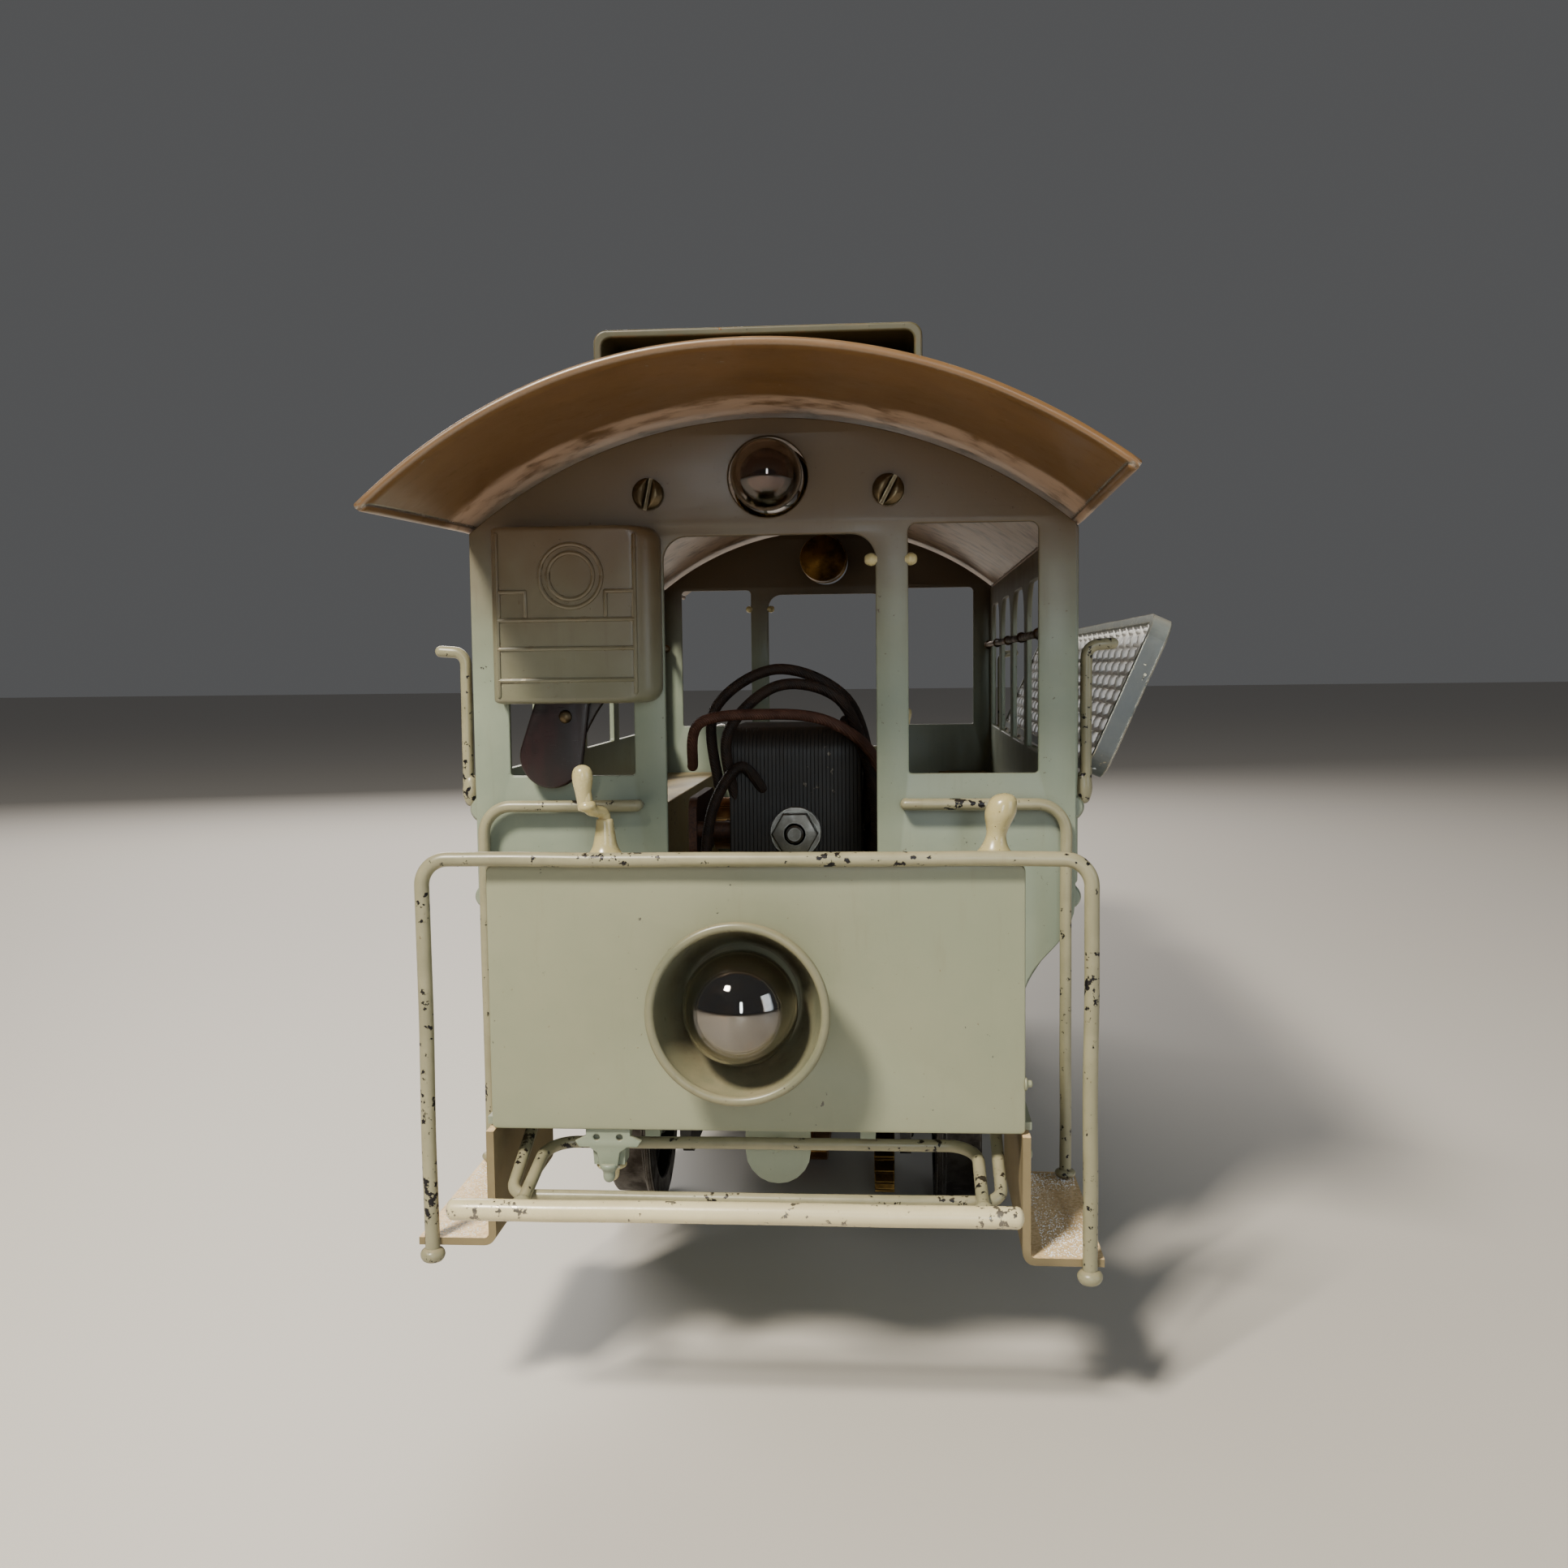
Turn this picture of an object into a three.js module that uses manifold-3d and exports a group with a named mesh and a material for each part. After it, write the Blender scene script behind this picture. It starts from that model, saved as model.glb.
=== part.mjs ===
// A model electric tram car: four wheels, a platform at each end, a closed saloon and an arched roof.
// Millimetres. +Z is up, the car runs along Y and its front looks along -Y.
// The origin is midway between the axles, on the plane of the rail tops.

import * as THREE from "three";
import { mergeVertices } from "three/addons/utils/BufferGeometryUtils.js";
import Module from "manifold-3d";

const wasm = await Module();
wasm.setup();

// Stock and clearances
const sheet = 1; // pressed sheet
const touch = 0.3; // between fixed pieces that meet
const running = 0.1; // radial, between a shaft and its hole
const pressed = 0.05; // radial, between a wheel or gear and its axle
const overrun = 1; // a cutter, past the face that it opens

// Saloon. A rise or drop is measured from the floor's top, except where a note says otherwise.
const bodyWidth = 88;
const bodyLength = 182.5;
const rockerFootRise = 8; // the side curves in between these two
const rockerTopRise = 24;
const rockerInset = 7.6;
const sillRise = 42.3;
const benchRise = 30;
const benchDepth = 14.5;

// Roof, an arc with its overhang twisted a little at the front
const roofCrown = 133.4;
const roofRadius = 71;
const roofEave = 1.3; // past the saloon's side
const roofOverhang = 45;
const roofTwist = 1.9; // degrees, at the front edge
const roofWallGap = 0.8;
const boardWidth = 40.3;
const boardRise = 4; // above the crown
const boardSetback = 13; // from the roof's edge
const boardShift = 1.5; // it sits off centre
const boardCorner = 1.6;
const boardLip = 12; // its sides end this far below the crown

// End walls
const doorWidth = 30.8;
const doorLintel = 8.3; // between the lamp's centre and the door's head
const doorCorner = 3.5;
const doorPost = 4.65; // between the door and each window
const cornerPost = 5.4; // between a window and the saloon's side
const windowLintel = 3.6; // under the wall's arc, at the window's outer corner
const endWindowCorner = 1.2;
const lampDrop = 10.2; // below the roof's crown
const lampRadius = 5.15;
const lampHoleGap = 0.6;
const lampReach = 7.5; // glass ahead of the wall
const lampLength = 20;
const lampSocketRadius = 6;
const lampSocketLength = 9;
const lampGrip = 3; // glass inside its socket

// Side windows
const sideWindows = 5;
const sidePost = 6;
const sideWindowLintel = 4.8; // under the top of the side
const sideWindowCorner = 7;

// Platforms
const platformLength = 30.9; // end wall to the dash's outer face
const dashInset = 0.6; // from the steps' risers
const dashRise = 33.1;
const dashDrop = 0.2; // its lower edge, below the floor plate
const dashCorner = 0.6;
const railRise = 0.9; // above the dash
const railInset = 1.85; // from the treads' outer edge
const railRadius = 0.95;
const railBend = 3.4;
const railFootRadius = 1.6;
const treadDrop = 16.8;
const treadFront = 31.9; // ahead of the end wall
const treadBack = 1;
const leftStepLift = 1.4; // the front left step is bent up
const stanchionInset = 1.6; // from the treads' outer edge
const stanchionLap = 0.45; // its inner end, past the window's inner edge
const stanchionRise = 38;
const stanchionOffset = 2;
const stanchionRadius = 0.85;
const stanchionBend = 4.2;
const hookInset = 2.5; // side hooks, from the end wall
const hookRise = 18.2; // above the sill
const hookDrop = 2.3; // its foot, below the sill
const hookReach = 6;
const hookRadius = 0.85;
const hookStandoff = 0.85; // between a hook's rod and the side
const hookBend = 2.6;
const hookFootRadius = 1.4;

// Headlight
const headlightRise = 16;
const headlightShift = -1.2;
const cupRimRadius = 11.35;
const cupBaseRadius = 8.4;
const cupFlare = 0.6; // of the rim, past the cone
const cupDepth = 9;
const cupWall = 0.8;
const globeRadius = 7.2;
const globeSetback = 4.2; // its centre, behind the rim
const neckRadius = 4.3;
const neckSink = 1.2; // the neck, inside its socket
const headlightSocketRadius = 5.6;
const headlightSocketLength = 10;
const headlightHoleGap = 0.6;

// Handles
const staffX = -19.2;
const staffInset = 2.9; // centre line, behind the dash's outer face
const staffRadius = 1.1;
const staffDrop = 8.6;
const staffRise = 6.5; // this rise and the next two are above the dash
const gripRise = 12.9;
const knobRise = 8.7;
const crankThrow = [-1.6, -2.8];
const gripRadius = 1.35;
const knobInset = 3.8; // from the dash's side
const knobLean = 1.4;
const knobRadius = 1.95;
const collarRadius = 2.6;
const collarHeight = 2.6;
const collarLift = 0.6; // above the dash
const bracketDepth = 5.2; // staff bracket under the platform
const bracketWidth = 5.6;
const bracketTipWidth = 4;

// Fender
const fenderShift = -2.2;
const fenderLap = 0.7; // its half length, past a riser
const fenderForward = 40; // ahead of the end wall
const fenderDrop = 8.6;
const fenderRadius = 1.35;
const hangerInset = 6.3; // from the risers
const hangerBack = 24;
const hangerDrop = 5;
const hangerRadius = 0.8;
const hangerBend = 4;
const rearBarForward = 35;
const rearBarInset = 3.8; // from the risers
const rearBarBack = 19;
const rearBarBend = 2.4;
const tabX = 2;
const tabForward = 20;
const tabRadius = 4.4;
const tabDrop = 7.4; // to the centre of its round end

// Switch on the front end wall
const caseLap = 1.1; // past the window's outer edge
const caseDoorGap = 0.2; // from the door's edge
const caseLift = 10.7; // its foot, above the sill
const caseCrown = 0.2; // its top, above the window
const caseDepth = 5;
const caseRound = 4; // on the door side
const caseEdge = 1.2; // on the other side
const leverShift = -0.95; // its pivot, from the case's middle
const leverRise = 6; // above the case's foot
const leverLength = 14;
const leverLean = 13; // degrees
const leverNeckRadius = 3.3;
const leverEndRadius = 4.7;
const leafThickness = 1.2;
const switchPinRadius = 1;

// Side guard, hinged along the right side
const guardHeight = 27.4;
const guardMargin = 5; // from each end of the saloon
const guardDepth = 3;
const guardRim = 1.4;
const guardLean = 24; // degrees
const guardCorner = 4;
const guardHingeDrop = 2.5; // below the sill
const guardPinRadius = 0.8;
const guardPinGap = 0.15; // radial, in its eyes
const knuckleRadius = 1.7;
const knuckleLength = 5;
const knuckleInset = 26.25; // of the outer eyes, from the guard's ends
const knuckleGap = 0.1; // from the side
const panelThickness = 0.7;

// Running gear
const wheelbase = 80;
const treadRadius = 15.5;
const flangeHeight = 1.8;
const flangeWidth = 2;
const wheelHeadroom = 4.2; // between the flanges and the floor
const wheelWidth = 8;
const wheelGauge = 49.2; // between the wheels' backs
const axleRadius = 2;
const axleOverhang = 1.2; // past the wheels
const frameGap = 4.1; // between a wheel's back and the frame
const framePlate = 2;
const frameOverhang = 10; // past each axle
const frameFootDrop = 6.5; // this drop and the next are below the axles
const crossbarDrop = 4.5;
const crossbarThickness = 2;
const crossbarWidth = 7;
const shoeSpacing = 28; // between its posts
const shoeLength = 56;
const shoeFlat = 44;
const shoeWidth = 9;
const shoeThickness = 1.5;
const shoeRise = 3.2; // at its ends
const shoePostRadius = 1.3;
const shoeHeadHeight = 1.4;

// Motor and gears
const gearModule = 1;
const pinionTeeth = 12;
const idlerTeeth = 36;
const axleGearTeeth = 28;
const gearWidth = 3.5;
const gearX = 14;
const gearRoom = 3; // around the idler, where the floor is open for it
const motorSetback = 18; // behind the front axle
const motorRise = 50.5; // above the axles
const fieldHalfWidth = 12;
const fieldLength = 34;
const fieldHeadroom = 19; // above the motor's centre
const armatureRadius = 10;
const airGap = 0.8;
const coreHalfLength = 9;
const commutatorRadius = 5;
const commutatorLength = 6;
const commutatorGap = 1.6; // from the core
const shaftRadius = 1.5;
const shaftOverhang = 0.8; // past the plates that carry it
const brushPlateInner = 18.5;
const brushPlateThickness = 1.5;
const brushTubeRadius = 1.2;
const nutSize = 7.3; // across flats
const nutHeight = 3;
const boltRadius = 2;
const boltSink = 4; // into the field

// Worked out from the sizes above
const halfWidth = bodyWidth / 2;
const halfLength = bodyLength / 2;
const axleHeight = treadRadius;
const axleY = wheelbase / 2;
const floorBottom = 2 * treadRadius + flangeHeight + wheelHeadroom;
const floorTop = floorBottom + sheet;
const rockerFoot = floorTop + rockerFootRise;
const rockerTop = floorTop + rockerTopRise;
const sillHeight = floorTop + sillRise;
const benchHeight = floorTop + benchRise;
const footHalfWidth = halfWidth - rockerInset;
const roofCentre = roofCrown - roofRadius;
const roofHalfWidth = halfWidth + roofEave;
const roofHalfLength = halfLength + roofOverhang;
const boardHeight = roofCrown + boardRise;
const wallArc = roofRadius - sheet - roofWallGap;
const arcHeight = (x) => roofCentre + Math.sqrt(wallArc ** 2 - x ** 2);
const sideTop = arcHeight(halfWidth);
const sideWindowTop = sideTop - sideWindowLintel;
const lampHeight = roofCrown - lampDrop;
const doorTop = lampHeight - doorLintel;
const endWindowInner = doorWidth / 2 + doorPost;
const endWindowOuter = halfWidth - cornerPost;
const endWindowTop = arcHeight(endWindowOuter) - windowLintel;
const dashY = -halfLength - platformLength;
const dashTop = floorTop + dashRise;
const riserX = footHalfWidth - sheet - 2 * touch;
const dashWidth = 2 * (riserX - dashInset);
const railY = dashY - touch - railRadius;
const railHeight = dashTop + railRise;
const treadHeight = floorTop - treadDrop;
const treadOuter = halfWidth;
const railHalfWidth = treadOuter - railInset;
const stanchionX = treadOuter - stanchionInset;
const stanchionInner = endWindowInner - stanchionLap;
const stanchionHeight = floorTop + stanchionRise;
const hookHeight = sillHeight + hookRise;
const hookFootHeight = sillHeight - hookDrop;
const headlightHeight = floorTop + headlightRise;
const staffY = dashY + staffInset;
const staffFoot = floorTop - staffDrop;
const staffTop = dashTop + staffRise;
const gripTop = dashTop + gripRise;
const knobX = dashWidth / 2 - knobInset;
const knobTop = dashTop + knobRise;
const fenderHalfLength = riserX + fenderLap;
const fenderHeight = floorTop - fenderDrop;
const hangerHalfWidth = riserX - hangerInset;
const hangerHeight = floorTop - hangerDrop;
const rearBarHalfWidth = riserX - rearBarInset;
const tabCentre = floorTop - tabDrop;
const caseLeft = -endWindowOuter - caseLap;
const caseRight = -doorWidth / 2 - caseDoorGap;
const caseFoot = sillHeight + caseLift;
const caseTop = endWindowTop + caseCrown;
const leverPivot = [(caseLeft + caseRight) / 2 + leverShift, caseFoot + leverRise];
const guardLength = bodyLength - 2 * guardMargin;
const guardHingeHeight = sillHeight - guardHingeDrop;
const hingeX = halfWidth + knuckleRadius + knuckleGap;
const knuckleSpacing = guardLength / 2 - knuckleInset;
const frameHalfWidth = wheelGauge / 2 - frameGap;
const frameHalfLength = axleY + frameOverhang;
const frameFoot = axleHeight - frameFootDrop;
const crossbarZ = axleHeight - crossbarDrop;
const motorY = motorSetback - axleY;
const motorZ = axleHeight + motorRise;
const fieldFront = motorY - fieldLength / 2;
const fieldTop = motorZ + fieldHeadroom;
const carSides = [
  ["left", -1],
  ["right", 1],
];

const paint = (color, roughness, metalness) =>
  new THREE.MeshStandardMaterial({ color, roughness, metalness });
const finishes = {
  sage: paint(0x8f9a92, 0.55, 0.1),
  cream: paint(0xb9b3a0, 0.5, 0.15),
  ivory: paint(0xd8cfae, 0.4, 0),
  sand: paint(0xc2ab84, 0.9, 0),
  olive: paint(0x4f4a3a, 0.6, 0.1),
  umber: paint(0x5e4a35, 0.6, 0.1),
  iron: paint(0x2b2724, 0.6, 0.6),
  steel: paint(0x9c9a96, 0.35, 0.9),
  brass: paint(0xa98a4e, 0.35, 0.9),
  bakelite: paint(0x2a0f12, 0.3, 0),
  glass: paint(0xcfd6d8, 0.05, 0.1),
  mesh: paint(0xa9a592, 0.5, 0.5),
};

// ---- solids ----

function solidOf(geometry) {
  const bare = new THREE.BufferGeometry().setAttribute("position", geometry.getAttribute("position").clone());
  bare.setIndex(geometry.index);
  const merged = mergeVertices(bare, 1e-4);
  const corners = merged.index.array;
  const kept = [];
  for (let i = 0; i < corners.length; i += 3) {
    const [a, b, c] = corners.slice(i, i + 3);
    if (a !== b && b !== c && c !== a) kept.push(a, b, c);
  }
  return new wasm.Manifold(
    new wasm.Mesh({
      numProp: 3,
      vertProperties: merged.attributes.position.array,
      triVerts: new Uint32Array(kept),
    }),
  );
}

const join = (first, ...others) => others.reduce((sum, next) => sum.add(next), first);
const cut = (first, ...others) => others.reduce((rest, next) => rest.subtract(next), first);

function geometryOf(solid) {
  const { numProp, numVert, vertProperties, triVerts } = solid.getMesh();
  const points = new Float32Array(numVert * 3);
  for (let i = 0; i < numVert; i++) points.set(vertProperties.subarray(i * numProp, i * numProp + 3), i * 3);
  const geometry = new THREE.BufferGeometry().setAttribute("position", new THREE.BufferAttribute(points, 3));
  geometry.setIndex(new THREE.BufferAttribute(triVerts, 1));
  geometry.computeVertexNormals();
  return geometry;
}

const moved = (geometry, x, y, z) => geometry.translate(x, y, z);
const box = (low, high) =>
  solidOf(
    moved(
      new THREE.BoxGeometry(high[0] - low[0], high[1] - low[1], high[2] - low[2]),
      ...low.map((value, i) => (value + high[i]) / 2),
    ),
  );

const extruded = (shape, depth, steps = 1, curveSegments = 6) =>
  new THREE.ExtrudeGeometry(shape, { depth, steps, curveSegments, bevelEnabled: false });

// A shape drawn in X and Z, spread along Y from y.
const acrossY = (shape, y, depth, steps, curveSegments) =>
  moved(extruded(shape, depth, steps, curveSegments).rotateX(Math.PI / 2), 0, y + depth, 0);

const cutAcrossY = (solid, shapes, y, depth) =>
  cut(solid, ...shapes.map((shape) => solidOf(acrossY(shape, y, depth, 1, 4))));

// A shape drawn in Y and Z, spread along X from x.
const yzToWorld = new THREE.Matrix4().makeBasis(
  new THREE.Vector3(0, 1, 0),
  new THREE.Vector3(0, 0, 1),
  new THREE.Vector3(1, 0, 0),
);
const acrossX = (shape, x, depth, curveSegments) =>
  moved(extruded(shape, depth, 1, curveSegments).applyMatrix4(yzToWorld), x, 0, 0);

const circle = (x, y, radius) => new THREE.Shape().absarc(x, y, radius, 0, 2 * Math.PI, false);

// A turned solid from [radius, height] pairs, bottom to top, about Z.
function turned(profile, segments = 16) {
  const points = profile.map(([radius, height]) => new THREE.Vector2(radius, height));
  return new THREE.LatheGeometry(points, segments).rotateX(Math.PI / 2);
}
const turnedAlongX = (profile, segments) => turned(profile, segments).rotateY(Math.PI / 2);
const turnedAlongY = (profile, segments) => turned(profile, segments).rotateX(-Math.PI / 2);
const rodAlongX = (radius, from, to, segments = 16) =>
  solidOf(turnedAlongX([[0, from], [radius, from], [radius, to], [0, to]], segments));
const rodAlongY = (radius, from, to, segments = 16) =>
  solidOf(turnedAlongY([[0, from], [radius, from], [radius, to], [0, to]], segments));
const rodAlongZ = (radius, from, to, segments = 16) =>
  solidOf(turned([[0, from], [radius, from], [radius, to], [0, to]], segments));
const placed = (solid, x, y, z) => solidOf(moved(geometryOf(solid), x, y, z));
const ball = (radius, [x, y, z], squash = [1, 1, 1]) =>
  solidOf(moved(new THREE.SphereGeometry(radius, 10, 7).scale(...squash), x, y, z));

// A wire bent at its corners: straight runs have a station at each end, and each bend has a few.
class BentWire extends THREE.Curve {
  constructor(corners, bend, bendSteps = 5) {
    super();
    const points = corners.map((corner) => new THREE.Vector3(...corner));
    this.stations = [];
    this.tangents = [];
    points.forEach((point, i) => {
      if (i === 0 || i === points.length - 1) {
        const from = points[i === 0 ? 0 : i - 1];
        const to = points[i === 0 ? 1 : i];
        this.addStation(point, to.clone().sub(from).normalize());
        return;
      }
      const into = point.clone().sub(points[i - 1]);
      const out = points[i + 1].clone().sub(point);
      const turn = into.angleTo(out);
      const spare = (leg, atEnd) => leg.length() * (atEnd ? 0.95 : 0.48);
      const room = Math.min(spare(into, i === 1), spare(out, i === points.length - 2));
      const reach = Math.min(bend * Math.tan(turn / 2), room);
      into.normalize();
      out.normalize();
      const start = point.clone().addScaledVector(into, -reach);
      const radius = reach / Math.tan(turn / 2);
      const side = out.clone().addScaledVector(into, -Math.cos(turn)).normalize();
      const centre = start.clone().addScaledVector(side, radius);
      for (let step = 0; step <= bendSteps; step++) {
        const angle = (turn * step) / bendSteps;
        const station = centre
          .clone()
          .addScaledVector(side, -radius * Math.cos(angle))
          .addScaledVector(into, radius * Math.sin(angle));
        const tangent = into.clone().multiplyScalar(Math.cos(angle)).addScaledVector(side, Math.sin(angle));
        this.addStation(station, tangent);
      }
    });
  }
  addStation(point, tangent) {
    this.stations.push(point);
    this.tangents.push(tangent);
  }
  get steps() {
    return this.stations.length - 1;
  }
  getPoint(t) {
    return this.stations[Math.round(t * this.steps)].clone();
  }
  getPointAt(t) {
    return this.getPoint(t);
  }
  getTangentAt(t) {
    return this.tangents[Math.round(t * this.steps)].clone();
  }
}

function wire(corners, radius, bend = 2, sides = 8, bendSteps = 5) {
  const path = new BentWire(corners, bend, bendSteps);
  const geometry = new THREE.ExtrudeGeometry(circle(0, 0, radius), {
    steps: path.steps,
    extrudePath: path,
    curveSegments: sides / 2,
    bevelEnabled: false,
  });
  return solidOf(geometry);
}

// A rectangle with its top corners rounded.
function archedOpening(left, right, foot, top, corner) {
  const shape = new THREE.Shape();
  shape.moveTo(left, foot);
  shape.lineTo(right, foot);
  shape.lineTo(right, top - corner);
  shape.absarc(right - corner, top - corner, corner, 0, Math.PI / 2, false);
  shape.lineTo(left + corner, top);
  shape.absarc(left + corner, top - corner, corner, Math.PI / 2, Math.PI, false);
  shape.lineTo(left, foot);
  return shape;
}

function roundedRectangle(left, right, foot, top, corner) {
  const shape = new THREE.Shape();
  shape.moveTo(left + corner, foot);
  shape.absarc(right - corner, foot + corner, corner, -Math.PI / 2, 0, false);
  shape.absarc(right - corner, top - corner, corner, 0, Math.PI / 2, false);
  shape.absarc(left + corner, top - corner, corner, Math.PI / 2, Math.PI, false);
  shape.absarc(left + corner, foot + corner, corner, Math.PI, 1.5 * Math.PI, false);
  return shape;
}

// ---- gear train ----

const tipShare = 0.85; // of the module, outside the pitch circle
const rootShare = 1.25; // of the module, inside it
const slotMargin = 1.2; // between the gears' sides and the opening in the floor
const pitchRadius = (teeth) => (gearModule * teeth) / 2;

// The idler sits where it meshes with both the pinion and the axle gear.
const pinionPlace = new THREE.Vector2(motorY, motorZ);
const axlePlace = new THREE.Vector2(-axleY, axleHeight);
const toPinion = pitchRadius(pinionTeeth) + pitchRadius(idlerTeeth);
const toAxle = pitchRadius(idlerTeeth) + pitchRadius(axleGearTeeth);
const between = axlePlace.clone().sub(pinionPlace);
const along = (toPinion ** 2 - toAxle ** 2 + between.lengthSq()) / (2 * between.length());
const aside = Math.sqrt(toPinion ** 2 - along ** 2);
const unit = between.clone().normalize();
const idlerPlace = pinionPlace
  .clone()
  .addScaledVector(unit, along)
  .addScaledVector(new THREE.Vector2(-unit.y, unit.x), aside);

// Teeth start in mesh: the idler has a tooth towards the pinion, and the others have a gap to meet it.
const idlerTooth = pinionPlace.clone().sub(idlerPlace).angle();
const pinionTooth = idlerTooth + Math.PI + Math.PI / pinionTeeth;
const towardsAxle = axlePlace.clone().sub(idlerPlace).angle();
const idlerPitch = (2 * Math.PI) / idlerTeeth;
const lead = Math.round((towardsAxle - idlerTooth) / idlerPitch) * idlerPitch + idlerTooth - towardsAxle;
const axleTooth = towardsAxle + Math.PI - (lead * idlerTeeth) / axleGearTeeth + Math.PI / axleGearTeeth;

// ---- shell ----

const car = new THREE.Group();

function add(group, name, solid, finish) {
  const mesh = new THREE.Mesh(geometryOf(solid), finish);
  mesh.name = name;
  group.add(mesh);
}

// The line of the rocker panel, from its foot up to the side, on the side given by sign.
function rockerUp(shape, x, sign) {
  const lower = x - sign * rockerInset;
  const rise = (rockerTop - rockerFoot) / 2;
  shape.lineTo(lower, rockerFoot);
  shape.bezierCurveTo(lower, rockerFoot + rise, x, rockerTop - rise, x, rockerTop);
}
function rockerDown(shape, x, sign) {
  const lower = x - sign * rockerInset;
  const rise = (rockerTop - rockerFoot) / 2;
  shape.lineTo(x, rockerTop);
  shape.bezierCurveTo(x, rockerTop - rise, lower, rockerFoot + rise, lower, rockerFoot);
}

function endWall() {
  const wallFoot = floorTop + touch;
  const shape = new THREE.Shape();
  shape.moveTo(-footHalfWidth, wallFoot);
  rockerUp(shape, -halfWidth, -1);
  shape.lineTo(-halfWidth, sideTop);
  const edge = Math.acos(halfWidth / wallArc);
  shape.absarc(0, roofCentre, wallArc, Math.PI - edge, edge, true);
  rockerDown(shape, halfWidth, 1);
  shape.lineTo(footHalfWidth, wallFoot);
  const openings = carSides.map(([, side]) => {
    const near = side * endWindowInner;
    const far = side * endWindowOuter;
    return archedOpening(Math.min(near, far), Math.max(near, far), sillHeight, endWindowTop, endWindowCorner);
  });
  openings.push(archedOpening(-doorWidth / 2, doorWidth / 2, wallFoot - sheet, doorTop, doorCorner));
  openings.push(circle(0, lampHeight, lampRadius + lampHoleGap));
  const wall = solidOf(acrossY(shape, -halfLength, sheet, 1, 8));
  return cutAcrossY(wall, openings, -halfLength - sheet, 3 * sheet);
}

const sideLength = bodyLength - 2 * (sheet + touch);
const sideWindowWidth = (sideLength - (sideWindows + 1) * sidePost) / sideWindows;

function sideWall(sign) {
  const outer = sign * halfWidth;
  const inner = outer - sign * sheet;
  const shape = new THREE.Shape();
  shape.moveTo(outer - sign * rockerInset, floorBottom);
  rockerUp(shape, outer, sign);
  shape.lineTo(outer, sideTop);
  shape.lineTo(inner, sideTop);
  rockerDown(shape, inner, sign);
  shape.lineTo(inner - sign * rockerInset, floorBottom);
  let wall = solidOf(acrossY(shape, -sideLength / 2, sideLength, 1, 5));
  for (let i = 0; i < sideWindows; i++) {
    const from = -sideLength / 2 + sidePost + i * (sideWindowWidth + sidePost);
    const opening = archedOpening(from, from + sideWindowWidth, sillHeight, sideWindowTop, sideWindowCorner);
    wall = cut(wall, solidOf(acrossX(opening, outer - 2 * sheet, 4 * sheet, 4)));
  }
  return wall;
}

// The right side carries the guard's hinge eyes.
function rightSideWall() {
  let wall = sideWall(1);
  for (const y of [-knuckleSpacing, 0, knuckleSpacing]) {
    const from = y - knuckleLength / 2;
    const to = y + knuckleLength / 2;
    const eye = placed(rodAlongY(knuckleRadius, from, to, 12), hingeX, 0, guardHingeHeight);
    const neck = box(
      [halfWidth - sheet / 2, from, guardHingeHeight - sheet],
      [hingeX, to, guardHingeHeight + sheet],
    );
    wall = join(wall, eye, neck);
  }
  const reach = knuckleSpacing + knuckleLength;
  const bore = rodAlongY(guardPinRadius + guardPinGap, -reach, reach, 12);
  return cut(wall, placed(bore, hingeX, 0, guardHingeHeight));
}

// The roof's section, and its twist ahead of the front wall.
function roofSection(outerRadius, innerRadius, halfAngle) {
  const shape = new THREE.Shape();
  const from = Math.PI / 2 + halfAngle;
  const to = Math.PI / 2 - halfAngle;
  shape.absarc(0, roofCentre, outerRadius, from, to, true);
  if (innerRadius > 0) shape.absarc(0, roofCentre, innerRadius, to, from, false);
  else shape.lineTo(0, roofCentre);
  shape.closePath();
  return shape;
}

function twistFront(geometry) {
  const position = geometry.getAttribute("position");
  const pivot = new THREE.Vector2(0, roofCrown);
  for (let i = 0; i < position.count; i++) {
    const ahead = THREE.MathUtils.clamp((-position.getY(i) - halfLength) / roofOverhang, 0, 1);
    const point = new THREE.Vector2(position.getX(i), position.getZ(i));
    point.rotateAround(pivot, THREE.MathUtils.degToRad(roofTwist) * ahead);
    position.setX(i, point.x);
    position.setZ(i, point.y);
  }
  return geometry;
}

const roofHalfAngle = Math.asin(roofHalfWidth / roofRadius);
const roofSteps = 6;
const roofArcSteps = 10;

function roof() {
  const section = roofSection(roofRadius, roofRadius - sheet, roofHalfAngle);
  return solidOf(twistFront(acrossY(section, -roofHalfLength, 2 * roofHalfLength, roofSteps, roofArcSteps)));
}

function roofBoard() {
  const front = -roofHalfLength + boardSetback;
  const left = boardShift - boardWidth / 2;
  const right = boardShift + boardWidth / 2;
  const low = roofCentre;
  const outer = acrossY(
    archedOpening(left, right, low, boardHeight, boardCorner),
    front,
    -2 * front,
    1,
    3,
  );
  const inner = acrossY(
    archedOpening(left + sheet, right - sheet, low - sheet, boardHeight - sheet, boardCorner - sheet / 2),
    front - sheet,
    -2 * (front - sheet),
    1,
    3,
  );
  const under = roofSection(roofRadius + touch, 0, Math.PI / 4);
  const cutter = twistFront(
    acrossY(under, -roofHalfLength - sheet, 2 * (roofHalfLength + sheet), 2 * roofSteps, roofArcSteps + 3),
  );
  const skirt = box(
    [left - sheet, front - sheet, low - 2 * sheet],
    [right + sheet, sheet - front, roofCrown - boardLip],
  );
  return cut(solidOf(outer), solidOf(inner), solidOf(cutter), skirt);
}

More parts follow.
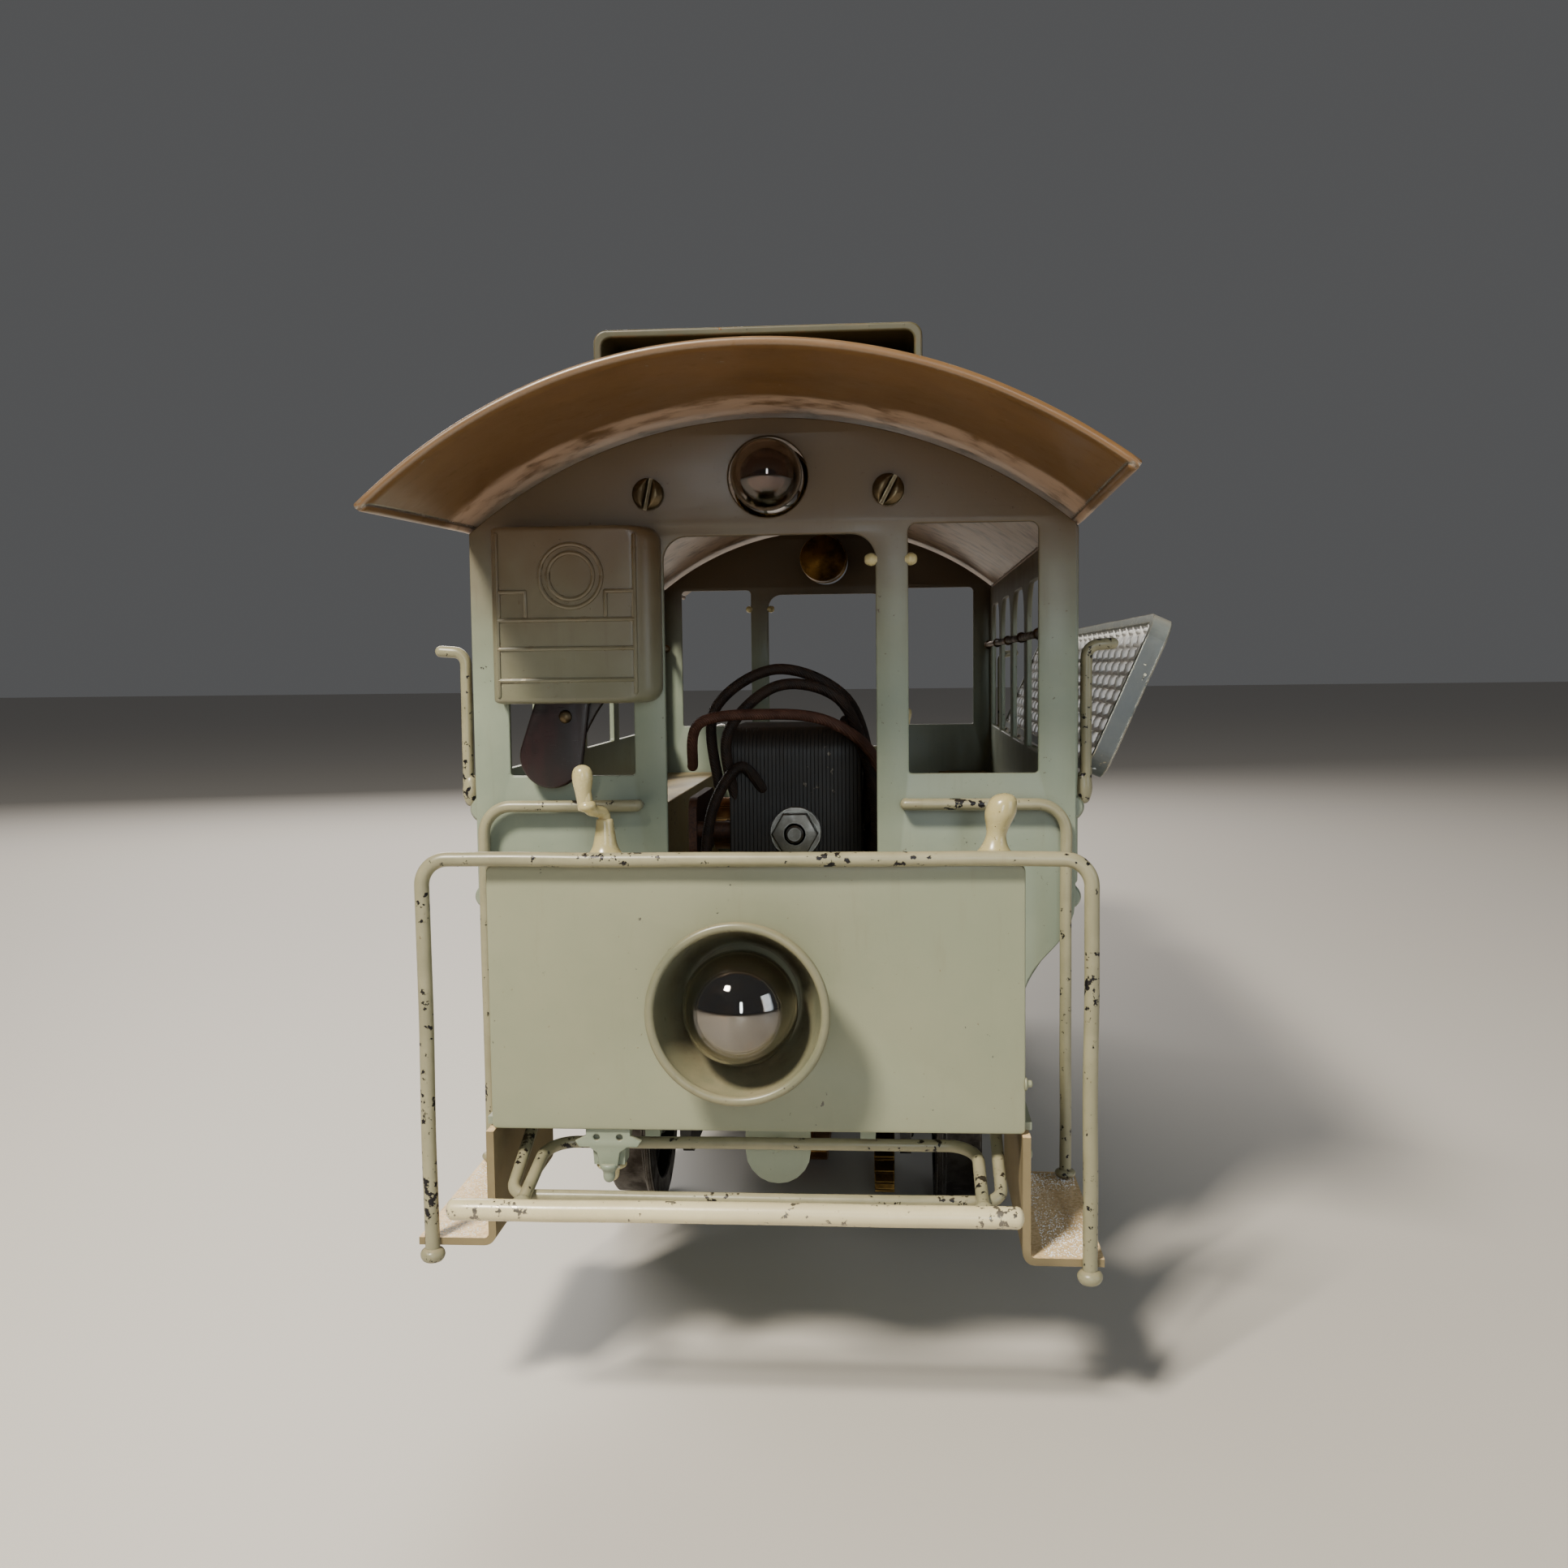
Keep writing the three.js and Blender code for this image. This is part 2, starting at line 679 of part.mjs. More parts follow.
// The floor runs from dash to dash, and is open where the idler gear turns. Tabs, lugs and the staff
// bracket hang below each platform.
function platformHangers() {
  const tabShape = new THREE.Shape();
  tabShape.moveTo(tabX - tabRadius, floorBottom + sheet / 2);
  tabShape.lineTo(tabX - tabRadius, tabCentre);
  tabShape.absarc(tabX, tabCentre, tabRadius, Math.PI, 2 * Math.PI, false);
  tabShape.lineTo(tabX + tabRadius, floorBottom + sheet / 2);
  const tab = solidOf(acrossY(tabShape, -halfLength - tabForward, sheet, 1, 5));
  const lugTop = floorBottom + sheet / 2;
  const rungY = -halfLength - hangerBack;
  const lugs = [-1, 1].map((side) =>
    box(
      [side * hangerHalfWidth * 0.5 - 1, rungY - 1, hangerHeight + hangerRadius + touch],
      [side * hangerHalfWidth * 0.5 + 1, rungY + 1, lugTop],
    ),
  );
  const half = bracketWidth / 2;
  const tip = bracketTipWidth / 2;
  const low = floorBottom - bracketDepth;
  const bend = floorBottom - bracketDepth * 0.4;
  const leaf = new THREE.Shape();
  leaf.moveTo(staffX - half, lugTop);
  leaf.bezierCurveTo(staffX - half, bend, staffX - tip, bend, staffX - tip, low);
  leaf.lineTo(staffX + tip, low);
  leaf.bezierCurveTo(staffX + tip, bend, staffX + half, bend, staffX + half, lugTop);
  const reach = staffInset - sheet - touch;
  const bracket = solidOf(acrossY(leaf, staffY - reach, 2 * reach, 1, 4));
  return join(tab, ...lugs, bracket);
}

function floorPan() {
  const half = footHalfWidth - sheet - touch;
  const end = halfLength + platformLength - sheet - touch;
  const hangers = platformHangers();
  const rearHangers = solidOf(geometryOf(hangers).rotateZ(Math.PI));
  const plate = join(box([-half, -end, floorBottom], [half, end, floorTop]), hangers, rearHangers);
  const reach = pitchRadius(idlerTeeth) + tipShare * gearModule + gearRoom;
  const slot = box(
    [gearX - slotMargin, idlerPlace.x - reach, floorBottom - overrun],
    [frameHalfWidth + slotMargin, idlerPlace.x + reach, floorTop + overrun],
  );
  const bore = rodAlongZ(staffRadius + running, staffFoot, floorTop + overrun, 12);
  const bores = [1, -1].map((side) => placed(bore, side * staffX, side * staffY, 0));
  return cut(plate, slot, ...bores);
}

function bench(sign) {
  const outer = halfWidth - sheet - touch;
  const inner = halfWidth - benchDepth;
  const shape = new THREE.Shape();
  shape.moveTo(sign * outer, benchHeight);
  shape.lineTo(sign * inner, benchHeight);
  shape.lineTo(sign * inner, floorTop + touch);
  shape.lineTo(sign * (inner + sheet), floorTop + touch);
  shape.lineTo(sign * (inner + sheet), benchHeight - sheet);
  shape.lineTo(sign * outer, benchHeight - sheet);
  const length = sideLength - 2 * touch;
  return solidOf(acrossY(shape, -length / 2, length));
}

// ---- one end of the car: everything on a platform ----

function dash() {
  const plate = roundedRectangle(-dashWidth / 2, dashWidth / 2, floorBottom - dashDrop, dashTop, dashCorner);
  const lampHole = circle(headlightShift, headlightHeight, headlightSocketRadius + headlightHoleGap);
  return cutAcrossY(solidOf(acrossY(plate, dashY, sheet, 1, 2)), [lampHole], dashY - sheet, 3 * sheet);
}

const footSquash = 0.6; // of the rail's feet, flattened under the treads

function guardRail(leftLift) {
  const foot = treadHeight - sheet - touch - railFootRadius * footSquash;
  const corners = [
    [-railHalfWidth, railY, foot + leftLift],
    [-railHalfWidth, railY, railHeight],
    [railHalfWidth, railY, railHeight],
    [railHalfWidth, railY, foot],
  ];
  const feet = [corners[0], corners[3]].map((corner) => ball(railFootRadius, corner, [1, 1, footSquash]));
  return join(wire(corners, railRadius, railBend), ...feet);
}

function step(sign, lift) {
  const top = treadHeight + lift;
  const shape = new THREE.Shape();
  shape.moveTo(sign * (riserX - sheet), floorBottom - touch);
  shape.lineTo(sign * (riserX - sheet), top - sheet);
  shape.lineTo(sign * treadOuter, top - sheet);
  shape.lineTo(sign * treadOuter, top);
  shape.lineTo(sign * riserX, top);
  shape.lineTo(sign * riserX, floorBottom - touch);
  const length = treadFront + treadBack;
  const plate = solidOf(acrossY(shape, -halfLength - treadFront, length));
  const seat = rodAlongZ(railRadius + touch, top - 2 * sheet, top + sheet, 12);
  return cut(plate, placed(seat, sign * railHalfWidth, railY, 0));
}

function stanchion(sign, lift) {
  const y = -halfLength - stanchionOffset;
  return wire(
    [
      [sign * stanchionInner, -halfLength - touch, stanchionHeight],
      [sign * stanchionInner, y, stanchionHeight],
      [sign * stanchionX, y, stanchionHeight],
      [sign * stanchionX, y, treadHeight + touch + lift],
    ],
    stanchionRadius,
    stanchionBend,
  );
}

function sideHook(sign) {
  const y = -halfLength + hookInset;
  const x = halfWidth + hookStandoff + hookRadius;
  const rod = wire(
    [
      [sign * (halfWidth + hookReach), y, hookHeight],
      [sign * x, y, hookHeight],
      [sign * x, y, hookFootHeight],
    ],
    hookRadius,
    hookBend,
  );
  return join(rod, ball(hookFootRadius, [sign * (x - touch), y, hookFootHeight], [0.75, 1, 1.6]));
}

function headlight(group, prefix) {
  const rimY = dashY - touch - cupDepth;
  const globeY = rimY + globeSetback;
  const cupProfile = [
    [cupBaseRadius - 1.2, 0],
    [cupBaseRadius, 0],
    [cupRimRadius - cupFlare, cupDepth * 0.7],
    [cupRimRadius, cupDepth],
    [cupRimRadius - cupWall, cupDepth],
    [cupRimRadius - cupFlare - cupWall, cupDepth * 0.7],
    [cupBaseRadius - 0.4, cupWall],
    [cupBaseRadius - 1.2, cupWall],
    [cupBaseRadius - 1.2, 0],
  ];
  const toFront = (profile, from, segments) =>
    solidOf(moved(turned(profile, segments).rotateX(Math.PI / 2), headlightShift, from, headlightHeight));
  add(group, prefix + "_headlight_cup", toFront(cupProfile, dashY - touch, 24), finishes.sage);
  const neckEnd = dashY + sheet + touch + neckSink;
  const globe = [[0, 0], [neckRadius, 0]];
  const back = Math.asin(neckRadius / globeRadius);
  const arcs = 9;
  const centre = neckEnd - globeY;
  for (let i = 0; i <= arcs; i++) {
    const angle = -Math.PI / 2 + back + ((Math.PI - back) * i) / arcs;
    globe.push([Math.max(0, globeRadius * Math.cos(angle)), centre + globeRadius * Math.sin(angle)]);
  }
  add(group, prefix + "_headlight_bulb", toFront(globe, neckEnd, 18), finishes.glass);
  const socketFront = dashY + sheet + touch;
  const socketBack = socketFront + headlightSocketLength;
  const length = socketBack - socketFront;
  const recess = neckEnd - socketFront + touch;
  const socket = [
    [0, 0],
    [headlightSocketRadius, 0],
    [headlightSocketRadius, length],
    [neckRadius + touch, length],
    [neckRadius + touch, length - recess],
    [0, length - recess],
  ];
  add(group, prefix + "_headlight_socket", toFront(socket, socketBack, 16), finishes.brass);
}

function upperLamp(group, prefix) {
  const front = -halfLength - lampReach;
  const profile = [[0, 0], [lampRadius, 0]];
  const arcs = 5;
  for (let i = 0; i <= arcs; i++) {
    const angle = ((Math.PI / 2) * i) / arcs;
    profile.push([lampRadius * Math.cos(angle), lampLength - lampRadius + lampRadius * Math.sin(angle)]);
  }
  profile[profile.length - 1][0] = 0;
  const toFront = (points, from) =>
    solidOf(moved(turned(points, 16).rotateX(Math.PI / 2), 0, from, lampHeight));
  add(group, prefix + "_lamp_bulb", toFront(profile, front + lampLength), finishes.glass);
  const cupLength = lampSocketLength - touch;
  const socket = [
    [0, 0],
    [lampSocketRadius, 0],
    [lampSocketRadius, cupLength],
    [lampRadius + touch, cupLength],
    [lampRadius + touch, cupLength - lampGrip],
    [0, cupLength - lampGrip],
  ];
  const back = front + lampLength + cupLength - lampGrip + touch;
  add(group, prefix + "_lamp_socket", toFront(socket, back), finishes.brass);
}

function brakeStaff() {
  const [throwX, throwY] = crankThrow;
  const corners = [
    [staffX, staffY, staffFoot],
    [staffX, staffY, staffTop],
    [staffX + throwX, staffY + throwY, staffTop + 0.6],
    [staffX + throwX * 1.35, staffY + throwY, gripTop - gripRadius],
  ];
  const collar = turned(
    [
      [0, 0],
      [collarRadius, 0],
      [collarRadius - 0.4, 0.5],
      [staffRadius + 0.3, collarHeight],
      [0, collarHeight],
    ],
    12,
  );
  const [x, y] = [corners[3][0], corners[3][1]];
  const grip = turned(
    [
      [0, staffTop + 1.6],
      [0.8, staffTop + 1.6],
      [gripRadius, gripTop - 2.4],
      [gripRadius, gripTop - 1],
      [0.9, gripTop - 0.25],
      [0, gripTop],
    ],
    12,
  );
  return join(
    wire(corners, staffRadius * 0.9, 1.1, 8, 3),
    solidOf(moved(collar, staffX, staffY, dashTop + collarLift)),
    solidOf(moved(grip, x, y, 0)),
  );
}

function controllerHandle() {
  const y = staffY;
  const spindle = rodAlongZ(staffRadius, floorTop + touch, dashTop + collarHeight, 10);
  const foot = dashTop + collarLift;
  const handle = turned(
    [
      [0, 0],
      [collarRadius + 0.2, 0],
      [collarRadius - 0.5, 0.5],
      [1.3, 2.4],
      [1.3, 3.4],
      [knobRadius, 5.4],
      [knobRadius, knobTop - foot - 1.4],
      [1.2, knobTop - foot - 0.35],
      [0, knobTop - foot],
    ],
    12,
  );
  const lean = new THREE.Matrix4().makeShear(0, 0, 0, 0, knobLean / (knobTop - foot), 0);
  return join(placed(spindle, knobX, y, 0), solidOf(moved(handle.applyMatrix4(lean), knobX, y, foot)));
}

function fender() {
  const barY = -halfLength - fenderForward;
  const bar = placed(
    rodAlongX(fenderRadius, -fenderHalfLength, fenderHalfLength, 10),
    fenderShift,
    barY,
    fenderHeight,
  );
  const rungY = -halfLength - hangerBack;
  const hanger = wire(
    [
      [-hangerHalfWidth, barY + 0.6, fenderHeight + 0.4],
      [-hangerHalfWidth, rungY, hangerHeight],
      [hangerHalfWidth, rungY, hangerHeight],
      [hangerHalfWidth, barY + 0.6, fenderHeight + 0.4],
    ],
    hangerRadius,
    hangerBend,
  );
  const rearY = -halfLength - rearBarForward;
  const backY = -halfLength - rearBarBack;
  const rear = wire(
    [
      [-rearBarHalfWidth, backY, floorBottom - touch - hangerRadius],
      [-rearBarHalfWidth, rearY, fenderHeight],
      [rearBarHalfWidth, rearY, fenderHeight],
      [rearBarHalfWidth, backY, floorBottom - touch - hangerRadius],
    ],
    hangerRadius,
    rearBarBend,
  );
  return join(bar, hanger, rear);
}

function endOfCar(prefix, leftLift) {
  const group = new THREE.Group();
  add(group, prefix + "_end_wall", endWall(), finishes.sage);
  add(group, prefix + "_dash", dash(), finishes.sage);
  add(group, prefix + "_guard_rail", guardRail(leftLift), finishes.cream);
  for (const [side, sign] of carSides) {
    const lift = sign < 0 ? leftLift : 0;
    add(group, prefix + "_" + side + "_step", step(sign, lift), finishes.sand);
    add(group, prefix + "_" + side + "_stanchion", stanchion(sign, lift), finishes.cream);
    add(group, prefix + "_" + side + "_hook", sideHook(sign), finishes.sage);
  }
  headlight(group, prefix);
  upperLamp(group, prefix);
  add(group, prefix + "_brake_staff", brakeStaff(), finishes.ivory);
  add(group, prefix + "_controller_handle", controllerHandle(), finishes.ivory);
  add(group, prefix + "_fender", fender(), finishes.cream);
  return group;
}

// ---- switch ----

function switchCase() {
  const back = -halfLength - touch;
  const front = -halfLength - caseDepth;
  const plan = (inset, behind) => {
    const shape = new THREE.Shape();
    const round = caseRound - inset;
    const small = caseEdge - inset / 2;
    shape.moveTo(caseLeft + inset, behind);
    shape.lineTo(caseLeft + inset, front + inset + small);
    shape.absarc(caseLeft + inset + small, front + inset + small, small, Math.PI, 1.5 * Math.PI, false);
    shape.lineTo(caseRight - inset - round, front + inset);
    shape.absarc(caseRight - inset - round, front + inset + round, round, -Math.PI / 2, 0, false);
    shape.lineTo(caseRight - inset, behind);
    return shape;
  };
  const outer = solidOf(moved(extruded(plan(0, back), caseTop - caseFoot, 1, 4), 0, 0, caseFoot));
  const inside = caseTop - caseFoot - 2 * sheet;
  const inner = solidOf(moved(extruded(plan(sheet, back + 1), inside, 1, 4), 0, 0, caseFoot + sheet));
  const [pivotX] = leverPivot;
  const slot = box(
    [pivotX - leverEndRadius - 2.6, back - caseDepth + sheet + 2 * touch, caseFoot - 1],
    [pivotX + leverEndRadius + 3.6, back + 1, caseFoot + 2 * sheet],
  );
  return cut(outer, inner, slot);
}

const leverFront = -halfLength - caseDepth + sheet + 2.2 * touch;
const leverBack = leverFront + 2 * leafThickness;

function switchLever() {
  const [x, z] = leverPivot;
  const lean = THREE.MathUtils.degToRad(leverLean);
  const endX = x - leverLength * Math.sin(lean);
  const endZ = z - leverLength * Math.cos(lean);
  const front = new THREE.Shape();
  front.absarc(x, z, leverNeckRadius, -lean, Math.PI - lean, false);
  front.absarc(endX, endZ, leverEndRadius, Math.PI - lean, 2 * Math.PI - lean, false);
  const rear = new THREE.Shape();
  rear.moveTo(x - 2, z);
  rear.quadraticCurveTo(x - 1, z - 9, x + 0.2, z - leverLength);
  rear.quadraticCurveTo(x + 2.6, z - 8, x + 4.9, z - 5.4);
  rear.quadraticCurveTo(x + 3.6, z + 1, x, z + 2.4);
  const leaves = join(
    solidOf(acrossY(front, leverFront, leafThickness, 1, 7)),
    solidOf(acrossY(rear, leverFront + leafThickness - 0.1, leafThickness + 0.1, 1, 4)),
  );
  const bore = placed(rodAlongY(switchPinRadius + running, leverFront - 1, leverBack + 1), x, 0, z);
  return cut(leaves, bore);
}

function switchPin() {
  const [x, z] = leverPivot;
  const from = -halfLength - caseDepth + sheet + touch;
  return placed(rodAlongY(switchPinRadius, from, -halfLength - touch), x, 0, z);
}

// ---- side guard ----

function guardFrame() {
  const half = guardLength / 2;
  const low = -guardPinRadius * 0.5;
  const outer = archedOpening(-half, half, low, guardHeight, guardCorner);
  const [innerHalf, innerTop] = [half - guardRim, guardHeight - guardRim];
  const inner = archedOpening(-innerHalf, innerHalf, low - overrun, innerTop, guardCorner - guardRim);
  const back = -guardPinRadius;
  const rim = cut(
    solidOf(acrossX(outer, back, guardDepth, 4)),
    solidOf(acrossX(inner, back - 1, guardDepth + 2, 4)),
  );
  return join(rim, rodAlongY(guardPinRadius, -half + guardRim / 2, half - guardRim / 2, 12));
}

function guardPanel() {
  const half = guardLength / 2 - guardRim - touch;
  const low = knuckleRadius + touch;
  const shape = archedOpening(-half, half, low, guardHeight - guardRim - touch, guardCorner - guardRim);
  return solidOf(acrossX(shape, guardDepth / 4 - guardPinRadius, panelThickness, 4));
}

function sideGuard() {
  const group = new THREE.Group();
  add(group, "side_guard_frame", guardFrame(), finishes.steel);
  add(group, "side_guard_panel", guardPanel(), finishes.mesh);
  group.position.set(hingeX, 0, guardHingeHeight);
  group.rotation.y = THREE.MathUtils.degToRad(guardLean);
  return group;
}

// ---- running gear ----

// A gear's outline about a centre, with a tooth at the given angle.
function gearShape(teeth, toothAngle, y, z) {
  const pitch = (2 * Math.PI) / teeth;
  const root = pitchRadius(teeth) - rootShare * gearModule;
  const tip = pitchRadius(teeth) + tipShare * gearModule;
  const shape = new THREE.Shape();
  const flank = [
    [root, -0.27],
    [tip, -0.11],
    [tip, 0.11],
    [root, 0.27],
  ];
  for (let i = 0; i < teeth; i++)
    for (const [radius, share] of flank) {
      const angle = toothAngle + pitch * (i + share);
      const point = [y + radius * Math.cos(angle), z + radius * Math.sin(angle)];
      if (i === 0 && share === -0.27) shape.moveTo(...point);
      else shape.lineTo(...point);
    }
  return shape;
}

const placedAt = (solid, point) => placed(solid, 0, point.x, point.y);

function armature() {
  const core = coreHalfLength;
  const drum = turnedAlongX(
    [
      [0, -brushPlateInner - brushPlateThickness - shaftOverhang],
      [shaftRadius, -brushPlateInner - brushPlateThickness - shaftOverhang],
      [shaftRadius, -core - commutatorGap - commutatorLength],
      [commutatorRadius, -core - commutatorGap - commutatorLength],
      [commutatorRadius, -core - commutatorGap],
      [shaftRadius + 2, -core - 1],
      [armatureRadius - 1, -core],
      [armatureRadius, -core + 0.8],
      [armatureRadius, core - 0.8],
      [armatureRadius - 1, core],
      [shaftRadius, core + 0.6],
      [shaftRadius, frameHalfWidth + shaftOverhang],
      [0, frameHalfWidth + shaftOverhang],
    ],
    20,
  );
  const pinion = acrossX(gearShape(pinionTeeth, pinionTooth, ...pinionPlace), gearX, gearWidth);
  return join(solidOf(moved(drum, 0, motorY, motorZ)), solidOf(pinion));
}

function idlerGear() {
  const gear = acrossX(gearShape(idlerTeeth, idlerTooth, ...idlerPlace), gearX, gearWidth);
  const shaft = rodAlongX(shaftRadius, gearX - 1, frameHalfWidth + shaftOverhang, 12);
  return join(solidOf(gear), placedAt(shaft, idlerPlace));
}

function axleGear() {
  const gear = acrossX(gearShape(axleGearTeeth, axleTooth, ...axlePlace), gearX, gearWidth);
  const hub = rodAlongX(axleRadius + 2, gearX - 2.5, gearX + 1, 14);
  const bore = rodAlongX(axleRadius + pressed, gearX - 4, gearX + gearWidth + 1);
  return cut(join(solidOf(gear), placedAt(hub, axlePlace)), placedAt(bore, axlePlace));
}

// Flange towards the middle of the car, tread outwards.
function wheel(sign) {
  const back = wheelGauge / 2;
  const rim = treadRadius - 2.6;
  const web = back + wheelWidth * 0.35;
  const hub = axleRadius + 3;
  const profile = [
    [axleRadius + pressed, back],
    [hub, back],
    [hub, web],
    [rim, web],
    [rim, back],
    [treadRadius + flangeHeight, back],
    [treadRadius + flangeHeight, back + flangeWidth - 0.8],
    [treadRadius, back + flangeWidth],
    [treadRadius - 0.3, back + wheelWidth],
    [rim, back + wheelWidth],
    [rim, web + 2],
    [axleRadius + pressed, web + 2],
    [axleRadius + pressed, back],
  ];
  const geometry = turnedAlongX(profile, 24);
  if (sign < 0) geometry.rotateZ(Math.PI);
  return solidOf(geometry);
}

function truckFrame() {
  const outer = frameHalfWidth;
  const inner = outer - framePlate;
  const top = floorBottom - touch;
  const plate = new THREE.Shape();
  const half = frameHalfLength;
  plate.moveTo(-half, frameFoot + 4);
  plate.lineTo(-half + 4, frameFoot);
  plate.lineTo(-axleY + 7, frameFoot);
  plate.lineTo(-axleY + 11, frameFoot + 2);
  plate.lineTo(axleY - 11, frameFoot + 2);
  plate.lineTo(axleY - 7, frameFoot);
  plate.lineTo(half - 4, frameFoot);
  plate.lineTo(half, frameFoot + 4);
  plate.lineTo(half, top);
  plate.lineTo(-half, top);
  const windows = [-1, 1].map((side) => {
    const centre = (side * (axleY - 4)) / 2;
    return roundedRectangle(centre - 9, centre + 9, crossbarZ + 6, top - 4, 3);
  });
  let frame = join(
    solidOf(acrossX(plate, -outer, framePlate)),
    solidOf(acrossX(plate, inner, framePlate)),
  );
  for (const window of windows) frame = cut(frame, solidOf(acrossX(window, -outer - 1, 2 * outer + 2, 3)));
  const carrier = new THREE.Shape();
  carrier.moveTo(idlerPlace.x - 9, frameFoot + 2);
  carrier.lineTo(idlerPlace.x + 9, frameFoot + 2);
  carrier.lineTo(idlerPlace.x + 9, idlerPlace.y);
  carrier.lineTo(motorY + 5, motorZ);
  carrier.absarc(motorY, motorZ, 5, 0, Math.PI, false);
  carrier.lineTo(idlerPlace.x - 9, idlerPlace.y);
  const bars = [-1, 1].flatMap((side) => {
    const guide = (side * shoeSpacing) / 2;
    const tie = side * (half - 3);
    return [
      box(
        [-inner - 1, guide - crossbarWidth / 2, crossbarZ],
        [inner + 1, guide + crossbarWidth / 2, crossbarZ + crossbarThickness],
      ),
      box([-inner - 1, tie - 2, top - 3], [inner + 1, tie + 2, top]),
    ];
  });
  frame = join(frame, solidOf(acrossX(carrier, inner, framePlate, 5)), ...bars);
  const axleBores = [-axleY, axleY].map((y) =>
    placed(rodAlongX(axleRadius + running, -outer - 1, outer + 1, 14), 0, y, axleHeight),
  );
  const shaftBore = rodAlongX(shaftRadius + running, inner - 1, outer + 1, 12);
  const guideTop = crossbarZ + crossbarThickness + overrun;
  const guideBore = rodAlongZ(shoePostRadius + running, crossbarZ - overrun, guideTop, 12);
  const guideBores = [-1, 1].map((side) => placed(guideBore, 0, (side * shoeSpacing) / 2, 0));
  const shaftBores = [idlerPlace, pinionPlace].map((place) => placedAt(shaftBore, place));
  return cut(frame, ...axleBores, ...shaftBores, ...guideBores);
}

function pickupShoe() {
  const flat = shoeFlat / 2;
  const end = shoeLength / 2;
  const rise = shoeRise;
  const runner = new THREE.Shape();
  runner.moveTo(-flat, 0);
  runner.lineTo(flat, 0);
  runner.quadraticCurveTo(end - 1.5, 0.3, end, rise);
  runner.lineTo(end - 1, rise + 1);
  runner.quadraticCurveTo(end - 3, shoeThickness + 0.3, flat, shoeThickness);
  runner.lineTo(-flat, shoeThickness);
  runner.quadraticCurveTo(-end + 3, shoeThickness + 0.3, -end + 1, rise + 1);
  runner.lineTo(-end, rise);
  runner.quadraticCurveTo(-end + 1.5, 0.3, -flat, 0);
  const headFoot = crossbarZ + crossbarThickness + touch;
  const posts = [-1, 1].map((side) => {
    const post = turned(
      [
        [0, shoeThickness / 2],
        [shoePostRadius, shoeThickness / 2],
        [shoePostRadius, headFoot],
        [shoePostRadius + 1, headFoot],
        [shoePostRadius + 1, headFoot + shoeHeadHeight],
        [0, headFoot + shoeHeadHeight],
      ],
      12,
    );
    return solidOf(moved(post, 0, (side * shoeSpacing) / 2, 0));
  });
  return join(solidOf(acrossX(runner, -shoeWidth / 2, shoeWidth, 4)), ...posts);
}

// ---- motor ----

function motorField() {
  const bore = armatureRadius + airGap;
  const outline = roundedRectangle(fieldFront, motorY + fieldLength / 2, floorTop + touch, fieldTop, 5);
  const window = roundedRectangle(motorY - 9, motorY + 9, floorTop + 6, motorZ - bore - 3, 2);
  return cut(
    solidOf(acrossX(outline, -fieldHalfWidth, 2 * fieldHalfWidth, 3)),
    solidOf(acrossX(window, -fieldHalfWidth - 1, 2 * fieldHalfWidth + 2, 3)),
    placed(rodAlongX(bore, -fieldHalfWidth - 1, fieldHalfWidth + 1, 20), 0, motorY, motorZ),
    placed(rodAlongY(boltRadius + touch, fieldFront - 1, fieldFront + boltSink + touch, 12), 0, 0, motorZ),
  );
}

function poleBolt() {
  const front = fieldFront - touch;
  const corner = nutSize / Math.sqrt(3);
  const nut = turned([[0, 0], [corner, 0], [corner, nutHeight], [0, nutHeight]], 6);
  const hex = solidOf(moved(nut.rotateX(Math.PI / 2), 0, front, motorZ));
  return join(hex, placed(rodAlongY(boltRadius, front - 0.5, fieldFront + boltSink, 12), 0, 0, motorZ));
}

function brushPlate() {
  const outer = -brushPlateInner - brushPlateThickness;
  const bar = roundedRectangle(motorY - 14, motorY + 14, motorZ - 6, motorZ + 6, 3);
  const plate = solidOf(acrossX(bar, outer, brushPlateThickness, 3));
  const posts = [-12, 12].map((offset) =>
    placed(rodAlongX(1.6, outer + 0.5, -fieldHalfWidth - touch, 10), 0, motorY + offset, motorZ),
  );
  const tubeX = -coreHalfLength - commutatorGap - commutatorLength / 2;
  const tubes = [-1, 1].map((side) => {
    const near = motorY + side * (commutatorRadius + 0.5);
    const far = motorY + side * (commutatorRadius + 8);
    return placed(rodAlongY(brushTubeRadius, Math.min(near, far), Math.max(near, far), 10), tubeX, 0, motorZ);
  });
  const bore = placed(
    rodAlongX(shaftRadius + running, outer - 1, -brushPlateInner + 1, 12),
    0,
    motorY,
    motorZ,
  );
  return cut(join(plate, ...posts, ...tubes), bore);
}

// ---- assembly ----

add(car, "floor_pan", floorPan(), finishes.sage);
add(car, "left_side_wall", sideWall(-1), finishes.sage);
add(car, "right_side_wall", rightSideWall(), finishes.sage);
add(car, "roof", roof(), finishes.umber);
add(car, "roof_board", roofBoard(), finishes.olive);
add(car, "left_bench", bench(-1), finishes.cream);
add(car, "right_bench", bench(1), finishes.cream);

car.add(endOfCar("front", leftStepLift));
const rear = endOfCar("rear", 0);
rear.rotation.z = Math.PI;
car.add(rear);

add(car, "switch_case", switchCase(), finishes.sage);
add(car, "switch_lever", switchLever(), finishes.bakelite);
add(car, "switch_pin", switchPin(), finishes.steel);
car.add(sideGuard());

